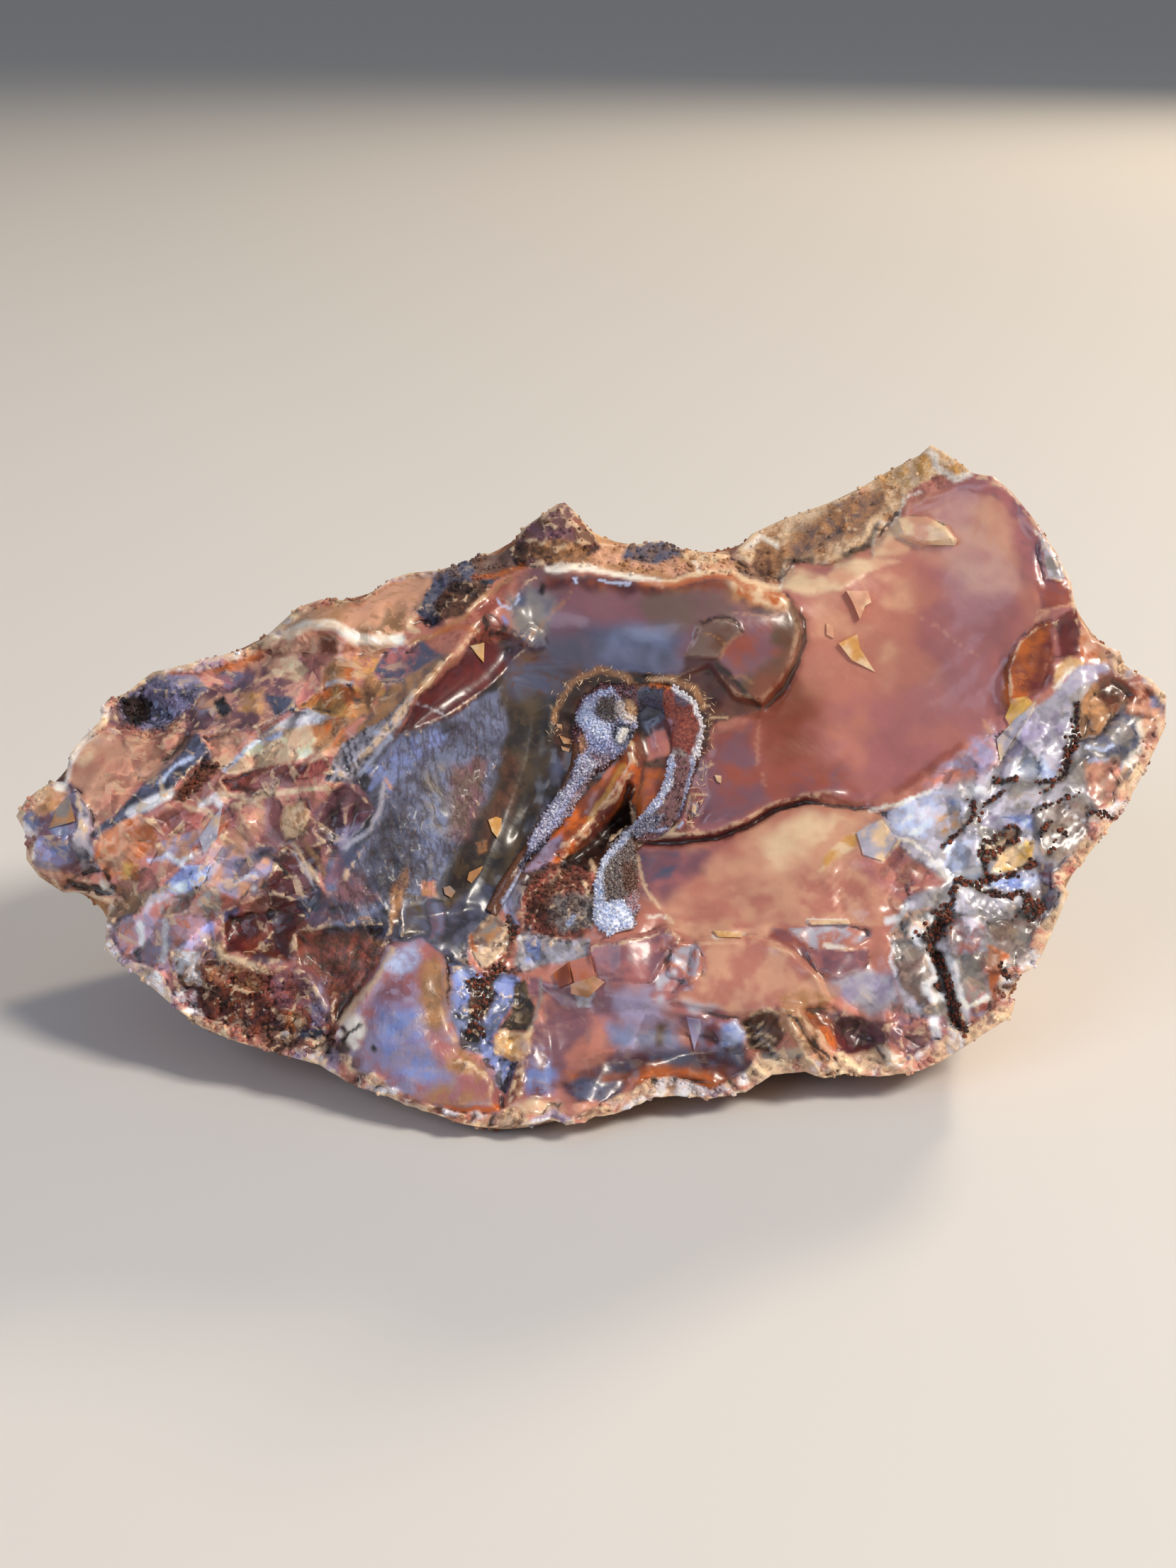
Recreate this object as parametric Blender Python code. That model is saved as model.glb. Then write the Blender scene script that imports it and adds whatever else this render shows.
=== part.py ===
"""Raw carnelian: a broken chalcedony nodule, with a crust of fine quartz in the hollow of its face.

The broken face leans back, so places on it are given in face coordinates, in millimetres: the first
number runs right, the second runs up along the leaning face, and the relief is how far the surface
stands out of the face's plane. Everything on a sight line from one eye point in front of the face has
the same first two numbers, so the outline is what is seen from there. Metres, +Z up, origin at the
bottom centre of the bounding box.
"""

import itertools
import math

import bmesh
import bpy
import numpy as np
from mathutils import Vector
from mathutils.geometry import delaunay_2d_cdt

MM = 0.001

# Driving dimensions, in millimetres and degrees.
FACE_LEAN = 20.0
EYE_DISTANCE = 340.5
FACE_CENTRE = (-0.75, -12.6, 42.7)
BACK_DEPTH = 62.0
OUTLINE_CENTRE = (0.0, -3.0)
STONE_MIDDLE = (-0.75, 5.6, 38.7)
CRUST_GAP = 0.35
CRUST_THICKNESS = 1.1
GRAIN_HEIGHT = 0.45
GRAIN_SIZE = 1.7
CRUST_EDGE = 0.35
CRUST_SLOPE = 1.6

# The back's shape: rings lead from the outline to an oval with these half axes. The oval is that share
# of the way out from the middle of the back, whose section is a half ellipse.
BACK_OVAL = np.array([40.0, 20.0])
OVAL_SHARE = 0.45
BACK_RINGS = 14
# How many times each ring is evened out, so that the rim's small steps don't run on over the back.
EVENING = 7

# A point no higher than this above the ground plane lies on it.
GROUND = 0.1

# A face whose middle is nearer the outline than this lies along it, outside the stone.
SLIVER = 0.01

# How finely the surfaces are divided, in millimetres, and the share of the stone's triangles that is
# kept.
RIM_STEP = 2.4
FACE_STEP = 1.7
BACK_STEP = 3.1
CRUST_STEP = 1.25
KEPT_SHARE = 0.52
# All faces are kept under the crust and this far round it.
KEPT_ROUND = (1.0, 4.0)

# The stone's outline, clockwise from its left end.
OUTLINE = [
    (-89.4, -5), (-87.9, -2.5), (-86, -1), (-83.8, 0.4), (-81.8, 0.2), (-81, 4.7), (-79, 7.2),
    (-75.9, 10.2), (-76.3, 11.5), (-75.2, 13), (-72, 14.3), (-69.8, 16.2), (-68, 17.5), (-64, 18.4),
    (-59, 19.7), (-54, 20.8), (-51, 22.5), (-47.9, 25.3), (-45.4, 27.6), (-41.6, 28.9), (-35.7, 28.5),
    (-32.9, 30.5), (-30.7, 32.1), (-27.9, 33), (-23.4, 33.4), (-19.6, 34.5), (-16.4, 36.1),
    (-13.9, 35.7), (-11.2, 37.6), (-10.4, 39.8), (-7.1, 42.1), (-4.8, 43.8), (-3.6, 44), (-1.6, 42.1),
    (0.5, 39.5), (1.5, 37.5), (6.4, 37.2), (11.4, 38.1), (14.2, 36.7), (21, 35.9), (22.4, 35.6),
    (25.6, 39.1), (30.3, 41.3), (40.2, 44.9), (46.6, 48.7), (51.8, 51.4), (53.6, 53), (55.6, 51.9),
    (60.4, 48.5), (63.4, 48.1), (66.3, 45.6), (69.5, 41.7), (73.1, 36.4), (75.6, 31.4), (76.6, 25.6),
    (78.8, 22.8), (81.3, 21.4), (83.1, 20.8), (84.1, 18), (88.1, 16.4), (90.4, 13.6), (90.2, 8.8),
    (88.2, 4.5), (86.1, 0.2), (83.9, -3.5), (79.5, -9.4), (75.9, -13.9), (73.9, -15.3), (75.2, -17.1),
    (73.2, -21.6), (70.2, -28.5), (67.5, -29.8), (65.7, -33), (66.8, -34.1), (66.1, -36.4), (60, -40.3),
    (54.5, -44.1), (50, -46.2), (45.3, -46.9), (40.3, -45.8), (36.9, -46.7), (33.9, -45.1),
    (28.7, -45.8), (24.6, -49.2), (19.2, -50.4), (14.6, -49.9), (10.3, -49.5), (5.3, -52.4),
    (-0.4, -55.8), (-3.5, -56.2), (-6.2, -53.8), (-8.5, -54.6), (-14.2, -54.8), (-20.8, -54.6),
    (-26.9, -52.7), (-32.3, -49.6), (-38.1, -46.7), (-41.9, -44), (-48.5, -42.1), (-55, -40.3),
    (-60.5, -38), (-64.5, -35), (-67, -32.8), (-70.2, -30), (-73, -28.2), (-75.5, -25.8), (-75.2, -21),
    (-74.5, -18.6), (-79, -17), (-82, -17), (-85.8, -14.5), (-87.8, -11.8), (-87.8, -8.2),
]

# Relief at places all over the face, as right, up, relief. A smooth sheet goes through them.
RELIEF = [
    # along the outline, from the left end over the top
    (-89.4, -5, -6), (-82, 0, -7), (-76, 12, -11), (-60, 19.5, -13), (-45, 28, -15), (-25, 33.5, -18),
    (-14, 36, -16), (-4, 44, -15), (5, 37, -15), (21, 36, -16), (30, 41, -18), (44, 47, -18),
    (53.6, 53, -15), (62, 48, -8), (70, 40, -6), (76, 29, -5), (80, 21, -7), (90, 13, -8), (88, 4, -6),
    (80, -8, -2), (74, -18, 1), (67, -31, 5), (60, -40, 8), (50, -46, 9), (40, -46, 10), (27, -47, 12),
    (16, -50, 15), (5, -52.5, 18), (-3, -56, 20.5), (-15, -55, 20), (-27, -52.5, 17.5),
    (-38, -46.5, 13), (-50, -42, 9), (-60, -38, 6), (-65, -34, 4), (-73, -28, 0), (-75, -20, -3),
    (-84, -16, -8), (-88, -10, -7),
    # left part: end lobe, stained hollow, petals and splinters that climb to the main ridge
    (-84, -8, -1), (-76, 2, -4), (-70, 10.5, -10), (-60, 14, -8), (-48, 18, -7), (-43, 25, -5),
    (-34, 29, -9), (-60, 0, 1), (-66, -6, 2), (-56, -7, 4), (-70, -14, 1), (-62, -16, 5), (-66, -26, 4),
    (-52, -22, 8), (-51, -33, 9), (-40, -30, 12), (-46, 1, 6), (-44, 11, 3), (-38, 18, 0), (-30, 20, 0),
    (-47, -8, 7),
    # main ridge, the rippled wall right of it and the smoky valley at its foot
    (-41, 0, 9.5), (-36, 4, 10.5), (-31, 9, 9.5), (-27, 14, 7), (-21, 20, 3), (-15, 28, -4),
    (-20, 33, -11), (-28, 0, 6), (-31, -10, 8), (-38, -20, 11), (-22, 6, 2), (-21, -8, 3),
    (-12, 10, -5), (-13, -4, -3), (-20, -20, 4), (-12, 20, -5), (-41, -10, 10),
    # dark dome, druse hollow and what lies between its arms
    (0, 26, -3), (14, 27, -1.5), (28, 25, -3.5), (5, 20, -3), (0, 33, -8), (20, 33, -9), (20, 14, -4),
    (2.5, 11, -8), (-5, -6, -5), (-13, -18, 0), (4, 0, -4), (5, -6, -9), (13, 3, -6), (5, -17, 3),
    (-5, -18, 3),
    # salmon face and the shelf under it
    (22, 0, -7), (45, 20, -10), (55, 32, -9), (60, 12, -7), (34, 8, -9), (40, 31, -8), (44, -2, -5),
    (30, -3, -6), (18, -8, -5), (20, -15, 1), (34, -11, 1), (42, -20, 7), (26, -21, 6), (10, -14, -1),
    # lower middle
    (0, -28, 9), (14, -29, 10), (28, -29, 10), (40, -28, 10), (5, -38, 14), (20, -40, 12),
    (-5, -45, 17), (8, -47, 16), (33, -40, 13), (42, -40, 8), (47, -43, 11), (-28, -37, 17),
    (-28, -47, 18), (-15, -36, 13), (-10, -26, 5),
    # milky right part, the peak and the rock behind the top edge
    (52, -10, 3), (60, -20, 6), (68, -10, 2), (80, 0, -2), (75, 10, -4), (84, 8, -4), (58, -32, 9),
    (50, -30, 9), (64, 42, -7), (70, 30, -4), (40, 41, -14), (53, 49, -13), (15, 35, -13),
    (-4, 39, -12), (38, 36, -12),
]

# Plates of the break: outline, how far the plate stands out, and the width over which its edge rounds
# off.
LEDGES = {
    "end lobe": (
        [(-88, -5), (-84, -1.5), (-79, -2), (-77.5, -6), (-78, -12), (-83, -15), (-86.5, -11)], 2.2, 3.0,
    ),
    "left cushion": (
        [
            (-50, 24), (-45, 26.5), (-33, 29), (-25, 32), (-24, 27), (-30, 24), (-42, 24),
        ],
        2.0, 3.0,
    ),
    "splinter plates": (
        [(-47, 4), (-42, 6), (-36, 0), (-38, -8), (-46, -12), (-52, -10), (-56, -3), (-52, 2)], 1.2, 1.5,
    ),
    "lower left lobe": (
        [
            (-31, -25.5), (-26, -25), (-22.5, -28), (-22, -35), (-19.5, -42), (-14.5, -45), (-14, -51),
            (-26, -51), (-36, -45.5), (-38.5, -41), (-37, -35), (-33.5, -30),
        ],
        1.6, 2.4,
    ),
    "peach plate": (
        [
            (17, -24.5), (26, -24), (32, -26), (36, -30), (38, -34), (32, -35.5), (22, -36), (13, -34),
            (16, -30),
        ],
        1.2, 1.2,
    ),
    "cream plate": ([(48, 41.5), (53, 41.5), (56, 40), (57.5, 38), (52, 37.5), (48.5, 39)], 0.9, 1.0),
    "cracked plate": ([(56, -22), (61, -20), (66, -22), (66, -29), (61, -36), (57.5, -32)], 1.0, 1.2),
    "right window": ([(77, 7), (78, 14), (82, 16.5), (85, 14), (81, 8)], -1.2, 1.4),
    "matrix block": ([(-27, 27), (-23, 33), (-17, 35), (-12, 34), (-16, 29), (-22, 25)], 1.6, 1.6),
    "matrix knob": ([(-10, 38), (-7, 41.5), (-4, 43), (-1.5, 41), (0.5, 37.5), (-5, 36)], 2.6, 2.2),
    "fold ridge": ([(30, -35), (33, -35), (37, -39), (40, -45), (36, -45.5), (32, -40)], 2.2, 2.0),
}

# Steps of the break: the side that stands out, the line where it breaks off, its height, the width over
# which its edge rounds off, and how far from the line the height is lost.
STEPS = {
    "dark dome": (
        [
            (-11, 30.5), (-5, 32), (0, 32.4), (6, 32), (12, 30.8), (18, 32), (23, 32), (27, 30.8),
            (30.5, 29.5), (32.6, 27.5), (33.4, 24), (32.6, 20), (30.4, 15.8), (27.4, 12.6), (23, 13.5),
            (19, 18.5), (14, 16.5), (8, 17), (-4, 18), (-11, 18), (-9, 22), (-10.5, 27),
        ],
        [(30.5, 28.6), (32.4, 26.8), (33.3, 23.6), (32.5, 20), (30.3, 16), (28, 13.4)],
        2.4, 1.0, 13.0,
    ),
    "salmon edge": (
        [
            (7.5, -9), (14, -8.8), (20, -8.2), (25, -6.2), (29, -3.8), (34, -2.4), (42, -3.8), (48, 2),
            (42, 14), (28, 12), (19, 8), (16.4, 2), (14.6, -5), (11.4, -8),
        ],
        [(10, -8.8), (14, -8.8), (20, -8.2), (25, -6.2), (29, -3.8), (33, -2.6)],
        2.2, 0.9, 8.0,
    ),
}

# Scoops that the break left: outline, depth, and how far from the edge the scoop is deepest.
SCOOPS = {
    "stained pit": ([(-74, 12), (-70, 15), (-62, 14), (-64, 9), (-69, 7), (-73, 8.5)], 3.2, 3.5),
    "smoky valley": (
        [
            (-12, 16), (-4, 13.5), (-5, 4), (-9, -8), (-14, -17), (-21, -24), (-22, -16), (-18, -5),
            (-14, 4),
        ],
        1.8, 7.0,
    ),
    "dark lens": (
        [
            (-16, 25), (-9, 22), (-15, 15.5), (-22, 10.8), (-28, 8.5), (-26, 15), (-20, 21),
        ],
        1.8, 3.0,
    ),
    "cavity": (
        [
            (6, 1), (7.3, 0), (6.6, -3), (7, -6), (4, -8), (2, -11), (-2, -13), (-4, -12), (0, -8),
            (4, -4),
        ],
        3.5, 2.0,
    ),
    "brown facet": (
        [(-56.5, -20), (-50, -17), (-44, -18.5), (-46, -24), (-47, -27.5), (-52, -27), (-57, -25)],
        2.2, 3.0,
    ),
    "red facet": ([(-37, -0.5), (-33.5, -4), (-36, -7), (-40, -10.5), (-43, -7), (-40, -1)], 1.8, 2.5),
    "brown sheet": (
        [
            (-46, -23), (-38, -22), (-31, -22), (-34, -31), (-39, -38), (-42, -33), (-45, -29),
        ],
        2.6, 4.0,
    ),
    "rippled scoop": (
        [
            (24, -37), (27, -35.5), (30, -36.5), (31, -40), (29, -43), (25, -41.5),
        ],
        2.4, 2.8,
    ),
    "red hollow": ([(38, -37), (42, -36), (47, -39), (46, -42), (41, -43), (38.5, -40)], 2.0, 2.5),
    "crack hollow": (
        [
            (52.5, -22), (55.5, -21), (57, -30), (59, -39), (56, -38), (53.5, -32),
        ],
        2.0, 1.8,
    ),
    "lobe hollow": ([(-82, -15), (-76, -15.5), (-73, -18), (-74, -12), (-78, -12)], 2.4, 2.4),
    "mauve dip": ([(-8, -31), (8, -34), (20, -37.5), (24, -41), (10, -43), (-6, -44)], 1.6, 4.0),
    "rim notch": ([(10, -48), (16, -48.5), (20, -47), (14, -45), (8, -46)], 1.6, 2.0),
}

# The smooth, glassy parts of the break, where the face has no roughness of its own.
SALMON_FACE = [
    (30, 32), (44, 36), (50, 44), (58, 47.5), (65, 46), (71, 38), (72, 30), (65, 20), (64, 8), (54, 3),
    (44, -3), (36, -1), (24, -5), (17, -7), (19, 8), (28, 12), (33, 21),
]
LOWER_SHELF = [
    (7.5, -9), (14, -8.8), (20, -8.4), (28, -4.6), (34, -2.9), (42, -4.2), (47, -6), (42, -11),
    (38, -15), (41, -20), (47, -23), (34, -23), (22, -23), (12, -21.5), (8, -17),
]
SMOOTH_BREAKS = [
    SALMON_FACE, LOWER_SHELF, STEPS["dark dome"][0], LEDGES["peach plate"][0],
    [(-13, 30), (-11, 18), (-4, 17), (-5, 5), (-16, -20), (-40, -22), (-34, 2), (-28, 10), (-20, 24)],
    [(-8, -30), (8, -33), (20, -37), (25, -42), (10, -44), (-6, -44)],
]

# The crest lines that stand up from the face, as a path, its height and its half width.
CRESTS = {
    "main ridge": ([(-18, 23.5), (-21, 20), (-27, 14), (-31, 9), (-36, 4), (-41, 0)], 2.8, 2.1),
    "wall foot": ([(-42, -22), (-38, -14), (-34, -8), (-32, -2), (-34, 1.5)], 0.9, 1.8),
    "pale crest": (
        [
            (-50, 22), (-46.5, 23.5), (-43, 25), (-40, 24.7), (-36, 22.5), (-29, 22.5),
        ],
        1.4, 1.6,
    ),
    "beige petal": ([(-56, 0), (-50, 3), (-44, 6.5), (-40, 9.5)], 1.4, 2.2),
    "finger petal": ([(-38.5, 20.5), (-38.5, 16), (-37, 12)], 1.6, 2.2),
    "orange blade": ([(6.5, 6), (7, 3.5), (5, -1), (1, -5.5), (-3, -9.5)], 2.6, 1.7),
    "splinter one": ([(-72, -8), (-65, -3), (-58, 3)], 1.2, 1.6),
    "splinter two": ([(-70, -16), (-62, -11), (-54, -6)], 1.3, 1.8),
    "splinter three": ([(-66, -22), (-58, -17), (-50, -13)], 1.2, 1.8),
    "rust edge": ([(-64, -31), (-58, -28), (-50, -29), (-44, -31)], 1.4, 2.0),
    "toe": ([(-2, -54), (-1, -50), (2, -45)], 1.5, 2.6),
}

# The outline of the quartz crust: a hook whose left arm is a broad band and whose right arm follows the
# hollow's rim.
CRUST_OUTLINE = [
    (-2.2, 8), (-1.4, 13), (2, 15.6), (6, 15.4), (9.5, 15.9), (13.6, 15.2), (16.8, 12.8), (18, 9),
    (17.3, 4.6), (15.9, 0), (14.3, -5), (12, -7.8), (9, -9.2), (7.3, -11), (7.5, -15), (7.9, -20),
    (7, -22.8), (3.2, -23.6), (1, -22), (1.1, -16), (2.4, -12), (4.2, -9.3), (6.6, -6.9), (9, -4.7),
    (11, -2), (12.4, 1.4), (13.1, 5.4), (12.9, 9), (11.4, 11.4), (9.2, 12.2), (7.6, 10.6), (7, 7.8),
    (5.6, 4.8), (2.8, 2.8), (0, 0.8), (-3, -4.8), (-6, -8.4), (-9.6, -12), (-12, -17), (-14.4, -20.8),
    (-16, -19.6), (-14, -15.4), (-11, -11), (-8.6, -7.4), (-5, -2.4), (-2.8, 3),
]

# Places where the stone touches what it lies on: position along X and Y, and radius. Elsewhere the
# underside stands clear of the ground, and rises out of it with a rounded edge.
REST_PADS = [(-13.0, -37.0, 7.0), (-36.0, 14.0, 7.0), (42.0, 14.0, 7.0)]
PAD_CLEARANCE = 3.2
PAD_RISE = 9.0
UNDERSIDE_ROUNDING = 5.0

# The skin's unevenness: its height, how wide its swells are on the break and on the back, the share
# that the finer ones have, and how far inside a smooth break it has died out.
RIND_ROUGHNESS = 0.8
ROUGH_SIZE = 5.0
BACK_ROUGH_SIZE = 6.0
FINER_SHARE = 0.55
SMOOTH_EDGE = 2.0
LUMP_SIZE = 13.0
LUMP_HEIGHT = 2.4
SWELL_SIZE = 34.0
SWELL_HEIGHT = 3.2


def lattice_numbers(cells, seed):
    """One repeatable number from 0 to 1 for each whole-number cell."""
    steps = np.array([127.1, 311.7, 74.7])[: cells.shape[1]]
    mixed = np.sin(cells @ steps + seed * 17.3) * 43758.5453
    return mixed - np.floor(mixed)


def smooth_noise(points, size, seed):
    """Noise from -1 to 1 whose swells are about size across."""
    scaled = points / size
    whole = np.floor(scaled)
    part = scaled - whole
    fade = part * part * (3 - 2 * part)
    total = np.zeros(len(points))
    for corner in itertools.product((0, 1), repeat=points.shape[1]):
        weight = np.prod(np.where(corner, fade, 1 - fade), axis=1)
        total += weight * lattice_numbers(whole + corner, seed)
    return 2 * total - 1


def lumps(points, size, seed):
    """Rounded knobs about size across: 1 at a knob's middle and 0 between knobs."""
    scaled = points / size
    whole = np.floor(scaled)
    nearest = np.full(len(points), np.inf)
    for step in itertools.product((-1, 0, 1), repeat=3):
        cell = whole + step
        middle = cell + np.stack([lattice_numbers(cell, seed + axis) for axis in range(3)], axis=1)
        nearest = np.minimum(nearest, ((scaled - middle) ** 2).sum(axis=1))
    return np.clip(1 - nearest, 0, 1)


def distances(points, corners, closed):
    """Distance of each point from a path, and for a closed path whether the point is inside it."""
    path = np.asarray(corners, float)
    ends = np.roll(path, -1, axis=0) if closed else path[1:]
    nearest = np.full(len(points), np.inf)
    inside = np.zeros(len(points), bool)
    for start, end in zip(path, ends):
        edge = end - start
        away = points - start
        along = np.clip(away @ edge / (edge @ edge), 0, 1)
        nearest = np.minimum(nearest, np.linalg.norm(away - along[:, None] * edge, axis=1))
        if closed and edge[1]:
            spans = (start[1] > points[:, 1]) != (end[1] > points[:, 1])
            inside ^= spans & (away[:, 0] < away[:, 1] * edge[0] / edge[1])
    return nearest, inside


def depth_inside(points, outline):
    """How far each point is inside an outline, negative outside it."""
    nearest, inside = distances(points, outline, True)
    return np.where(inside, nearest, -nearest)


def rising(value):
    """0 up to 1 with level ends."""
    held = np.clip(value, 0, 1)
    return held * held * (3 - 2 * held)


def sheet_through(controls):
    """A function of face points: the smooth sheet through (right, up, relief) controls."""
    known = np.array(controls, float)
    count = len(known)

    def bend(separation):
        return separation**2 * np.log(separation + 1e-9)

    def linear(points):
        return np.column_stack([np.ones(len(points)), points])

    system = np.zeros((count + 3, count + 3))
    system[:count, :count] = bend(np.linalg.norm(known[:, None, :2] - known[None, :, :2], axis=2))
    system[:count, count:] = linear(known[:, :2])
    system[count:, :count] = system[:count, count:].T
    weights = np.linalg.solve(system, np.append(known[:, 2], np.zeros(3)))

    def sheet(points):
        pull = bend(np.linalg.norm(points[:, None] - known[None, :, :2], axis=2))
        return pull @ weights[:count] + linear(points) @ weights[count:]

    return sheet


BASE_SHEET = sheet_through(RELIEF)


def face_relief(points):
    """The relief of the broken face at face points."""
    relief = BASE_SHEET(points)
    for outline, height, edge in LEDGES.values():
        relief += height * rising(depth_inside(points, outline) / edge + 0.5)
    for outline, broken_line, height, edge, reach in STEPS.values():
        away, _ = distances(points, broken_line, False)
        standing = rising(depth_inside(points, outline) / edge + 0.5)
        relief += height * standing * np.exp(-((away / reach) ** 2))
    for outline, depth, reach in SCOOPS.values():
        inward = np.clip(depth_inside(points, outline) / reach, 0, 1)
        relief -= depth * (1 - (1 - inward) ** 2)
    for path, height, half_width in CRESTS.values():
        away, _ = distances(points, path, False)
        relief += height * np.exp(-((away / half_width) ** 2))
    rough = np.ones(len(points))
    for outline in SMOOTH_BREAKS:
        rough *= 1 - rising(depth_inside(points, outline) / SMOOTH_EDGE)
    relief += rough * RIND_ROUGHNESS * smooth_noise(points, ROUGH_SIZE, 1)
    relief += rough * RIND_ROUGHNESS * FINER_SHARE * smooth_noise(points, ROUGH_SIZE * FINER_SHARE, 2)
    return relief


def in_space(points, relief):
    """Face points and their relief as places in millimetres."""
    lean = math.radians(FACE_LEAN)
    up = np.array([0, math.sin(lean), math.cos(lean)])
    out = np.array([0, -math.cos(lean), math.sin(lean)])
    flat = np.outer(points[:, 0], [1, 0, 0]) + np.outer(points[:, 1], up)
    return FACE_CENTRE + flat * (1 - relief / EYE_DISTANCE)[:, None] + np.outer(relief, out)


def divided(path, step):
    """A closed path with points added so that none is further than step from the next."""
    made = []
    for start, end in zip(path, path[1:] + path[:1]):
        parts = max(1, round(math.dist(start, end) / step))
        for k in range(parts):
            made.append([start[i] + (end[i] - start[i]) * k / parts for i in (0, 1)])
    return np.array(made)


def scattered(step, seed):
    """A slightly uneven triangular grid over the whole outline."""
    low, high = np.min(OUTLINE, axis=0), np.max(OUTLINE, axis=0)
    rows = np.arange(low[1], high[1], step * math.sqrt(0.75))
    columns = np.arange(low[0], high[0], step)
    grid = np.array([(x + (row % 2) * step / 2, y) for row, y in enumerate(rows) for x in columns])
    shake = np.random.default_rng(seed).uniform(-0.22, 0.22, grid.shape) * step
    return grid + shake


def triangulated(loops, points):
    """Triangles over closed loops and loose points inside the first loop, as (points, faces)."""
    corners = np.concatenate([*loops, points])
    edges = []
    start = 0
    for loop in loops:
        edges += [(start + k, start + (k + 1) % len(loop)) for k in range(len(loop))]
        start += len(loop)
    made = delaunay_2d_cdt([Vector(corner) for corner in corners], edges, [], 1, 1e-6, False)
    placed = np.array([tuple(point) for point in made[0]])
    faces = np.array([list(face) for face in made[2]])
    return placed, faces[depth_inside(placed[faces].mean(axis=1), loops[0]) > SLIVER]


def back_rings(rim):
    """Closed rings from the rim to an oval in the middle of the back, with their shares of its depth."""
    around = (rim - OUTLINE_CENTRE) / BACK_OVAL
    turned = np.sort(np.unwrap(np.arctan2(around[:, 1], around[:, 0])))[::-1]
    even = turned[0] - np.linspace(0, 2 * math.pi, len(rim), endpoint=False)
    angle = (turned + even) / 2
    oval = OUTLINE_CENTRE + BACK_OVAL * np.column_stack([np.cos(angle), np.sin(angle)])
    rings = []
    evened = rim
    for turn in np.linspace(0, math.acos(OVAL_SHARE), BACK_RINGS + 1)[1:]:
        for _ in range(EVENING):
            evened = evened / 2 + (np.roll(evened, 1, axis=0) + np.roll(evened, -1, axis=0)) / 4
        inward = (1 - math.cos(turn)) / (1 - OVAL_SHARE)
        rings.append((evened + (oval - evened) * inward, math.sin(turn)))
    return rings


def rounded_back(flat, deep, rim, rim_relief):
    """Places of the hidden side: behind the outline the stone is a rounded nodule with a lumpy skin."""
    around, rim_around = flat - OUTLINE_CENTRE, rim - OUTLINE_CENTRE
    rim_angle = np.arctan2(rim_around[:, 1], rim_around[:, 0])
    order = np.argsort(rim_angle)
    angle = np.arctan2(around[:, 1], around[:, 0])
    edge_relief = np.interp(angle, rim_angle[order], rim_relief[order], period=2 * math.pi)
    placed = in_space(flat, edge_relief - (edge_relief + BACK_DEPTH) * deep)
    outward = placed - STONE_MIDDLE
    outward /= np.linalg.norm(outward, axis=1)[:, None]
    swell = SWELL_HEIGHT * smooth_noise(placed, SWELL_SIZE, 5)
    swell += LUMP_HEIGHT * lumps(placed, LUMP_SIZE, 6)
    swell += RIND_ROUGHNESS * smooth_noise(placed, BACK_ROUGH_SIZE, 7)
    # Beside the outline the skin only sinks in, so that nothing stands out past the outline.
    swell -= (SWELL_HEIGHT + LUMP_HEIGHT) * (1 - rising(deep))
    return placed + outward * (swell * rising(deep / 0.5))[:, None]


def set_down(placed):
    """The underside lifted clear of the ground plane, except on the rest pads, which lie flat on it."""
    ground = placed[:, :2]
    off_pads = np.ones(len(placed))
    for x, y, radius in REST_PADS:
        away = np.hypot(ground[:, 0] - x, ground[:, 1] - y) - radius
        off_pads = np.minimum(off_pads, rising(away / PAD_RISE))
    uneven = 1 + 0.35 * smooth_noise(ground, 15, 31) + 0.2 * smooth_noise(ground, 6, 32)
    clearance = PAD_CLEARANCE * uneven * off_pads
    rounding = 0.01 + UNDERSIDE_ROUNDING * off_pads
    above = placed[:, 2] - clearance
    blend = np.clip(0.5 + 0.5 * above / rounding, 0, 1)
    placed[:, 2] = clearance + above * blend + rounding * blend * (1 - blend)
    return placed


def material(name, colour, roughness):
    made = bpy.data.materials.new(name)
    made.use_nodes = True
    shader = made.node_tree.nodes["Principled BSDF"]
    shader.inputs["Base Color"].default_value = (*colour, 1)
    shader.inputs["Roughness"].default_value = roughness
    shader.inputs["Metallic"].default_value = 0
    return made


def solid(name, places, faces, finish):
    """An object from places in millimetres and faces."""
    mesh = bpy.data.meshes.new(name)
    mesh.from_pydata((places * MM).tolist(), [], faces.tolist())
    shape = bmesh.new()
    shape.from_mesh(mesh)
    bmesh.ops.recalc_face_normals(shape, faces=shape.faces)
    shape.to_mesh(mesh)
    shape.free()
    mesh.materials.append(finish)
    made = bpy.data.objects.new(name, mesh)
    bpy.context.scene.collection.objects.link(made)
    return made


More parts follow.
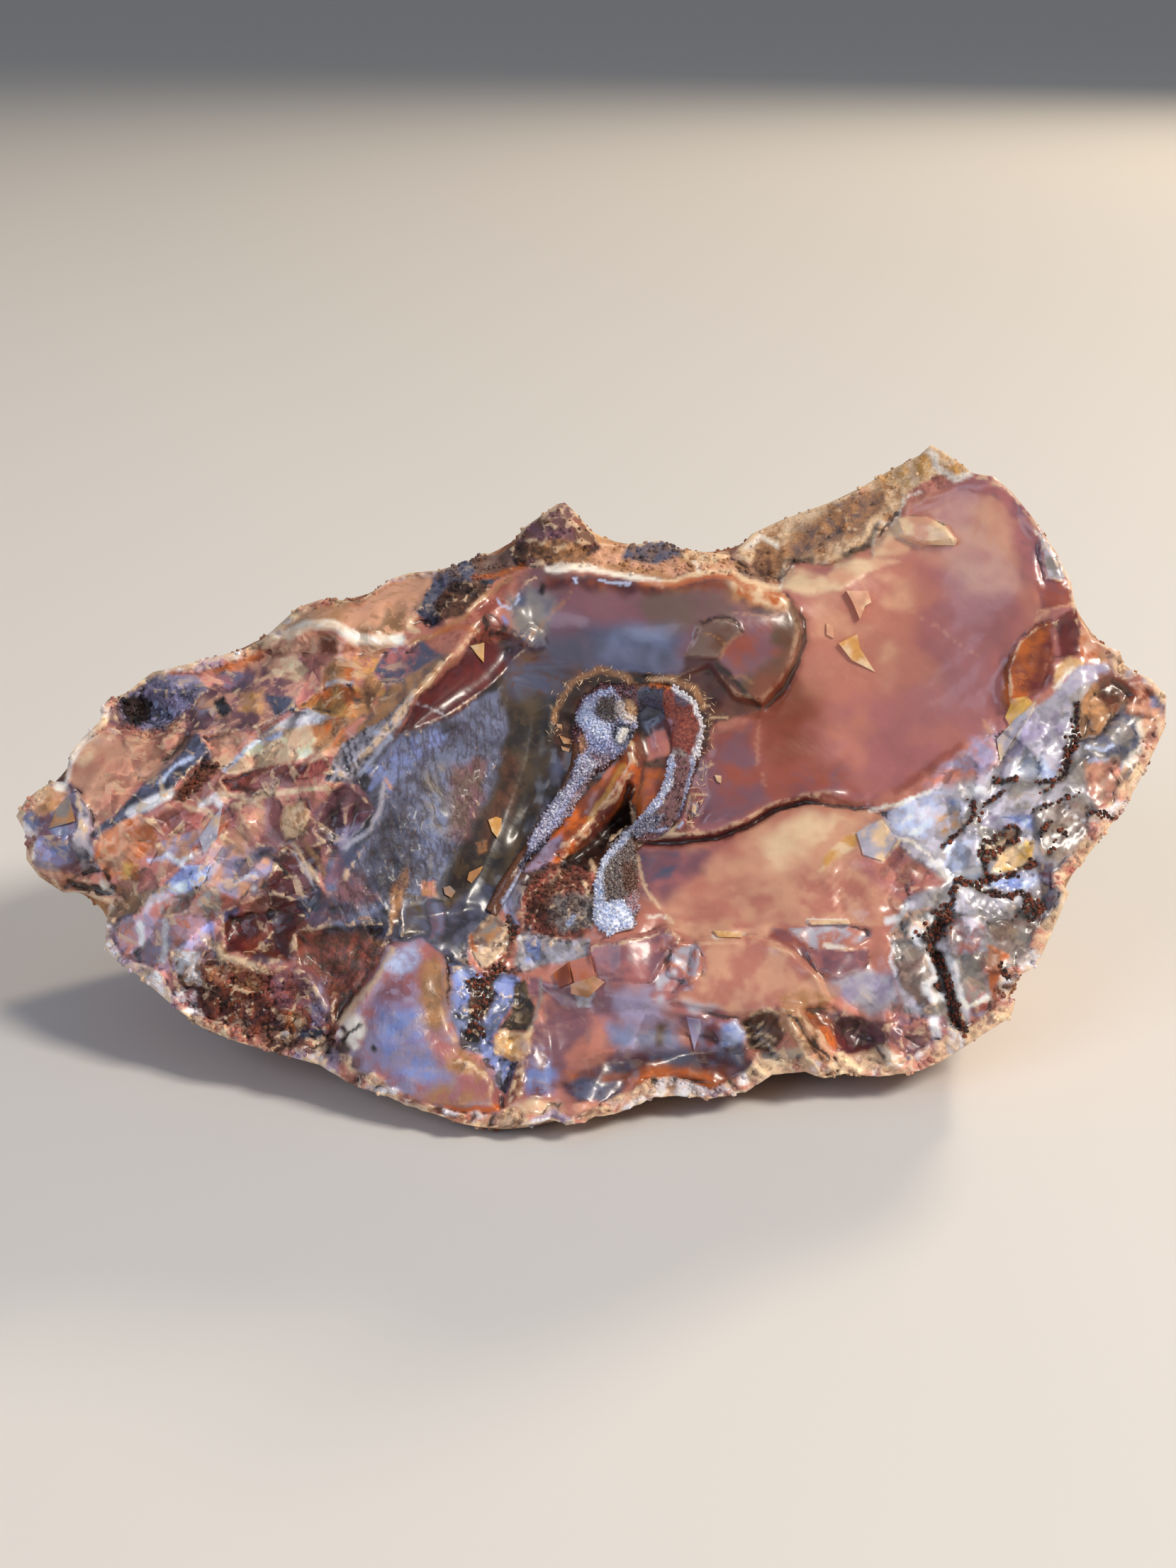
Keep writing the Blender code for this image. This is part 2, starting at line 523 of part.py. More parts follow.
def build_stone(rim, crust_rim):
    """The whole stone, and its face's points, faces and relief, which the crust follows."""
    inner = scattered(FACE_STEP, 11)
    inner = inner[depth_inside(inner, rim) > FACE_STEP * 0.5]
    inner = inner[np.abs(depth_inside(inner, crust_rim)) > CRUST_STEP * 0.45]
    points, front = triangulated([rim, crust_rim], inner)
    relief = face_relief(points)

    rings = back_rings(rim)
    last = rings[-1][0]
    behind = scattered(BACK_STEP, 12)
    behind = behind[depth_inside(behind, last) > BACK_STEP * 0.5]
    middle, middle_faces = triangulated([last], behind)
    flat = np.concatenate([ring for ring, _ in rings] + [middle[len(rim):]])
    out = OVAL_SHARE * np.linalg.norm((middle[len(rim):] - OUTLINE_CENTRE) / BACK_OVAL, axis=1)
    deep = np.concatenate([np.full(len(rim), share) for _, share in rings] + [np.sqrt(1 - out**2)])
    hidden = rounded_back(flat, deep, rim, relief[: len(rim)])

    # The face's own rim comes first among its points, so each ring joins on to the one before it.
    starts = [0] + [len(points) + k * len(rim) for k in range(len(rings))]
    steps = np.arange(len(rim))
    following = np.roll(steps, -1)
    walls = []
    for near, far in zip(starts, starts[1:]):
        walls.append(np.column_stack([near + steps, near + following, far + steps]))
        walls.append(np.column_stack([near + following, far + following, far + steps]))
    faces = np.concatenate([front, *walls, middle_faces + starts[-1]])
    places = set_down(np.concatenate([in_space(points, relief), hidden]))
    stone = solid("carnelian", places, faces, material("carnelian", (0.55, 0.24, 0.15), 0.28))

    # The hollow under the crust and the rest pads keep all their faces.
    kept_whole = stone.vertex_groups.new(name="where faces may merge")
    free = (places[:, 2] > GROUND).astype(float)
    nearest, furthest = KEPT_ROUND
    free[: len(points)] *= rising((-depth_inside(points, crust_rim) - nearest) / (furthest - nearest))
    for index, weight in enumerate(free):
        kept_whole.add([index], weight, "REPLACE")
    fewer = stone.modifiers.new("fewer faces", "DECIMATE")
    fewer.ratio = KEPT_SHARE
    fewer.vertex_group = kept_whole.name
    fewer.vertex_group_factor = 10
    return points, front, relief


def build_crust(crust_rim, points, front, relief):
    """The quartz crust: a closed sheet that lies over the hollow's walls with a grainy outer side."""
    middles = points[front].mean(axis=1)
    covered = front[depth_inside(middles, crust_rim) > 0]
    used, indices = np.unique(covered, return_inverse=True)
    sheet_faces = indices.reshape(covered.shape)
    flat = points[used]
    inward = depth_inside(flat, crust_rim)
    grains = GRAIN_HEIGHT * (smooth_noise(flat, GRAIN_SIZE, 21) + smooth_noise(flat, 2 * GRAIN_SIZE, 22))
    under = relief[used] + CRUST_GAP
    over = under + CRUST_EDGE + (CRUST_THICKNESS + grains) * rising(inward / CRUST_SLOPE)
    places = np.concatenate([in_space(flat, over), in_space(flat, under)])
    count = len(used)
    directed = np.concatenate([sheet_faces[:, [0, 1]], sheet_faces[:, [1, 2]], sheet_faces[:, [2, 0]]])
    known = {tuple(edge) for edge in directed.tolist()}
    border = np.array([edge for edge in sorted(known) if edge[::-1] not in known])
    walls = np.concatenate([
        np.column_stack([border[:, 1], border[:, 0], border[:, 0] + count]),
        np.column_stack([border[:, 1], border[:, 0] + count, border[:, 1] + count]),
    ])
    faces = np.concatenate([sheet_faces, sheet_faces + count, walls])
    solid("druse_crust", places, faces, material("druse", (0.82, 0.78, 0.82), 0.45))


def main():
    for old in list(bpy.data.objects):
        bpy.data.objects.remove(old)
    rim = divided(OUTLINE, RIM_STEP)
    crust_rim = divided(CRUST_OUTLINE, CRUST_STEP)
    points, front, relief = build_stone(rim, crust_rim)
    build_crust(crust_rim, points, front, relief)


main()
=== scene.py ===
# %% [markdown]
# # A raw carnelian
# Carnelian is chalcedony, a quartz too fine to see, stained by iron. This one is half of a nodule that was broken
# open: a glassy face in salmon, maroon and slate, a hollow lined with quartz points, and a brown skin all over the
# rounded back. The solid that carries it is already packed. This lesson gives it its look, in one frame with it, and
# starts by bringing that solid in.

# %% Load the frame
import itertools
import math

import bmesh
import bpy
import numpy as np
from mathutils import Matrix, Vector
from mathutils.geometry import delaunay_2d_cdt


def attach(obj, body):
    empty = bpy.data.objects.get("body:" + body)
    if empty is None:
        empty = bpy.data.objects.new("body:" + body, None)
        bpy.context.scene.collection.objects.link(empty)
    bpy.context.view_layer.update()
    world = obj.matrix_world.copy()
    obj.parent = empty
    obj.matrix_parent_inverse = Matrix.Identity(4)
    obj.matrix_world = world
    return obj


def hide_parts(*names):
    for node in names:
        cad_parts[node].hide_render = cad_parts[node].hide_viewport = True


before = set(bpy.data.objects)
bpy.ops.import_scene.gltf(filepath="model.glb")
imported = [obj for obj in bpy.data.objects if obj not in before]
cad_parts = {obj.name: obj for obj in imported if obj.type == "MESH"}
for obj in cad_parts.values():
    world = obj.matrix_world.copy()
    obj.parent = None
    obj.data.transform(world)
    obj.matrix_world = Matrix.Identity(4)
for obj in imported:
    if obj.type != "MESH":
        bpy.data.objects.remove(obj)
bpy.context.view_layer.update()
print("solids:", ", ".join(sorted(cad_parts)))

# %% [markdown]
# ## The camera
# Nearly all that there is to see lies on the broken face, which leans back by 20 degrees. So the camera looks
# straight at that face, and places on the face are given the way the camera sees them: millimetres to the right,
# millimetres up the leaning face, and relief, which is how far the surface stands out towards the eye.

# %% Camera
MM = 0.001
FACE_LEAN = math.radians(20)
EYE_DISTANCE = 340.5
FACE_CENTRE = np.array([-0.75, -12.6, 42.7])
RIGHT = np.array([1, 0, 0])
UP = np.array([0, math.sin(FACE_LEAN), math.cos(FACE_LEAN)])
OUT = np.array([0, -math.cos(FACE_LEAN), math.sin(FACE_LEAN)])

lens = bpy.data.cameras.new("camera")
lens.lens = 50
lens.sensor_width = 36
lens.clip_start = 0.01
camera = bpy.data.objects.new("camera", lens)
camera.location = (FACE_CENTRE + EYE_DISTANCE * OUT) * MM
camera.rotation_mode = "QUATERNION"
camera.rotation_quaternion = Vector(-OUT).to_track_quat("-Z", "Y")
bpy.context.scene.collection.objects.link(camera)
bpy.context.scene.camera = camera
print("camera", round(EYE_DISTANCE), "mm from the face")

# %% [markdown]
# ## Tools for a surface that no rule gives
# A break in stone has no formula, so it is built from named features. Three small tools do the work: noise for what
# is uneven, the distance to a drawn line or outline for what has an edge, and a smooth step that turns a distance
# into a mask. They are written with numpy, so that they run on all points at once.

# %% Noise
def lattice_numbers(cells, seed):
    """One repeatable number from 0 to 1 for each whole-number cell."""
    steps = np.array([127.1, 311.7, 74.7])[: cells.shape[1]]
    mixed = np.sin(cells @ steps + seed * 17.3) * 43758.5453
    return mixed - np.floor(mixed)


def smooth_noise(points, size, seed):
    """Noise from -1 to 1 whose swells are about size across."""
    scaled = points / size
    whole = np.floor(scaled)
    part = scaled - whole
    fade = part * part * (3 - 2 * part)
    total = np.zeros(len(points))
    for corner in itertools.product((0, 1), repeat=points.shape[1]):
        weight = np.prod(np.where(corner, fade, 1 - fade), axis=1)
        total += weight * lattice_numbers(whole + corner, seed)
    return 2 * total - 1


def clouds(points, size, seed):
    """Noise with three sizes of swell, from about -1 to 1."""
    parts = [smooth_noise(points, size / 2.1**k, seed + k) / 1.8**k for k in range(3)]
    return sum(parts) / 1.3


def lumps(points, size, seed):
    """Rounded knobs about size across: 1 at a knob's middle and 0 between knobs."""
    scaled = points / size
    whole = np.floor(scaled)
    nearest = np.full(len(points), np.inf)
    for step in itertools.product((-1, 0, 1), repeat=points.shape[1]):
        cell = whole + step
        middle = cell + np.stack([lattice_numbers(cell, seed + k) for k in range(points.shape[1])], axis=1)
        nearest = np.minimum(nearest, ((scaled - middle) ** 2).sum(axis=1))
    return np.clip(1 - nearest, 0, 1)


def turned(points, degrees, stretch):
    """Points turned so that a direction lies level, and squeezed along it."""
    angle = math.radians(degrees)
    along = points @ [math.cos(angle), math.sin(angle)]
    across = points @ [-math.sin(angle), math.cos(angle)]
    return np.column_stack([along / stretch, across])


# %% Distances and masks
def rising(value):
    """0 up to 1 with level ends."""
    held = np.clip(value, 0, 1)
    return held * held * (3 - 2 * held)


def distances(points, corners, closed):
    """Distance of each point from a path, and for a closed path whether the point is inside it."""
    path = np.asarray(corners, float)
    ends = np.roll(path, -1, axis=0) if closed else path[1:]
    nearest = np.full(len(points), np.inf)
    inside = np.zeros(len(points), bool)
    for start, end in zip(path, ends):
        edge = end - start
        away = points - start
        along = np.clip(away @ edge / (edge @ edge), 0, 1)
        nearest = np.minimum(nearest, np.hypot(*(away - along[:, None] * edge).T))
        if closed and edge[1]:
            spans = (start[1] > points[:, 1]) != (end[1] > points[:, 1])
            inside ^= spans & (away[:, 0] < away[:, 1] * edge[0] / edge[1])
    return nearest, inside


def depth_inside(points, outline):
    """How far each point is inside an outline, negative outside it."""
    nearest, inside = distances(points, outline, True)
    return np.where(inside, nearest, -nearest)


def close_to(points, corners, reach):
    """Which points lie within reach of the box round some corners."""
    low, high = np.min(corners, axis=0) - reach, np.max(corners, axis=0) + reach
    return np.flatnonzero(((points > low) & (points < high)).all(axis=1))


def area(points, outline, edge=0.6):
    """A mask: 1 inside an outline and 0 outside it, softened over edge."""
    mask = np.zeros(len(points))
    near = close_to(points, outline, edge)
    mask[near] = rising(depth_inside(points[near], outline) / edge + 0.5)
    return mask


def line(points, path, half_width):
    """A mask: 1 on a path, fading out at about half_width from it."""
    mask = np.zeros(len(points))
    near = close_to(points, path, half_width * 2.2)
    mask[near] = np.exp(-((distances(points[near], path, False)[0] / half_width) ** 2))
    return mask

# %% [markdown]
# ## The form of the broken face
# The outline is the edge between the break and the skin. Inside it, a smooth sheet goes through a few dozen heights,
# as a tent goes over its poles; then plates stand out of it, scoops sink into it and crests run along it. These are
# the same named values as the solid's, so that the look and the solid agree.

# %% Outline and heights
OUTLINE = [
    (-89.4, -5), (-87.9, -2.5), (-86, -1), (-83.8, 0.4), (-81.8, 0.2), (-81, 4.7), (-79, 7.2),
    (-75.9, 10.2), (-76.3, 11.5), (-75.2, 13), (-72, 14.3), (-69.8, 16.2), (-68, 17.5), (-64, 18.4),
    (-59, 19.7), (-54, 20.8), (-51, 22.5), (-47.9, 25.3), (-45.4, 27.6), (-41.6, 28.9), (-35.7, 28.5),
    (-32.9, 30.5), (-30.7, 32.1), (-27.9, 33), (-23.4, 33.4), (-19.6, 34.5), (-16.4, 36.1),
    (-13.9, 35.7), (-11.2, 37.6), (-10.4, 39.8), (-7.1, 42.1), (-4.8, 43.8), (-3.6, 44), (-1.6, 42.1),
    (0.5, 39.5), (1.5, 37.5), (6.4, 37.2), (11.4, 38.1), (14.2, 36.7), (21, 35.9), (22.4, 35.6),
    (25.6, 39.1), (30.3, 41.3), (40.2, 44.9), (46.6, 48.7), (51.8, 51.4), (53.6, 53), (55.6, 51.9),
    (60.4, 48.5), (63.4, 48.1), (66.3, 45.6), (69.5, 41.7), (73.1, 36.4), (75.6, 31.4), (76.6, 25.6),
    (78.8, 22.8), (81.3, 21.4), (83.1, 20.8), (84.1, 18), (88.1, 16.4), (90.4, 13.6), (90.2, 8.8),
    (88.2, 4.5), (86.1, 0.2), (83.9, -3.5), (79.5, -9.4), (75.9, -13.9), (73.9, -15.3), (75.2, -17.1),
    (73.2, -21.6), (70.2, -28.5), (67.5, -29.8), (65.7, -33), (66.8, -34.1), (66.1, -36.4), (60, -40.3),
    (54.5, -44.1), (50, -46.2), (45.3, -46.9), (40.3, -45.8), (36.9, -46.7), (33.9, -45.1),
    (28.7, -45.8), (24.6, -49.2), (19.2, -50.4), (14.6, -49.9), (10.3, -49.5), (5.3, -52.4),
    (-0.4, -55.8), (-3.5, -56.2), (-6.2, -53.8), (-8.5, -54.6), (-14.2, -54.8), (-20.8, -54.6),
    (-26.9, -52.7), (-32.3, -49.6), (-38.1, -46.7), (-41.9, -44), (-48.5, -42.1), (-55, -40.3),
    (-60.5, -38), (-64.5, -35), (-67, -32.8), (-70.2, -30), (-73, -28.2), (-75.5, -25.8), (-75.2, -21),
    (-74.5, -18.6), (-79, -17), (-82, -17), (-85.8, -14.5), (-87.8, -11.8), (-87.8, -8.2),
]

RELIEF = [
    # along the outline, from the left end over the top
    (-89.4, -5, -6), (-82, 0, -7), (-76, 12, -11), (-60, 19.5, -13), (-45, 28, -15), (-25, 33.5, -18),
    (-14, 36, -16), (-4, 44, -15), (5, 37, -15), (21, 36, -16), (30, 41, -18), (44, 47, -18),
    (53.6, 53, -15), (62, 48, -8), (70, 40, -6), (76, 29, -5), (80, 21, -7), (90, 13, -8), (88, 4, -6),
    (80, -8, -2), (74, -18, 1), (67, -31, 5), (60, -40, 8), (50, -46, 9), (40, -46, 10), (27, -47, 12),
    (16, -50, 15), (5, -52.5, 18), (-3, -56, 20.5), (-15, -55, 20), (-27, -52.5, 17.5),
    (-38, -46.5, 13), (-50, -42, 9), (-60, -38, 6), (-65, -34, 4), (-73, -28, 0), (-75, -20, -3),
    (-84, -16, -8), (-88, -10, -7),
    # left part: end lobe, stained hollow, petals and splinters that climb to the main ridge
    (-84, -8, -1), (-76, 2, -4), (-70, 10.5, -10), (-60, 14, -8), (-48, 18, -7), (-43, 25, -5),
    (-34, 29, -9), (-60, 0, 1), (-66, -6, 2), (-56, -7, 4), (-70, -14, 1), (-62, -16, 5), (-66, -26, 4),
    (-52, -22, 8), (-51, -33, 9), (-40, -30, 12), (-46, 1, 6), (-44, 11, 3), (-38, 18, 0), (-30, 20, 0),
    (-47, -8, 7),
    # main ridge, the rippled wall right of it and the smoky valley at its foot
    (-41, 0, 9.5), (-36, 4, 10.5), (-31, 9, 9.5), (-27, 14, 7), (-21, 20, 3), (-15, 28, -4),
    (-20, 33, -11), (-28, 0, 6), (-31, -10, 8), (-38, -20, 11), (-22, 6, 2), (-21, -8, 3),
    (-12, 10, -5), (-13, -4, -3), (-20, -20, 4), (-12, 20, -5), (-41, -10, 10),
    # dark dome, druse hollow and what lies between its arms
    (0, 26, -3), (14, 27, -1.5), (28, 25, -3.5), (5, 20, -3), (0, 33, -8), (20, 33, -9), (20, 14, -4),
    (2.5, 11, -8), (-5, -6, -5), (-13, -18, 0), (4, 0, -4), (5, -6, -9), (13, 3, -6), (5, -17, 3),
    (-5, -18, 3),
    # salmon face and the shelf under it
    (22, 0, -7), (45, 20, -10), (55, 32, -9), (60, 12, -7), (34, 8, -9), (40, 31, -8), (44, -2, -5),
    (30, -3, -6), (18, -8, -5), (20, -15, 1), (34, -11, 1), (42, -20, 7), (26, -21, 6), (10, -14, -1),
    # lower middle
    (0, -28, 9), (14, -29, 10), (28, -29, 10), (40, -28, 10), (5, -38, 14), (20, -40, 12),
    (-5, -45, 17), (8, -47, 16), (33, -40, 13), (42, -40, 8), (47, -43, 11), (-28, -37, 17),
    (-28, -47, 18), (-15, -36, 13), (-10, -26, 5),
    # milky right part, the peak and the rock behind the top edge
    (52, -10, 3), (60, -20, 6), (68, -10, 2), (80, 0, -2), (75, 10, -4), (84, 8, -4), (58, -32, 9),
    (50, -30, 9), (64, 42, -7), (70, 30, -4), (40, 41, -14), (53, 49, -13), (15, 35, -13),
    (-4, 39, -12), (38, 36, -12),
]

# %% Plates, scoops and crests
# Plates of the break: outline, how far the plate stands out, and the width over which its edge rounds off.
LEDGES = {
    "end lobe": (
        [(-88, -5), (-84, -1.5), (-79, -2), (-77.5, -6), (-78, -12), (-83, -15), (-86.5, -11)], 2.2, 3.0,
    ),
    "left cushion": (
        [
            (-50, 24), (-45, 26.5), (-33, 29), (-25, 32), (-24, 27), (-30, 24), (-42, 24),
        ],
        2.0, 3.0,
    ),
    "splinter plates": (
        [(-47, 4), (-42, 6), (-36, 0), (-38, -8), (-46, -12), (-52, -10), (-56, -3), (-52, 2)], 1.2, 1.5,
    ),
    "lower left lobe": (
        [
            (-31, -25.5), (-26, -25), (-22.5, -28), (-22, -35), (-19.5, -42), (-14.5, -45), (-14, -51),
            (-26, -51), (-36, -45.5), (-38.5, -41), (-37, -35), (-33.5, -30),
        ],
        1.6, 2.4,
    ),
    "peach plate": (
        [
            (17, -24.5), (26, -24), (32, -26), (36, -30), (38, -34), (32, -35.5), (22, -36), (13, -34),
            (16, -30),
        ],
        1.2, 1.2,
    ),
    "cream plate": ([(48, 41.5), (53, 41.5), (56, 40), (57.5, 38), (52, 37.5), (48.5, 39)], 0.9, 1.0),
    "cracked plate": ([(56, -22), (61, -20), (66, -22), (66, -29), (61, -36), (57.5, -32)], 1.0, 1.2),
    "right window": ([(77, 7), (78, 14), (82, 16.5), (85, 14), (81, 8)], -1.2, 1.4),
    "matrix block": ([(-27, 27), (-23, 33), (-17, 35), (-12, 34), (-16, 29), (-22, 25)], 1.6, 1.6),
    "matrix knob": ([(-10, 38), (-7, 41.5), (-4, 43), (-1.5, 41), (0.5, 37.5), (-5, 36)], 2.6, 2.2),
    "fold ridge": ([(30, -35), (33, -35), (37, -39), (40, -45), (36, -45.5), (32, -40)], 2.2, 2.0),
}

# Steps of the break: the side that stands out, the line where it breaks off, its height, the width over which its
# edge rounds off, and how far from the line the height is lost.
STEPS = {
    "dark dome": (
        [
            (-11, 30.5), (-5, 32), (0, 32.4), (6, 32), (12, 30.8), (18, 32), (23, 32), (27, 30.8),
            (30.5, 29.5), (32.6, 27.5), (33.4, 24), (32.6, 20), (30.4, 15.8), (27.4, 12.6), (23, 13.5),
            (19, 18.5), (14, 16.5), (8, 17), (-4, 18), (-11, 18), (-9, 22), (-10.5, 27),
        ],
        [(30.5, 28.6), (32.4, 26.8), (33.3, 23.6), (32.5, 20), (30.3, 16), (28, 13.4)],
        2.4, 1.0, 13.0,
    ),
    "salmon edge": (
        [
            (7.5, -9), (14, -8.8), (20, -8.2), (25, -6.2), (29, -3.8), (34, -2.4), (42, -3.8), (48, 2),
            (42, 14), (28, 12), (19, 8), (16.4, 2), (14.6, -5), (11.4, -8),
        ],
        [(10, -8.8), (14, -8.8), (20, -8.2), (25, -6.2), (29, -3.8), (33, -2.6)],
        2.2, 0.9, 8.0,
    ),
}

# Scoops that the break left: outline, depth, and how far from the edge the scoop is deepest.
SCOOPS = {
    "stained pit": ([(-74, 12), (-70, 15), (-62, 14), (-64, 9), (-69, 7), (-73, 8.5)], 3.2, 3.5),
    "smoky valley": (
        [
            (-12, 16), (-4, 13.5), (-5, 4), (-9, -8), (-14, -17), (-21, -24), (-22, -16), (-18, -5),
            (-14, 4),
        ],
        1.8, 7.0,
    ),
    "dark lens": (
        [
            (-16, 25), (-9, 22), (-15, 15.5), (-22, 10.8), (-28, 8.5), (-26, 15), (-20, 21),
        ],
        1.8, 3.0,
    ),
    "cavity": (
        [
            (6, 1), (7.3, 0), (6.6, -3), (7, -6), (4, -8), (2, -11), (-2, -13), (-4, -12), (0, -8),
            (4, -4),
        ],
        3.5, 2.0,
    ),
    "brown facet": (
        [(-56.5, -20), (-50, -17), (-44, -18.5), (-46, -24), (-47, -27.5), (-52, -27), (-57, -25)],
        2.2, 3.0,
    ),
    "red facet": ([(-37, -0.5), (-33.5, -4), (-36, -7), (-40, -10.5), (-43, -7), (-40, -1)], 1.8, 2.5),
    "brown sheet": (
        [
            (-46, -23), (-38, -22), (-31, -22), (-34, -31), (-39, -38), (-42, -33), (-45, -29),
        ],
        2.6, 4.0,
    ),
    "rippled scoop": (
        [
            (24, -37), (27, -35.5), (30, -36.5), (31, -40), (29, -43), (25, -41.5),
        ],
        2.4, 2.8,
    ),
    "red hollow": ([(38, -37), (42, -36), (47, -39), (46, -42), (41, -43), (38.5, -40)], 2.0, 2.5),
    "crack hollow": (
        [
            (52.5, -22), (55.5, -21), (57, -30), (59, -39), (56, -38), (53.5, -32),
        ],
        2.0, 1.8,
    ),
    "lobe hollow": ([(-82, -15), (-76, -15.5), (-73, -18), (-74, -12), (-78, -12)], 2.4, 2.4),
    "mauve dip": ([(-8, -31), (8, -34), (20, -37.5), (24, -41), (10, -43), (-6, -44)], 1.6, 4.0),
    "rim notch": ([(10, -48), (16, -48.5), (20, -47), (14, -45), (8, -46)], 1.6, 2.0),
}

# The smooth, glassy parts of the break, where the face has no roughness of its own.
SALMON_FACE = [
    (30, 32), (44, 36), (50, 44), (58, 47.5), (65, 46), (71, 38), (72, 30), (65, 20), (64, 8), (54, 3),
    (44, -3), (36, -1), (24, -5), (17, -7), (19, 8), (28, 12), (33, 21),
]
LOWER_SHELF = [
    (7.5, -9), (14, -8.8), (20, -8.4), (28, -4.6), (34, -2.9), (42, -4.2), (47, -6), (42, -11),
    (38, -15), (41, -20), (47, -23), (34, -23), (22, -23), (12, -21.5), (8, -17),
]
SMOOTH_BREAKS = [
    SALMON_FACE, LOWER_SHELF, STEPS["dark dome"][0], LEDGES["peach plate"][0],
    [(-13, 30), (-11, 18), (-4, 17), (-5, 5), (-16, -20), (-40, -22), (-34, 2), (-28, 10), (-20, 24)],
    [(-8, -30), (8, -33), (20, -37), (25, -42), (10, -44), (-6, -44)],
]

# The crest lines that stand up from the face, as a path, its height and its half width.
CRESTS = {
    "main ridge": ([(-18, 23.5), (-21, 20), (-27, 14), (-31, 9), (-36, 4), (-41, 0)], 2.8, 2.1),
    "wall foot": ([(-42, -22), (-38, -14), (-34, -8), (-32, -2), (-34, 1.5)], 0.9, 1.8),
    "pale crest": (
        [
            (-50, 22), (-46.5, 23.5), (-43, 25), (-40, 24.7), (-36, 22.5), (-29, 22.5),
        ],
        1.4, 1.6,
    ),
    "beige petal": ([(-56, 0), (-50, 3), (-44, 6.5), (-40, 9.5)], 1.4, 2.2),
    "finger petal": ([(-38.5, 20.5), (-38.5, 16), (-37, 12)], 1.6, 2.2),
    "orange blade": ([(6.5, 6), (7, 3.5), (5, -1), (1, -5.5), (-3, -9.5)], 2.6, 1.7),
    "splinter one": ([(-72, -8), (-65, -3), (-58, 3)], 1.2, 1.6),
    "splinter two": ([(-70, -16), (-62, -11), (-54, -6)], 1.3, 1.8),
    "splinter three": ([(-66, -22), (-58, -17), (-50, -13)], 1.2, 1.8),
    "rust edge": ([(-64, -31), (-58, -28), (-50, -29), (-44, -31)], 1.4, 2.0),
    "toe": ([(-2, -54), (-1, -50), (2, -45)], 1.5, 2.6),
}
print(len(RELIEF), "heights,", len(LEDGES), "plates,", len(STEPS), "steps,")
print(len(SCOOPS), "scoops,", len(CRESTS), "crests")


# %% The sheet and its main features
def sheet_through(controls):
    """A function of face points: the smooth sheet through (right, up, relief) controls."""
    known = np.array(controls, float)
    count = len(known)

    def bend(separation):
        return separation**2 * np.log(separation + 1e-9)

    def linear(points):
        return np.column_stack([np.ones(len(points)), points])

    system = np.zeros((count + 3, count + 3))
    system[:count, :count] = bend(np.linalg.norm(known[:, None, :2] - known[None, :, :2], axis=2))
    system[:count, count:] = linear(known[:, :2])
    system[count:, :count] = system[:count, count:].T
    weights = np.linalg.solve(system, np.append(known[:, 2], np.zeros(3)))

    def sheet(points):
        pull = sum(w * bend(np.hypot(*(points - at).T)) for w, at in zip(weights, known[:, :2]))
        return pull + linear(points) @ weights[count:]

    return sheet


BASE_SHEET = sheet_through(RELIEF)
RIND_ROUGHNESS = 0.8
ROUGH_SIZE = 5.0
FINER_SHARE = 0.55
SMOOTH_EDGE = 2.0


def main_relief(points):
    """The relief that the solid has too."""
    relief = BASE_SHEET(points)
    for outline, height, edge in LEDGES.values():
        relief += height * area(points, outline, edge)
    for outline, broken_line, height, edge, reach in STEPS.values():
        away = distances(points, broken_line, False)[0]
        relief += height * area(points, outline, edge) * np.exp(-((away / reach) ** 2))
    for outline, depth, reach in SCOOPS.values():
        inward = np.clip(depth_inside(points, outline) / reach, 0, 1)
        relief -= depth * (1 - (1 - inward) ** 2)
    for path, height, half_width in CRESTS.values():
        relief += height * line(points, path, half_width)
    rough = np.ones(len(points))
    for outline in SMOOTH_BREAKS:
        rough *= 1 - rising(depth_inside(points, outline) / SMOOTH_EDGE)
    relief += rough * RIND_ROUGHNESS * smooth_noise(points, ROUGH_SIZE, 1)
    return relief + rough * RIND_ROUGHNESS * FINER_SHARE * smooth_noise(points, ROUGH_SIZE * FINER_SHARE, 2)

# %% [markdown]
# ## Flakes, ripples and cracks
# Chalcedony breaks like glass. Where the blow ran cleanly it left broad curved faces with faint ripples, and where
# the stone was already cracked it came apart in hundreds of flakes that lean this way and that. A flake field is a
# Voronoi pattern: each cell is one flake with its own height and tilt. Stretching and turning the pattern makes the
# long splinters of the left end, all in the direction in which the stone split.

# %% Flakes
def flakes(points, size, stretch, degrees, seed):
    """A number for each point's flake, and how far that flake's tilted face stands out there."""
    scaled = turned(points, degrees, stretch) / size
    whole = np.floor(scaled)
    nearest = np.full(len(points), np.inf)
    number = np.zeros(len(points))
    face = np.zeros(len(points))
    for step in itertools.product((-1, 0, 1), repeat=2):
        cell = whole + step
        middle = cell + 0.1 + 0.8 * np.stack([lattice_numbers(cell, seed), lattice_numbers(cell, seed + 1)], axis=1)
        away = scaled - middle
        apart = (away**2).sum(axis=1)
        tilt = np.stack([lattice_numbers(cell, seed + 2), lattice_numbers(cell, seed + 3)], axis=1) - 0.5
        height = lattice_numbers(cell, seed + 4)
        here = apart < nearest
        nearest = np.where(here, apart, nearest)
        number = np.where(here, height, number)
        face = np.where(here, height - 0.5 + (tilt * away).sum(axis=1) * 2, face)
    return number, face


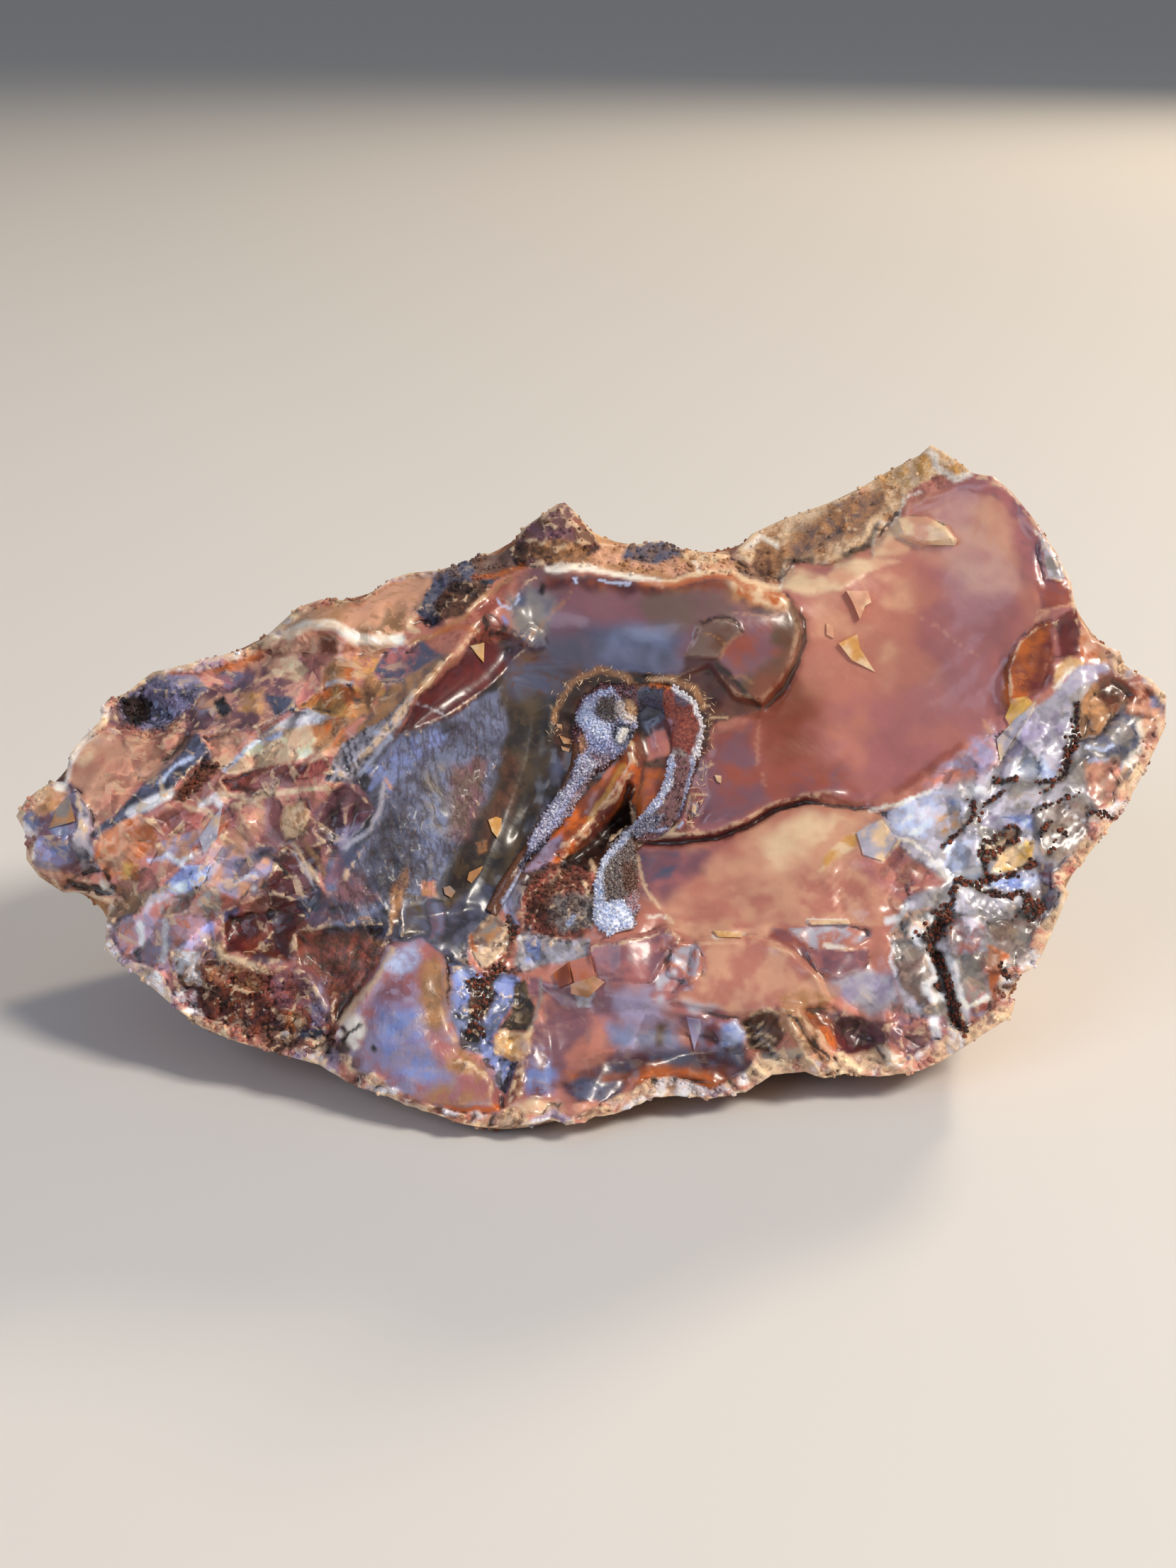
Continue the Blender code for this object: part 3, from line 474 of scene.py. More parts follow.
# Where the break is splintered: outline, flake size, stretch, direction in degrees, height.
FLAKE_FIELDS = {
    "left splinters": (
        [
            (-79, -15), (-77, -6), (-68, 1), (-60, 8), (-50, 9), (-41, 3), (-37, -4), (-40, -12), (-38, -21),
            (-46, -24), (-50, -28), (-60, -29), (-70, -31), (-78, -24),
        ],
        4.6, 2.2, 41, 0.55,
    ),
    "left slivers": (
        [(-80, -15), (-78, 0), (-62, 12), (-44, 12), (-38, 2), (-40, -20), (-52, -28), (-66, -34), (-78, -24)],
        1.6, 3.4, 44, 0.16,
    ),
    "stained ledge": (
        [(-76, 6), (-74, 15), (-56, 21), (-44, 24), (-27, 24), (-30, 14), (-42, 3), (-60, 4)], 2.3, 1.5, 35, 0.22,
    ),
    "end lobe": ([(-89, -6), (-84, 0), (-78, -2), (-75, -10), (-79, -16), (-87, -13)], 2.6, 1.1, 20, 0.3),
    "rusty foot": (
        [(-66, -29), (-50, -28), (-43, -30), (-38, -40), (-44, -44), (-60, -39), (-72, -29)], 1.5, 1.0, 0, 0.6,
    ),
    "sugary middle": (
        [
            (-9, -12), (0, -12), (3, -16), (2, -25), (-4, -27), (-9, -30), (-12, -47), (-21, -45), (-22, -28),
            (-12, -20),
        ],
        1.7, 1.4, 60, 0.5,
    ),
    "milky cracks": (
        [
            (45, -5), (54, 1), (62, 7), (76, 18), (86, 16), (90, 8), (82, -8), (74, -18), (70, -29), (60, -40),
            (50, -39), (46, -28), (47, -20), (43, -11),
        ],
        3.6, 1.5, -52, 0.35,
    ),
    "milky slivers": ([(45, -5), (62, 8), (84, 18), (90, 8), (74, -20), (60, -40), (48, -36)], 1.3, 1.8, 48, 0.16),
    "lower plates": (
        [(-9, -26), (6, -30), (16, -36), (26, -41), (36, -48), (20, -51), (0, -54), (-12, -48)], 5.0, 1.7, 14, 0.12,
    ),
    "foot plates": ([(38, -34), (50, -30), (60, -40), (50, -47), (36, -47), (31, -38)], 3.0, 1.3, -30, 0.45),
}

# %% Ripples and wrinkles
# Arcs about a centre: centre, spacing, height and the outline that holds them.
RIPPLES = {
    "shell chip": ((-14.5, 26.5), 0.62, 0.10, [(-10.6, 23.2), (-9, 24.8), (-7, 23.6), (-6.8, 21.4), (-8.5, 21.4)]),
    "fan": ((-36.5, 8.5), 0.85, 0.10, [(-34, 2), (-30, 6), (-22, 9), (-20, 5), (-26, 1), (-31, -3)]),
    "foot shell": ((20, -31), 1.05, 0.22, [(24, -37), (27, -35), (30, -36), (32, -40), (30, -43), (26, -42)]),
    "shelf shell": ((33, -11), 1.15, 0.06, [(33, -14), (38, -13), (44, -16), (43, -20), (37, -21), (33, -18)]),
    "salmon rings": ((30, 48), 3.6, 0.02, [(40, 30), (50, 33), (66, 20), (60, 6), (46, 0), (36, 12)]),
    "right dome rings": ((92, 3), 0.9, 0.08, [(75.5, 6), (76.5, 13), (80, 15.5), (83, 9)]),
    "lobe rings": ((-37, -38), 1.6, 0.02, [(-33, -29), (-24, -28), (-22, -46), (-36, -46)]),
}


def wall_wrinkles(points):
    """The wrinkled slate wall, which looks like skin on cooled milk."""
    drift = np.column_stack([smooth_noise(points, 4.0, 81), smooth_noise(points, 4.0, 82)])
    bent = turned(points, -62, 2.3) + 1.1 * drift
    ridges = 1 - np.abs(smooth_noise(bent, 1.5, 83)) * 2
    fine = 1 - np.abs(smooth_noise(bent, 0.7, 84)) * 2
    return 0.30 * ridges + 0.12 * fine


WALL = [
    (-29, 8), (-22, 10), (-19, 12.5), (-14, 14.5), (-12.5, 17), (-12.5, 8), (-14, 0), (-17, -6), (-21, -12),
    (-25, -17), (-32, -19), (-37, -23), (-42, -22), (-40, -17), (-37, -11), (-34, -8), (-32, -3), (-31, 0),
    (-33, 3),
]
WALL_FOOT = [(-44, -21), (-38, -22), (-31, -20), (-31, -26), (-38, -35), (-44, -28)]

# %% Loose plates and cracks
# Small plates that lie proud of the break: outline, height, and how fast they rise to the right and upwards.
PLATES = {
    "edge wedge": ([(71, 39), (73.5, 34.5), (74.5, 31.5), (71.5, 32), (70.6, 36)], 0.7, -0.05, 0.03),
    "right facet": (
        [(70, 24.5), (74, 26), (73, 21), (70.6, 15), (66, 11.5), (65.5, 18), (67, 22)], 0.7, -0.1, 0.04,
    ),
    "horn": (
        [(15.4, 20), (17.6, 25), (20.4, 26), (23.4, 25.2), (24.2, 24), (21.4, 21.2), (20, 19.6)], 0.5, -0.06, 0.02,
    ),
    "cream shell": (
        [(-18, -24), (-15, -20.4), (-12.4, -22.6), (-13, -26), (-16, -29), (-17.6, -27)], 0.8, 0.05, -0.05,
    ),
    "shell chip": ([(-10.6, 23.2), (-9, 24.8), (-7, 23.8), (-6.6, 21.6), (-8.2, 21), (-10, 22)], 0.5, 0.05, 0.1),
    "beige plate": (
        [(-47.4, -3), (-44.2, -2.4), (-43.4, -5), (-44.8, -8), (-47.2, -8.6), (-48, -6)], 0.9, -0.05, 0.05,
    ),
    "blue sheet": ([(-66, -16), (-63, -13), (-59.5, -12.4), (-60, -15), (-63, -17.6)], 0.6, 0.1, -0.05),
    "mauve facet": (
        [(0, -25), (8, -24), (13, -22.4), (14.6, -24), (11.4, -28), (10, -31), (2, -30.6), (0.4, -28)], 0.7, 0.05,
        0.06,
    ),
    "pink facet": ([(13.4, -24.6), (17, -25), (18.4, -28), (16.4, -31), (12.6, -30)], 0.6, -0.1, 0.05),
    "mauve lens": ([(34, -26), (39, -25), (44, -26), (43, -29), (39, -30.5), (36, -29)], 0.7, 0.02, -0.08),
    "blue facet": ([(19.6, -37.4), (23, -36.8), (25.4, -39.6), (24, -42), (20.6, -41)], 0.7, 0.04, 0.08),
}

# Grooves in the break: path, depth and half width.
CRACKS = {
    "dark vein": (
        [(56.5, -20), (55, -22), (54, -24), (54.5, -27), (56, -30), (57, -34), (58, -38), (59, -41)], 0.45, 0.5,
    ),
    "upper vein": (
        [(56.8, -19), (56.5, -16), (57.5, -15), (60, -15.5), (62, -17), (66, -17.5), (69, -17.3)], 0.35, 0.4,
    ),
    "window vein": ([(76.3, 12.5), (76.5, 8), (75.5, 5), (74, 1)], 0.6, 0.4),
    "ladder vein": ([(61, -11), (62.5, -13.5), (62.5, -16)], 0.5, 0.4),
    "fork vein": ([(62, -15), (66, -14), (70, -12)], 0.5, 0.35),
    "step foot": (
        [(7, -8.6), (13, -9), (20, -8.3), (25, -6.4), (29, -4), (34, -2.4), (40, -3), (46, -5)], 0.9, 0.7,
    ),
    "blade foot": ([(9, 3), (7.6, -2), (7.2, -6), (3.6, -9.6), (-2, -13.4), (-6, -16)], 1.0, 0.7),
    "dome foot": ([(30.6, 29), (33.8, 25.6), (33.9, 22), (32.6, 18.4), (30.6, 15), (27.8, 12)], 0.5, 0.5),
    "fold crack": ([(32.4, -37), (35.4, -40.6), (39, -44.6)], 0.9, 0.5),
    "left crack": ([(-61, -10), (-59, -8.6), (-56.5, -6.5)], 0.7, 0.4),
    "lobe crack": ([(-81, -15.6), (-77, -16), (-74, -18)], 1.2, 0.9),
    "block edge": ([(-27, 25), (-22, 25.4), (-18, 28.8), (-14, 31.6), (-9, 33)], 0.9, 0.7),
    "peak foot": ([(22, 35), (27, 33), (30, 31.6), (32, 34.6), (38, 34.4), (45, 38), (48.6, 42.4)], 1.1, 0.8),
    "lower lobe edge": ([(-31, -25), (-36, -32), (-39.6, -37), (-40, -42)], 1.0, 0.9),
    "lobe seam": ([(-22, -27), (-21.6, -35), (-19.6, -42), (-14.4, -45), (-13.6, -50)], 0.8, 0.7),
    "ridge foot": ([(-20.5, 19), (-26, 13.4), (-29, 9), (-33, 4.4), (-36, 1)], 0.7, 0.7),
}

# Porous rock and earth: outline, pore size and depth.
POROUS = {
    "matrix block": (
        [(-27, 27), (-24, 31), (-22.5, 34.5), (-18, 36), (-12, 34), (-16, 30.4), (-20, 27), (-25, 24.5)], 1.5, 1.3,
    ),
    "matrix knob": (
        [(-12, 34), (-11, 40), (-7, 43), (-4, 45), (0, 42), (2, 36.6), (-2, 34.4), (-8, 33.6)], 2.4, 1.1,
    ),
    "top ridge": ([(-2, 34.2), (1, 38), (12, 39), (22, 36), (29, 31.4), (24, 33), (10, 32.8)], 1.8, 0.9),
    "peak rock": ([(23, 35), (30, 42), (53, 54), (61, 49), (49, 43), (45, 37), (33, 34.6), (30, 31)], 2.2, 0.7),
    "stained pit": ([(-74, 12), (-69, 16), (-61, 15), (-63, 9), (-69, 6.6), (-73, 8.5)], 1.2, 0.9),
    "brown streak": ([(-65, -2), (-60, 3.6), (-57, 3.4), (-60, 0), (-63, -2.4)], 1.0, 0.8),
    "rusty foot": ([(-64, -30), (-58, -27), (-50, -29), (-44, -30), (-39, -40), (-46, -43), (-62, -38)], 1.7, 0.8),
    "blue lumps": ([(-21, -29), (-12, -29), (-10, -34), (-11, -46), (-14, -48), (-20, -41)], 1.6, 0.7),
    "red tissue": ([(-7, -12), (0, -13), (1, -20), (-3, -25), (-10, -23), (-10, -16)], 1.3, 0.6),
    "cavity floor": ([(7, 1), (7.4, -6), (2, -12), (-4, -14), (-5, -11), (0, -7), (4, -3)], 1.2, 0.8),
    "right pits": ([(62, -7), (70, -8), (72, -24), (66, -22), (60, -14)], 1.5, 0.6),
}

# %% [markdown]
# ## The rind
# Where the break meets the skin, a rind two or three millimetres thick shows in section: cream and pink, crumbled
# and a little fluted. Its mask is one minus the distance to the outline, over a width that wanders, and it is wanted
# only round the foot and the ends, because along the top the skin turns away behind the edge.

# %% Rind
RINDED_SIDE = [
    (-92, -16), (-92, 2), (-86, 0), (-80, -4), (-70, -20), (-62, -30), (-44, -38), (-34, -44), (-10, -50),
    (12, -44),
    (34, -38), (48, -40), (60, -34), (66, -24), (70, -14), (78, -4), (84, 10), (80, 26), (92, 24), (92, -60),
    (-92, -60),
]
OUTLINE_CENTRE = (0.0, -3.0)
FLUTED_RADIUS = 55
UPPER_RIND = [(-92, -4), (-80, -1), (-74, 8), (-56, 18), (-44, 25), (-40, 24.4), (-27, 24), (-20, 40), (-92, 40)]


def flutes(points, size, seed):
    """Noise drawn out from the middle of the face, as the rind is fluted."""
    away = points - OUTLINE_CENTRE
    around = np.arctan2(away[:, 1], away[:, 0]) * FLUTED_RADIUS
    return smooth_noise(np.column_stack([around, np.hypot(*away.T) / 5]), size, seed)


def rind_mask(points):
    """1 on the rind and 0 on the break."""
    depth = depth_inside(points, OUTLINE)
    foot = rising((-points[:, 1] - 30) / 12)
    width = 2.0 + 1.3 * foot + 1.2 * smooth_noise(points, 6.0, 41) + 0.8 * flutes(points, 1.6, 42)
    foot = rising((width - depth) / 0.5) * area(points, RINDED_SIDE, 3)
    top = rising((width * 0.6 - depth) / 0.5) * area(points, UPPER_RIND, 3)
    return np.maximum(foot, top)

# %% [markdown]
# ## The flakes of the break, one by one
# Iron paints chalcedony: red and salmon where it is rusted fine, brown and orange where it is coarse, and blue-grey
# where the stone holds none and only scatters light. Every flake lost from the break left a facet that leans its own
# way and cuts through other colours. So each facet has one row, used for its form as well as its paint: two colours,
# the size of the patches in which they mix, how soft its edge is, and its outline. Small lines and spots follow.

# %% The colours of the stone
NAMED_COLOURS = {
    "ivory": "fff3e2", "white": "f4f3f8", "cream": "edcba4", "peach": "d9a183", "salmon": "c27c6a", "rose": "b06d6b",
    "mauve": "835963", "lilac": "a296b2", "periwinkle": "8494ce", "ice": "c3cff0", "milk": "b9b4c0",
    "blue grey": "7880a0", "slate": "575970", "dark slate": "33333f", "grey": "8d8580", "grey brown": "785f57",
    "smoke": "2b2626", "black": "15100f", "dark brown": "36211b", "brown": "68422f", "earth": "8c6748",
    "tan": "b48156", "ochre": "d69d55", "yellow": "e6b55c", "orange": "c1652b", "bright orange": "d86a20",
    "rust": "86422a", "brick": "9c5142", "dark red": "6d2b29", "maroon": "4f272d", "olive": "574632",
}


def linear(hexes):
    """A colour given as six hex digits, as linear light."""
    parts = np.array([int(hexes[k : k + 2], 16) for k in (0, 2, 4)]) / 255
    return np.where(parts <= 0.04045, parts / 12.92, ((parts + 0.055) / 1.055) ** 2.4)


COLOURS = {name: linear(hexes) for name, hexes in NAMED_COLOURS.items()}
FIELDS = []
MARKS = []


def region(degrees, stretch, tilt, rows):
    """Adds fields whose patches run in one direction, and whose facets lean by up to tilt."""
    FIELDS.extend((degrees, stretch, tilt, *row) for row in rows)


# %% [markdown]
# ### The left end
# Here the stone was cracked before it broke, so slivers of every colour lie side by side, all drawn out in one
# direction. The patches are stretched along it too. A mark has a colour, a half width, a share of cover and a path,
# and a path of one place is a spot.

# %% Left end
region(34, 1.5, 1.0, [
    ("salmon", "rose", 3.0, 1.0, [(-92, 2), (-70, 18), (-40, 24), (-36, 0), (-38, -46), (-92, -40)]),
    ("mauve", "blue grey", 1.8, 0.8, [(-90, -4), (-84, 1), (-79, -1), (-77, -6), (-78, -12), (-82, -17),
        (-88, -14)]),
    ("slate", "milk", 1.1, 0.5, [(-80.4, -0.6), (-78, -3), (-78, -8), (-76, -14), (-79, -14), (-80.6, -9),
        (-80, -6)]),
    ("periwinkle", "mauve", 1.8, 0.8, [(-86, -8), (-81, -8), (-80.4, -12), (-84, -13.2), (-87, -11)]),
    ("peach", "tan", 2.0, 0.7, [(-88.6, -3.2), (-84, 0), (-81.5, -1.2), (-83, -4), (-86, -5)]),
    ("ivory", "peach", 0.9, 0.4, [(-88.6, -9.6), (-86.6, -9.6), (-86.6, -12), (-88.2, -12.8)]),
    ("brick", "peach", 1.2, 0.6, [(-87.6, -12.6), (-83, -13.2), (-79, -14.4), (-81, -17.2), (-86, -15.4)]),
    ("dark brown", "black", 1.2, 0.5, [(-81.6, -15.2), (-76, -15.4), (-73, -17), (-74.4, -18.8), (-79, -17.2)]),
    ("salmon", "peach", 3.5, 0.8, [
        (-81.4, 0.4), (-80.4, 5), (-76.5, 9), (-73, 7.5), (-70.4, 4), (-70, 0.5), (-72, -2), (-75, -5.4), (-77, -7),
        (-78, -4), (-79.6, -1),
    ]),
    ("peach", "cream", 2.0, 1.2, [(-80.8, 3.6), (-76.5, 8.6), (-74.6, 7), (-75.6, 5), (-79, 2.8)]),
    ("mauve", "grey brown", 2.0, 0.5, [(-76, 9.6), (-74.8, 13.6), (-72, 10.4), (-72.4, 8.2)]),
    ("lilac", "slate", 1.3, 0.6, [
        (-73.8, 13.8), (-71, 14.8), (-69, 16.8), (-66, 17.4), (-61, 16.6), (-59.6, 15), (-61.6, 11.6), (-65, 9),
        (-69, 7.6), (-73, 10),
    ]),
    ("dark brown", "black", 1.0, 0.7, [(-73.4, 13.2), (-70, 14.2), (-68, 12.4), (-68.6, 9.6), (-71, 8.8),
        (-72.8, 10.4)]),
    ("salmon", "peach", 2.5, 0.5, [
        (-72.4, 7.6), (-68, 8.2), (-63.6, 8), (-62, 7), (-65, 3.4), (-68.4, 0.6), (-70.6, 0.4), (-71.6, 3),
    ]),
    ("peach", "mauve", 2.4, 0.5, [
        (-66.4, 9), (-62, 12), (-58, 17), (-50, 21), (-45, 21), (-44, 16), (-46, 12), (-52, 8.6), (-60, 7.2),
    ]),
    ("peach", "rust", 2.2, 0.8, [
        (-62, 17.6), (-56, 20), (-50, 22.6), (-46, 24), (-38, 22.6), (-30, 22), (-32, 19.6), (-38, 20.4),
        (-45, 20.4),
        (-50, 19.4), (-57, 17),
    ]),
    ("cream", "peach", 1.4, 0.4, [(-50.4, 18.6), (-46, 20.2), (-43.8, 18), (-45.6, 15.8), (-49, 17)]),
    ("peach", "ochre", 1.4, 0.8, [(-54, 14), (-50.6, 14.4), (-50.8, 11.2), (-54.6, 11.2)]),
    ("mauve", "lilac", 1.6, 0.8, [(-61, 11.6), (-58.5, 12), (-57.8, 9.4), (-60.8, 9.4)]),
    ("slate", "dark slate", 1.6, 0.4, [(-50.4, 14), (-46, 13.6), (-45, 11.4), (-49, 10.8)]),
    ("mauve", "slate", 1.6, 0.5, [(-57.4, 17.6), (-52, 17.8), (-53, 15), (-57, 14.4)]),
    ("black", "dark slate", 1.6, 0.35, [(-58.4, 13), (-56.8, 14.2), (-55.4, 11.4), (-57, 10.2), (-58.2, 11.2)]),
    ("rose", "ochre", 1.3, 0.6, [(-37, 20), (-31, 20.8), (-31.6, 14), (-36.6, 13.4)]),
])
region(41, 2.6, 1.0, [
    ("dark slate", "slate", 0.9, 0.5, [
        (-78, -8), (-74, -4.6), (-70, -0.6), (-64, 5.6), (-61, 8), (-59, 5), (-62, 2), (-66, -2), (-70, -5.4),
        (-75, -10.4),
    ]),
    ("brown", "rust", 0.7, 0.4, [(-65.8, -2.6), (-61, 2.4), (-58.4, 4.2), (-56.8, 3), (-60, -0.2), (-63, -3)]),
    ("salmon", "peach", 2.0, 0.6, [(-60.4, 7.2), (-56, 8.4), (-51.6, 7.4), (-56, 1.6), (-58.2, 3.6)]),
    ("peach", "cream", 2.4, 0.6, [
        (-56.8, 1.4), (-53, 6.2), (-48, 9.2), (-43, 10), (-39.6, 10.2), (-39.8, 7.4), (-43, 4.6), (-49, 3),
        (-53, 1.8),
    ]),
    ("orange", "tan", 2.0, 0.8, [(-43.6, 9.4), (-38.4, 10.6), (-37.4, 6), (-41.6, 5)]),
    ("milk", "white", 0.7, 0.6, [(-51.6, 7.4), (-46, 10.8), (-42, 12.2), (-39.4, 11.4), (-42, 9.4), (-47, 8.6)]),
    ("dark red", "brick", 1.6, 0.5, [(-57.4, 0.4), (-52, 2.2), (-46, 3.2), (-40.6, 4.4), (-39.6, 2), (-44, 0.6),
        (-50, -0.8), (-56, -1.2)]),
    ("tan", "brown", 1.4, 0.8, [(-42, 4), (-38, 9), (-34.4, 11), (-31.6, 16), (-34, 18), (-36.6, 13), (-39.6, 9),
        (-43, 6)]),
    ("orange", "tan", 2.4, 0.35, [(-41.6, 14), (-41, 18), (-39.6, 20), (-37.6, 20), (-36.7, 18), (-37, 13)]),
    ("orange", "ochre", 2.4, 0.4, [(-45.4, 12.2), (-41.4, 15), (-37, 16), (-35.2, 13), (-36, 10.6), (-40, 10.6)]),
    ("grey brown", "tan", 1.4, 0.4, [(-37, 13.8), (-34.6, 12.8), (-34, 11), (-36.4, 10)]),
    ("peach", "orange", 1.8, 0.6, [(-76.4, -8), (-70, -4.6), (-66, -6), (-68, -10), (-71, -13), (-75, -15),
        (-77, -12)]),
    ("yellow", "orange", 1.2, 0.8, [(-73, -12.2), (-70, -12.8), (-70.4, -15.2), (-73.2, -15)]),
    ("brick", "rose", 1.0, 0.4, [(-68.6, -5), (-62, -3.4), (-58.6, -5), (-63, -8.2), (-67.4, -8)]),
    ("peach", "lilac", 1.0, 0.5, [(-68, -9), (-60, -7), (-57, -9), (-62, -12.4), (-67, -12.4)]),
    ("rose", "peach", 2.6, 0.6, [(-58.6, -1.8), (-48, -2), (-46.4, -4), (-47.2, -9), (-52, -10.8), (-58, -9.4),
        (-60.4, -6)]),
    ("peach", "lilac", 1.6, 0.6, [(-59, -9.6), (-50, -9.8), (-46.6, -14), (-52, -17.4), (-58, -18), (-62, -15)]),
    ("periwinkle", "ice", 1.0, 0.5, [(-66.4, -16.4), (-63.4, -12.8), (-59, -12.4), (-59.8, -15), (-63.2, -18)]),
    ("brick", "grey", 1.0, 0.6, [(-67, -18), (-59, -15.8), (-54, -18.4), (-58, -21), (-67, -20.4)]),
    ("rust", "tan", 1.2, 0.6, [(-75, -15.6), (-71, -16.6), (-70.2, -20), (-73.4, -24.4), (-75.2, -20)]),
    ("grey", "tan", 1.2, 0.4, [(-70.4, -17.4), (-65, -15.4), (-68, -18.8), (-73.2, -19.4)]),
    ("salmon", "lilac", 0.9, 0.7, [(-76, -23), (-71, -20), (-66, -21), (-59, -20), (-58, -27), (-64, -29),
        (-73, -29)]),
    ("maroon", "dark red", 2.4, 0.5, [(-48, -10), (-42, -10), (-41, -16), (-44, -21), (-50, -19), (-50, -14)]),
    ("rust", "dark red", 3.0, 0.5, [(-56.8, -20.6), (-50, -19.6), (-45, -18.2), (-43.6, -20.4), (-46, -25),
        (-47, -28), (-52, -27.2), (-56.8, -26)]),
    ("dark red", "maroon", 2.0, 2.0, [(-50.4, -21), (-45, -18.6), (-44, -20.4), (-46.4, -25), (-47, -27.6),
        (-50, -26)]),
])
region(38, 1.0, 1.0, [
    ("rust", "maroon", 1.1, 0.6, [
        (-61, -28.2), (-58, -27.4), (-50, -30), (-44, -30.6), (-40, -38), (-43, -44), (-55, -42), (-64, -39),
        (-66, -33),
    ]),
    ("white", "tan", 0.8, 0.5, [(-64.6, -25.6), (-60.6, -26.2), (-60.4, -31.6), (-64, -30.6)]),
    ("white", "rose", 0.8, 0.5, [(-64.2, -32), (-61.4, -32), (-61, -36), (-64.8, -36)]),
    ("brick", "tan", 1.6, 0.8, [(-60.4, -28.4), (-54, -28.4), (-50, -31), (-52, -32.6), (-58, -31)]),
    ("rust", "dark brown", 0.8, 0.8, [(-60.6, -31), (-54, -31), (-53, -34.4), (-60, -35.4)]),
    ("orange", "cream", 0.8, 0.4, [(-48, -36.2), (-45, -35.4), (-44.2, -37.4), (-46.4, -39.8)]),
    ("black", "brown", 0.8, 0.6, [(-51, -37), (-46.4, -38.8), (-47, -41), (-51, -41.6)]),
    ("dark slate", "slate", 1.0, 0.6, [(-45.6, -38.4), (-41, -38), (-39.4, -42), (-42, -44.4), (-46, -41.6)]),
    ("brown", "brick", 1.4, 1.8, [
        (-47, -24), (-44, -20.4), (-38, -22), (-30.4, -20.6), (-30.2, -26), (-34, -32), (-38, -38), (-40.4, -40.4),
        (-41.4, -33), (-45.4, -29),
    ]),
    ("mauve", "brick", 1.6, 1.0, [(-50, -30), (-44, -28), (-41, -31), (-41, -37), (-45, -36), (-50, -34)]),
    ("lilac", "mauve", 1.4, 0.7, [(-43.8, -31.4), (-41, -31), (-40.6, -37), (-43.2, -38)]),
    ("slate", "mauve", 1.6, 0.8, [(-46.4, -18), (-42, -15.6), (-39.6, -20), (-43, -22.4)]),
    ("tan", "brown", 1.0, 0.5, [(-34.4, -22.4), (-31, -21.8), (-31, -25), (-33.4, -25.8)]),
    ("rust", "dark brown", 1.4, 0.6, [(-40.4, -32.6), (-36, -31.4), (-34.6, -33), (-38, -38.2), (-40.2, -40.4)]),
])
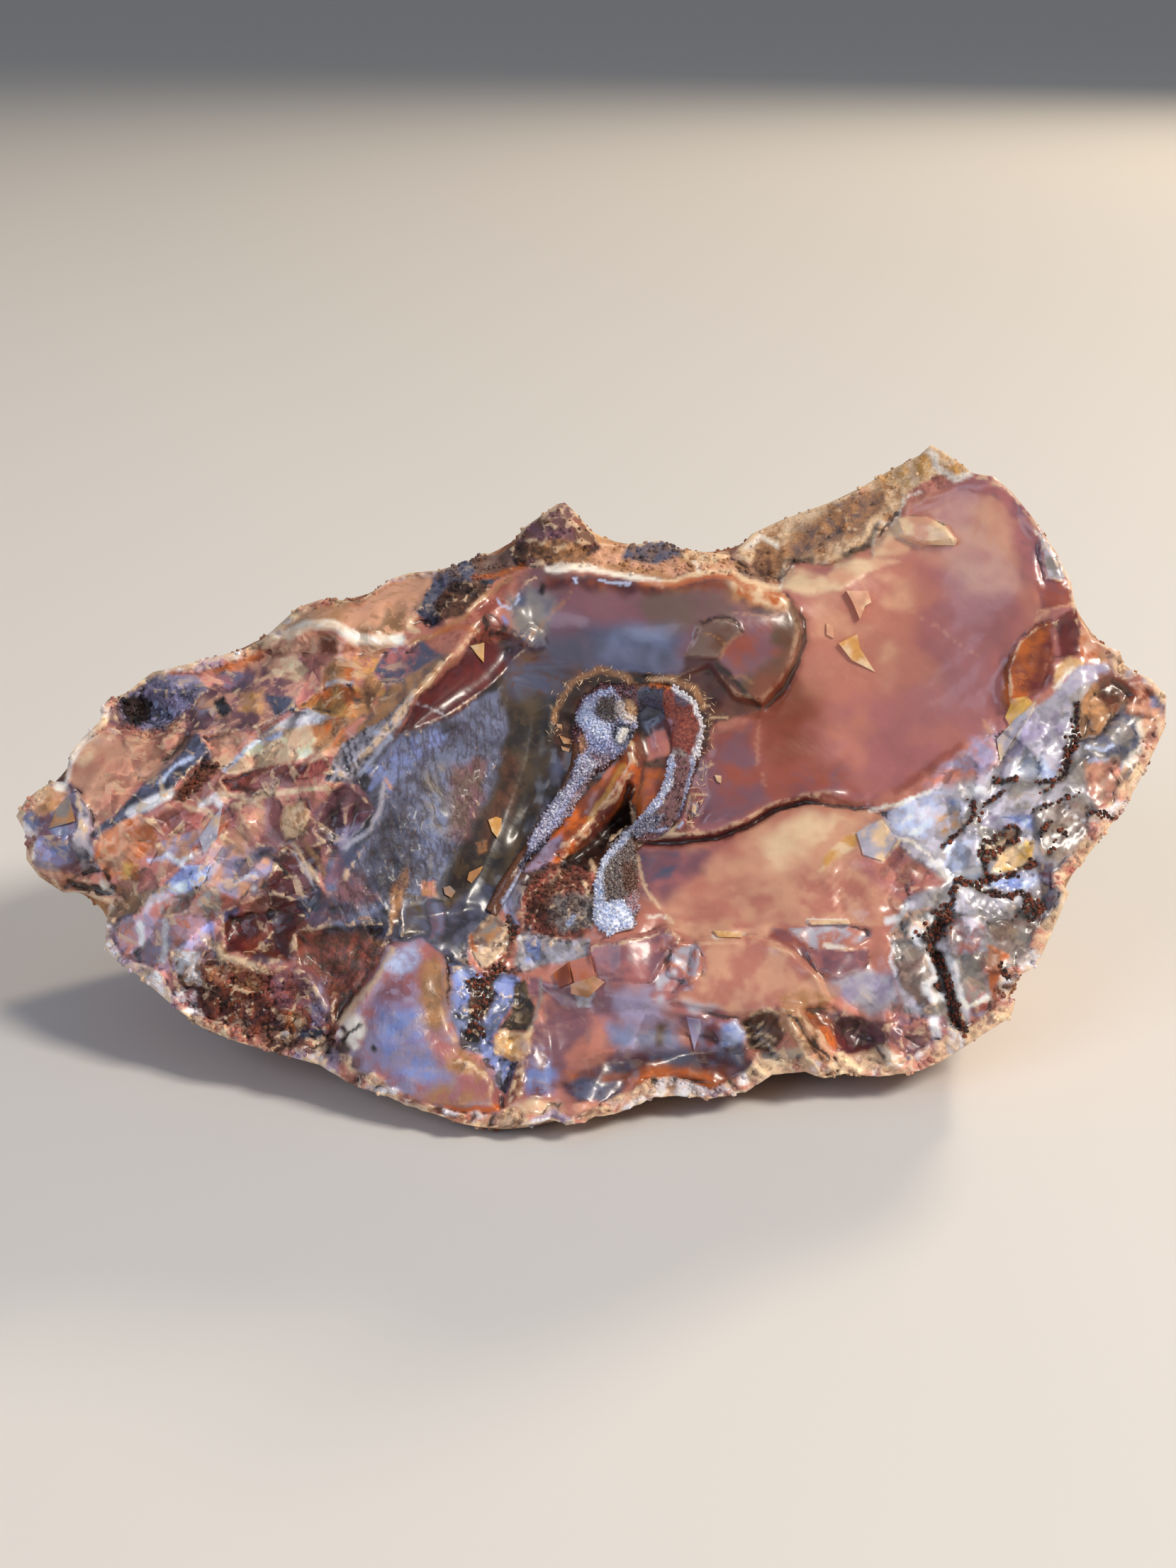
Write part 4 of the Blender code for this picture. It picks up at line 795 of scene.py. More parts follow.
MARKS += [
    ("ivory", 0.9, 1, [(-82.5, -0.2), (-81.4, 3.4), (-79.6, 6.6), (-76.4, 9.8), (-76.4, 12), (-74.4, 13.4)]),
    ("cream", 0.5, 1, [(-72.4, 14.6), (-69.6, 16.4), (-67.6, 17.7), (-62, 18.8), (-57, 20), (-52, 22),
        (-48.4, 25.2)]),
    ("orange", 0.7, 0.7, [(-65, 18), (-60, 17.8), (-55, 18.6), (-51, 21)]),
    # Ice spots in the stained pit: painted glints.
    ("ice", 0.45, 1, [(-67.8, 12.4)]), ("ice", 0.3, 1, [(-66.6, 11)]), ("ice", 0.3, 1, [(-65.4, 11.6)]),
    ("peach", 0.3, 0.7, [(-72, 4), (-71.4, 1.4), (-70, 0.4), (-68, 1.2), (-65.6, 3.2), (-62.6, 6.8)]),
    # The slate stroke and the thin ice one over it: painted blue sheen across the slate band.
    ("slate", 0.9, 0.9, [(-68.6, -0.4), (-65.6, 2), (-62.4, 4.6), (-59.6, 4.2)]),
    ("ice", 0.35, 0.9, [(-67, 0.4), (-64.8, 2.6), (-62, 4.2)]),
    ("white", 0.8, 1, [(-71.4, -4.6), (-68.4, -2.8), (-65.4, -1.4)]),
    ("black", 0.4, 0.9, [(-66.6, 3.6), (-64.4, 5.4), (-62.4, 7.4)]),
    ("milk", 0.35, 1, [(-40.6, 15.4), (-38.6, 16.1), (-37, 16)]),
    ("peach", 0.25, 0.8, [(-41.6, 14.4), (-41.2, 18), (-39.6, 20), (-37.6, 20), (-36.7, 18)]),
    ("ice", 0.35, 1, [(-57, 2), (-54.4, 4.2), (-52, 6.6), (-48, 7.8)]),
    ("peach", 0.4, 0.9, [(-44.6, 3.2), (-42, 4.4), (-39, 5.6)]),
    ("cream", 0.35, 0.9, [(-58, -1.6), (-53, -2.4), (-47, -1.2), (-41, -0.4)]),
    ("dark brown", 0.5, 0.9, [(-55, -0.2), (-52, -1.4), (-49.6, -1.4)]),
    # Ivory along the pale crest: a painted highlight.
    ("ivory", 0.75, 1, [(-47, 23.4), (-44, 24.8), (-41, 25), (-38.6, 24), (-36, 22.6), (-29, 22.7)]),
    ("cream", 0.5, 0.8, [(-50.6, 21.6), (-47, 23.4), (-44, 24)]),
    ("white", 0.6, 0.9, [(-60.4, -3.2), (-58.2, -2), (-57.4, -3.4)]),
    ("cream", 0.4, 0.8, [(-63, -3.4), (-60, -4.2), (-58, -5.6)]),
    ("rust", 0.5, 1, [(-61.6, -10), (-59.4, -8.6), (-56.4, -6.4)]),
    ("lilac", 0.5, 0.8, [(-56.4, -15.2), (-53.4, -14.6), (-49.6, -12.8)]),
    ("ice", 0.25, 0.9, [(-55, -15.2), (-52, -14)]), ("slate", 0.5, 0.8, [(-55, -12.4), (-52, -11.6), (-49, -10.4)]),
    ("ice", 0.35, 0.8, [(-68.6, -12), (-66, -11.4), (-63.4, -13)]), ("white", 0.45, 1, [(-52.2, -16.2)]),
    ("white", 0.4, 1, [(-66, -11), (-64, -12.2), (-62, -11.2)]),
    ("milk", 0.6, 0.8, [(-69.4, -20), (-68, -18.2), (-66, -17.4)]),
    ("milk", 0.3, 0.9, [(-59, -14), (-57.4, -10.4)]), ("tan", 0.35, 0.9, [(-57, -26.6), (-57.6, -24.4)]),
    ("cream", 0.5, 1, [(-58.2, -25), (-57.6, -27), (-54, -27.8), (-50, -29.2)]),
    ("slate", 0.5, 0.6, [(-52, -27.2), (-48, -28)]),
    ("lilac", 0.6, 0.8, [(-69, -20.6), (-68.6, -24), (-68.8, -28)]),
    ("white", 0.45, 0.9, [(-66.4, -21.4), (-66, -25), (-66.6, -27.4)]),
    ("ivory", 0.7, 1, [(-75.4, -15.4), (-74.4, -18.6), (-75.2, -21.6)]),
    ("white", 0.5, 1, [(-70, -21.6), (-70, -25)]),
    ("cream", 0.5, 1, [(-76, -25.6), (-73.6, -28.2), (-71, -29.6), (-69.6, -31.4)]),
    ("periwinkle", 0.7, 0.9, [(-60.4, -24), (-59, -22)]), ("periwinkle", 0.5, 0.8, [(-57, -21), (-55.4, -19.6)]),
    ("black", 0.4, 0.9, [(-71, -26), (-70, -28)]),
]
print(len(FIELDS), "fields,", len(MARKS), "marks")

# %% [markdown]
# ### The ridge, the wall and the smoky valley
# A main crest runs down from the top. Left of it lie a cushion of skin and a block of dark rock; right of it the
# break drops over a maroon lens and a slate-blue wall into a valley of nearly black, smoky stone.

# %% Ridge, wall and valley
region(48, 1.6, 0.6, [
    ("peach", "tan", 4.0, 0.6, [
        (-51, 22.4), (-48.4, 26), (-45.4, 28), (-41.6, 29.4), (-35.7, 29), (-30.7, 32.6), (-23.4, 34), (-23, 31),
        (-26.4, 27), (-28.6, 23.4), (-36, 23), (-42, 25.4), (-47, 24.2),
    ]),
    ("earth", "peach", 2.0, 1.0, [(-33, 27), (-29, 29), (-26, 28.6), (-27, 25), (-30, 23.4), (-36, 24)]),
    ("dark slate", "slate", 1.4, 0.5, [
        (-27.2, 27), (-24.6, 31), (-23.2, 34.6), (-18, 36), (-14, 36), (-12, 33), (-16, 31), (-20, 27), (-25, 24.4),
    ]),
    ("dark brown", "brown", 0.9, 0.6, [(-24, 28), (-22, 31.8), (-17, 31.8), (-15.4, 30.6), (-20, 26.4),
        (-23, 25.4)]),
    ("slate", "grey brown", 0.9, 0.6, [(-23.2, 34), (-18.4, 35), (-18.6, 32.6), (-22.4, 31.8)]),
    ("grey brown", "brown", 1.2, 0.6, [(-18, 36.4), (-12, 37), (-9, 34), (-14, 32.2), (-18, 32.6)]),
    ("brick", "salmon", 2.6, 0.5, [
        (-12, 32.2), (-8.6, 33.4), (-8, 32.2), (-13, 28), (-16, 26), (-19, 22), (-22, 20), (-29, 20.2), (-24.6, 23),
        (-20, 25.8), (-15, 30),
    ]),
    ("rose", "slate", 2.6, 0.7, [(-33.4, 17.6), (-31, 21.6), (-26, 22.6), (-22.6, 20), (-25.6, 17), (-31, 14.4)]),
])
region(47, 4.5, 0.6, [
    ("grey brown", "tan", 0.9, 0.5, [(-31.6, 14.6), (-25, 19), (-21, 20.8), (-24, 16.4), (-28, 12.2), (-32, 9),
        (-37, 6.6), (-34.4, 10.8)]),
    ("dark slate", "milk", 0.5, 0.4, [
        (-41.4, 0.6), (-38.4, 6), (-33.4, 9.2), (-29.4, 12.6), (-26.8, 15.4), (-27.6, 12), (-30.6, 7), (-33.6, 3),
        (-37.6, 0.2),
    ]),
])
region(-62, 2.2, 0.6, [
    ("smoke", "slate", 5.0, 1.5, [
        (-42, -24), (-40, -2), (-29, 9), (-19, 13), (-13, 19), (-2, 19), (-2, 4), (-8, -13), (-14, -20), (-20, -28),
        (-36, -23),
    ]),
    ("slate", "blue grey", 3.0, 0.9, WALL),
    ("grey", "blue grey", 1.6, 2.5, [(-27, 2), (-22, 3), (-20.4, -2), (-22, -7), (-26, -6)]),
    ("mauve", "grey brown", 2.2, 2.0, [(-21, 3), (-15.6, 3.4), (-15.6, -3), (-18.6, -10), (-21.4, -7)]),
    ("mauve", "slate", 1.2, 1.6, [(-40.6, -12), (-37, -9), (-33, -17.6), (-38, -21.6), (-42.4, -22.2)]),
    ("slate", "dark slate", 1.8, 1.2, [(-31, -3), (-27, -6), (-26, -16), (-32, -18), (-35, -12)]),
])
region(38, 1.0, 0.6, [
    ("blue grey", "periwinkle", 1.2, 1.4,
        [(-33.4, 2), (-30, 6.6), (-22.6, 8.8), (-22, 6.6), (-27, 3.4), (-31, -1.4)]),
    ("maroon", "dark red", 3.5, 0.4, [
        (-20.4, 19), (-17.6, 24.4), (-16, 26.6), (-12, 24.6), (-8, 22.2), (-11.5, 19.4), (-15, 15.4), (-19, 12.2),
        (-22, 10.2), (-29.4, 8), (-26.2, 14),
    ]),
    ("dark brown", "brick", 0.8, 0.5, [(-18, 23.6), (-16, 26.6), (-12, 24.4), (-11, 22.6), (-15, 22),
        (-18.4, 22.4)]),
    ("slate", "mauve", 2.0, 1.2, [(-12.4, 23), (-9, 22.8), (-8, 20.6), (-12, 18.6), (-14, 19.6)]),
    ("blue grey", "slate", 1.0, 0.3, [(-10.6, 23.2), (-9, 24.8), (-7, 23.8), (-6.6, 21.4), (-7.4, 20.8),
        (-10, 22.2)]),
    ("maroon", "mauve", 3.0, 0.4, [(-40, -0.4), (-35.8, 0), (-33.2, -4), (-35.4, -6), (-38.6, -10.6), (-42, -9.6),
        (-43, -4.6)]),
    ("slate", "lilac", 1.4, 0.9, [(-37.4, -6.2), (-35, -5.8), (-38.6, -10.6), (-40.8, -8.4)]),
    ("tan", "cream", 0.9, 0.4, [(-47.4, -3), (-44.2, -2.4), (-43.2, -5), (-44.8, -8.2), (-47.2, -8.8), (-48, -6)]),
    ("smoke", "olive", 5.0, 2.4, [
        (-12.6, 17), (-10, 20), (-4, 18.6), (-5.4, 14), (-4.8, 5), (-7.8, -6), (-10.4, -13), (-13.6, -18),
        (-19, -25),
        (-22.4, -24), (-24.6, -18), (-21.4, -12), (-17, -5), (-13.6, 3),
    ]),
    ("dark brown", "brown", 2.5, 2.0, [(-16.4, -4), (-13.4, 0.6), (-12.8, 6), (-10.6, 2), (-12, -6), (-16.4, -10)]),
    ("dark slate", "slate", 1.8, 1.2, [(-22.4, -20), (-17, -15), (-14, -16), (-13.6, -19.6), (-19, -26),
        (-22.8, -26)]),
    ("olive", "slate", 1.5, 0.5, [(-29.6, -17), (-25.8, -17.6), (-25, -23), (-29.4, -24)]),
    ("slate", "mauve", 1.5, 0.4, [(-25, -18.4), (-22.8, -18.4), (-22, -23), (-24.6, -24.6)]),
    ("tan", "brown", 1.0, 0.5, [(-30.8, -16), (-28.6, -12.8), (-28, -15), (-29.2, -20), (-30.8, -24)]),
    ("tan", "brown", 0.8, 0.4, [(-17.8, -9), (-16, -8.6), (-15.8, -10.6), (-17.2, -11)]),
    ("salmon", "tan", 0.8, 0.4, [(-26.4, -15.2), (-24, -15.4), (-23.6, -17.6), (-26, -17.4)]),
])
MARKS += [
    ("tan", 0.4, 0.8, [(-27, 22), (-23, 24), (-19, 26.6), (-15.6, 30), (-12, 32.2)]),
    ("orange", 0.7, 0.6, [(-47.4, 26.2), (-43, 28.8), (-36, 28.2)]),
    ("orange", 0.7, 0.5, [(-33, 31), (-28, 33), (-24, 33.6)]),
    ("orange", 0.5, 0.6, [(-24, 24), (-20, 24.6), (-18, 24)]),
    ("cream", 0.4, 0.9, [(-27.6, 25.4), (-27.8, 24), (-27, 23.6)]),
    ("milk", 0.15, 0.8, [(-27, 12.8), (-24.5, 11.8), (-22, 10.5)]), ("tan", 0.2, 0.8, [(-22, 18.4), (-20.4, 19.6)]),
    ("ice", 0.35, 0.8, [(-30.8, 7.4), (-32.6, 5.2), (-35, 2.4), (-36, 1.4)]),
    ("ice", 0.3, 0.9, [(-33, 8.2), (-30.8, 7.6)]),
    ("periwinkle", 0.5, 0.7, [(-34.6, 2.6), (-33, 0.6), (-34, -0.6)]),
    ("milk", 0.35, 0.8, [(-32, 0), (-32.2, -3), (-34, -7), (-38, -10)]),
    ("peach", 0.3, 0.9, [(-31.6, 0.6), (-30.8, -0.8)]),
    ("dark slate", 0.5, 0.8, [(-22.2, 10.4), (-22.8, 8.2), (-20.8, 9.6)]),
    ("cream", 0.35, 0.9, [(-46, -9.4), (-44, -12.6), (-41.6, -15.4)]),
    ("tan", 0.3, 0.9, [(-44.8, -8.8), (-43, -11), (-41.2, -14)]),
    ("milk", 0.25, 0.8, [(-46.2, -11), (-44, -13.6), (-42.4, -16.4)]),
    ("salmon", 0.3, 0.9, [(-42, -14), (-41, -17)]),
    ("ice", 0.2, 0.8, [(-14.2, 29), (-13.6, 27.8), (-12.2, 27.4), (-11, 28.4), (-10.8, 29.8)]),
    ("black", 0.4, 0.95, [(-7, 31), (-7.3, 29.8)]), ("periwinkle", 0.3, 0.8, [(-13.6, 26), (-12.6, 25.2)]),
    ("black", 0.3, 0.8, [(-25.6, -12), (-24.8, -14.4), (-26, -15)]),
    ("grey", 0.3, 0.7, [(-24.6, -11), (-24.4, -14)]),
    ("blue grey", 0.5, 0.7, [(-23.8, -19), (-23, -21.4), (-23.4, -23)]),
    ("tan", 0.3, 0.8, [(-35.6, -21.2), (-34.4, -21)]),
]
print(len(FIELDS), "fields,", len(MARKS), "marks")

# %% [markdown]
# ### The dome, the hollow and its blade
# In the middle stands a dark round plate with a crisp edge, and below it opens the hollow: a ring of beads, a glassy
# orange blade and a brown, crumbling floor. The quartz crust itself is a piece of its own and comes later.

# %% Dome and hollow
region(80, 1.8, 0.4, [
    ("slate", "mauve", 8.0, 0.35, STEPS["dark dome"][0]),
    ("mauve", "grey brown", 7.0, 6.0, [(-8, 33), (26, 33), (22, 24), (-6, 24)]),
    ("brown", "slate", 4.0, 4.0, [(-12, 21), (-3, 21), (-1, 17), (-4, 13), (-12, 14)]),
    ("slate", "blue grey", 6.0, 4.5, [(0, 24), (14, 24), (16, 18), (8, 15), (0, 18)]),
    ("slate", "grey", 3.0, 3.0, [(-12.5, 29), (-9, 31), (-5, 29), (-7, 24), (-11, 23)]),
    ("olive", "brown", 5.0, 5.0, [(27, 11), (33, 15), (37, 20), (37, 26), (32, 29), (28, 26), (27, 20), (24, 15)]),
    ("mauve", "brick", 3.0, 3.0, [(20.6, 21), (25, 25), (29.4, 26.4), (30, 21), (26, 17), (22.6, 18)]),
    ("tan", "brown", 2.5, 2.6, [(11, 30), (20, 30), (26, 26.8), (30, 27), (31.6, 29.2), (26, 31.4), (14, 31.6)]),
    ("maroon", "rust", 2.0, 1.8, [(-5.4, 32.6), (0, 32.4), (6, 31.8), (12, 31), (18, 32.2), (23.4, 31.8),
        (22, 30.6), (12, 29.8), (0, 30.4), (-6.4, 31)]),
    ("orange", "cream", 1.2, 1.6, [(22, 32.4), (26, 31), (31, 29.8), (30.4, 27), (26, 28), (23.4, 30)]),
    ("maroon", "brown", 2.4, 0.8, [(13.8, 16.4), (15.4, 20), (20, 19.6), (22.4, 17), (27, 12), (26.4, 8.8), (20, 8),
        (17.8, 13)]),
    ("grey brown", "brown", 3.0, 0.8, [(15.4, 20), (17.6, 25), (20.4, 26), (23.4, 25.2), (24.2, 24), (21.4, 21.2),
        (20, 19.6)]),
])
region(38, 1.0, 0.4, [
    ("brown", "dark brown", 0.9, 0.8, [
        (-5.4, 6), (-5.4, 12), (-3, 16.2), (1.6, 18.2), (6, 17.4), (9, 17.6), (14.6, 17), (18, 14.4), (19.4, 9),
        (18.8, 2), (17, -6), (12, -9), (6, -9), (6, -12), (0, -14), (-6, -14), (-11, -18), (-13, -15), (-7, -5),
        (-3.4, 2),
    ]),
    ("bright orange", "rust", 2.6, 0.4, [
        (6.6, 6), (8.4, 4), (7.2, -0.5), (4.8, -4), (1.8, -7.6), (-1.2, -10.4), (-4.8, -12.2), (-8.4, -13.4),
        (-5.6, -8), (-3.2, -4.6), (0.8, -0.6), (4, 3.2),
    ]),
    ("lilac", "mauve", 1.5, 0.7, [(-10, -14), (-6.8, -9.4), (-4.2, -7.6), (-4, -10.2), (-7, -13.2)]),
    ("rust", "brown", 1.5, 0.8, [(4.8, 6.6), (8, 7.6), (9.4, 4), (8.2, 2)]),
    ("black", "dark brown", 0.8, 0.5, [
        (8.4, 1), (8, -1), (6.8, -3), (7, -6), (4, -8.2), (2, -11.4), (-2, -13.2), (-6, -13.6), (-2, -11),
        (1.8, -7.6), (5, -3.8),
    ]),
    ("dark red", "maroon", 1.6, 0.6, [(9.6, 9), (11.8, 12), (13, 14.4), (16, 13.2), (17.4, 9), (16.4, 4), (14.8, 0),
        (12.8, 2), (11, 5)]),
    ("salmon", "rose", 1.4, 0.6, [(9, 7.4), (12.4, 8.4), (13.4, 4.6), (9.4, 3.6)]),
    ("brick", "orange", 1.2, 0.5, [(7.8, 2.4), (12.6, 2.6), (12, -1), (10, -4), (8, -6), (7.2, -3)]),
    ("slate", "dark slate", 1.2, 0.5, [(7.2, 14.8), (11.8, 15), (11.8, 9.6), (9, 7.8), (7.6, 10.6)]),
    ("dark red", "brown", 0.8, 0.7, [(7, -8), (11, -8), (16, -7.4), (20, -8), (19, -9), (7.6, -10.2)]),
    ("brown", "rose", 0.7, 1.2, [(15.6, 0), (18.4, 4), (20.4, 6), (20, 0), (18.4, -6), (14, -8), (14.6, -4)]),
    ("brown", "brick", 0.9, 0.7, [(-6, -13), (-1, -13.2), (1.4, -15), (1.6, -20), (-1, -24.2), (-6, -24.8),
        (-10.4, -22), (-9.4, -16.4)]),
    ("grey", "grey brown", 1.2, 1.2, [(-5.4, -17.6), (0.8, -17), (0.8, -22), (-4, -23.2), (-6, -21)]),
    ("grey brown", "slate", 1.2, 0.6, [(-12.4, -15.6), (-9.4, -14.6), (-8.8, -17), (-11.6, -22)]),
    ("cream", "grey brown", 1.2, 0.35, [(-18.6, -24), (-15.2, -20), (-12, -22.4), (-12.6, -26), (-16, -29.4),
        (-18, -27)]),
    ("grey", "tan", 1.0, 0.5, [(-17.4, -23.4), (-15.2, -21), (-13.4, -23), (-15.4, -24.6)]),
    ("brown", "brick", 0.7, 0.5, [(-9.6, -15.8), (-7.4, -17), (-12.4, -27), (-17, -32.4), (-17.6, -29.6),
        (-13, -26.2)]),
    ("slate", "dark slate", 1.2, 0.6, [(-22.4, -25), (-19.4, -23), (-18.4, -27), (-19.4, -29.8), (-22.4, -28.4)]),
    ("milk", "grey", 1.0, 0.7, [(-10.4, -23.2), (-2, -24.4), (0.2, -24), (-0.4, -27.6), (-6, -28), (-10, -29.4),
        (-12, -28)]),
    ("blue grey", "periwinkle", 1.0, 0.9, [(-9.6, -25), (-7, -24.4), (-7.2, -27.4), (-9.8, -27.8)]),
])
MARKS += [
    ("tan", 0.55, 0.9, [(-5.2, 10), (-4.6, 13), (-2.4, 16), (1.6, 17.9), (5.2, 17.2), (7.2, 15.4)]),
    ("dark brown", 0.7, 0.9, [(-3.8, 10.4), (-3, 13.6), (0.4, 16.2), (3.6, 16.2), (6.4, 14.4)]),
    ("tan", 0.5, 0.9, [(9.8, 16.4), (13, 16.6), (16.4, 15), (18.2, 12)]),
    ("cream", 0.3, 0.9, [(10, 16.2), (11.6, 16.8), (13.6, 16.2)]),
    ("black", 0.4, 0.9, [(7.6, 16.2), (9.4, 17.2)]),
    ("black", 0.35, 0.9, [(20.2, 18.6), (22, 17), (24, 15.4), (26.8, 12)]),
    ("ivory", 0.5, 1, [(-6, 33.6), (-2, 33.6), (2, 33.4), (7, 32.5), (12, 31.5)]),
    ("cream", 0.45, 1, [(12, 31.5), (15, 32), (18, 33.1), (23, 32.7), (26, 31.2), (30, 30.4)]),
    ("orange", 0.4, 0.8, [(8, 31.6), (14, 31.2), (18, 32.3), (23, 32), (26, 30.4)]),
    ("ice", 0.2, 0.9, [(2, 31.8), (4, 31.4), (6.4, 31.6)]), ("ice", 0.2, 0.9, [(-2, 31.8), (-1.6, 31.2)]),

    ("tan", 0.2, 0.5, [(15.2, 20), (17.6, 25), (18.6, 25.6)]),
    ("tan", 0.2, 0.5, [(24.2, 24), (21.4, 21.2), (20.2, 19.4)]),
    ("tan", 0.15, 0.5, [(18.2, 23.5), (19.6, 23.3), (20.8, 22.4), (21.3, 21.6)]),
    ("dark brown", 0.25, 0.9, [(17.8, 25.2), (20.4, 26), (23, 25.4), (24.2, 24)]),
    ("peach", 0.2, 0.4, [(22.6, 26.8), (25, 26.6), (28, 25.8), (31, 27.4)]),
    ("tan", 0.25, 0.4, [(22, 16.8), (24.4, 17), (26, 15.6)]),
    ("olive", 0.3, 0.7, [(30.6, 15.4), (32.8, 19.4), (33.5, 23.4), (32.6, 27.4)]),
    ("tan", 0.2, 0.6, [(-2.6, 30), (-8, 24), (-10, 22)]),
    ("yellow", 0.4, 0.6, [(5.6, 3), (3, -1.6), (0, -6)]),
    ("dark red", 0.5, 0.7, [(6.6, 1.6), (4, -3.4), (0.4, -8)]),
    ("orange", 0.6, 1, [(8.6, 0), (7.6, -3), (8.4, -5.6)]), ("cream", 0.35, 0.8, [(6.6, -4.6), (7.2, -6.4)]),
    ("ice", 0.3, 0.9, [(10, -7.6), (12.4, -7.2)]), ("ice", 0.25, 0.9, [(14.2, -6.8), (15, -6)]),
    ("ice", 0.2, 0.8, [(16.6, -4.4), (17, -3.2)]),
    ("cream", 0.15, 0.8, [(18.4, 10), (21.6, 10.4)]), ("cream", 0.15, 0.8, [(17.6, 12), (19.6, 12.4)]),
    ("cream", 0.15, 0.8, [(17.2, 2.2), (19.6, 3)]), ("cream", 0.15, 0.8, [(16.4, -1.4), (18.4, -1.6)]),
    ("cream", 0.15, 0.8, [(16, -6), (17.6, -7.6)]), ("cream", 0.15, 0.7, [(-5.4, 12), (-6.2, 12.2)]),
    ("blue grey", 0.7, 0.9, [(-12.8, -16.6), (-12.6, -19), (-11.6, -22.4)]),
    ("ice", 0.25, 0.9, [(-13.2, -17.4), (-12.8, -20)]),
    ("orange", 0.35, 0.9, [(-18.2, -24), (-17.4, -26)]), ("white", 0.4, 1, [(-10.6, -24.4)]),
    ("white", 0.3, 1, [(-9, -23)]),
    ("cream", 0.4, 0.9, [(0.4, -12.2), (2, -14.6)]), ("cream", 0.25, 0.8, [(7.6, -11), (9, -16), (11, -19)]),
    ("cream", 0.25, 0.8, [(-0.6, -15.6), (0.8, -18)]), ("ice", 0.35, 0.8, [(-3, -21.6), (-2.4, -20.6)]),
]
print(len(FIELDS), "fields,", len(MARKS), "marks")

# %% [markdown]
# ### The foot
# Below the middle the flakes are large and waxy: a lavender lobe at the left, a peach plate at the right, and between
# them a band that glows orange where the stone is thin.

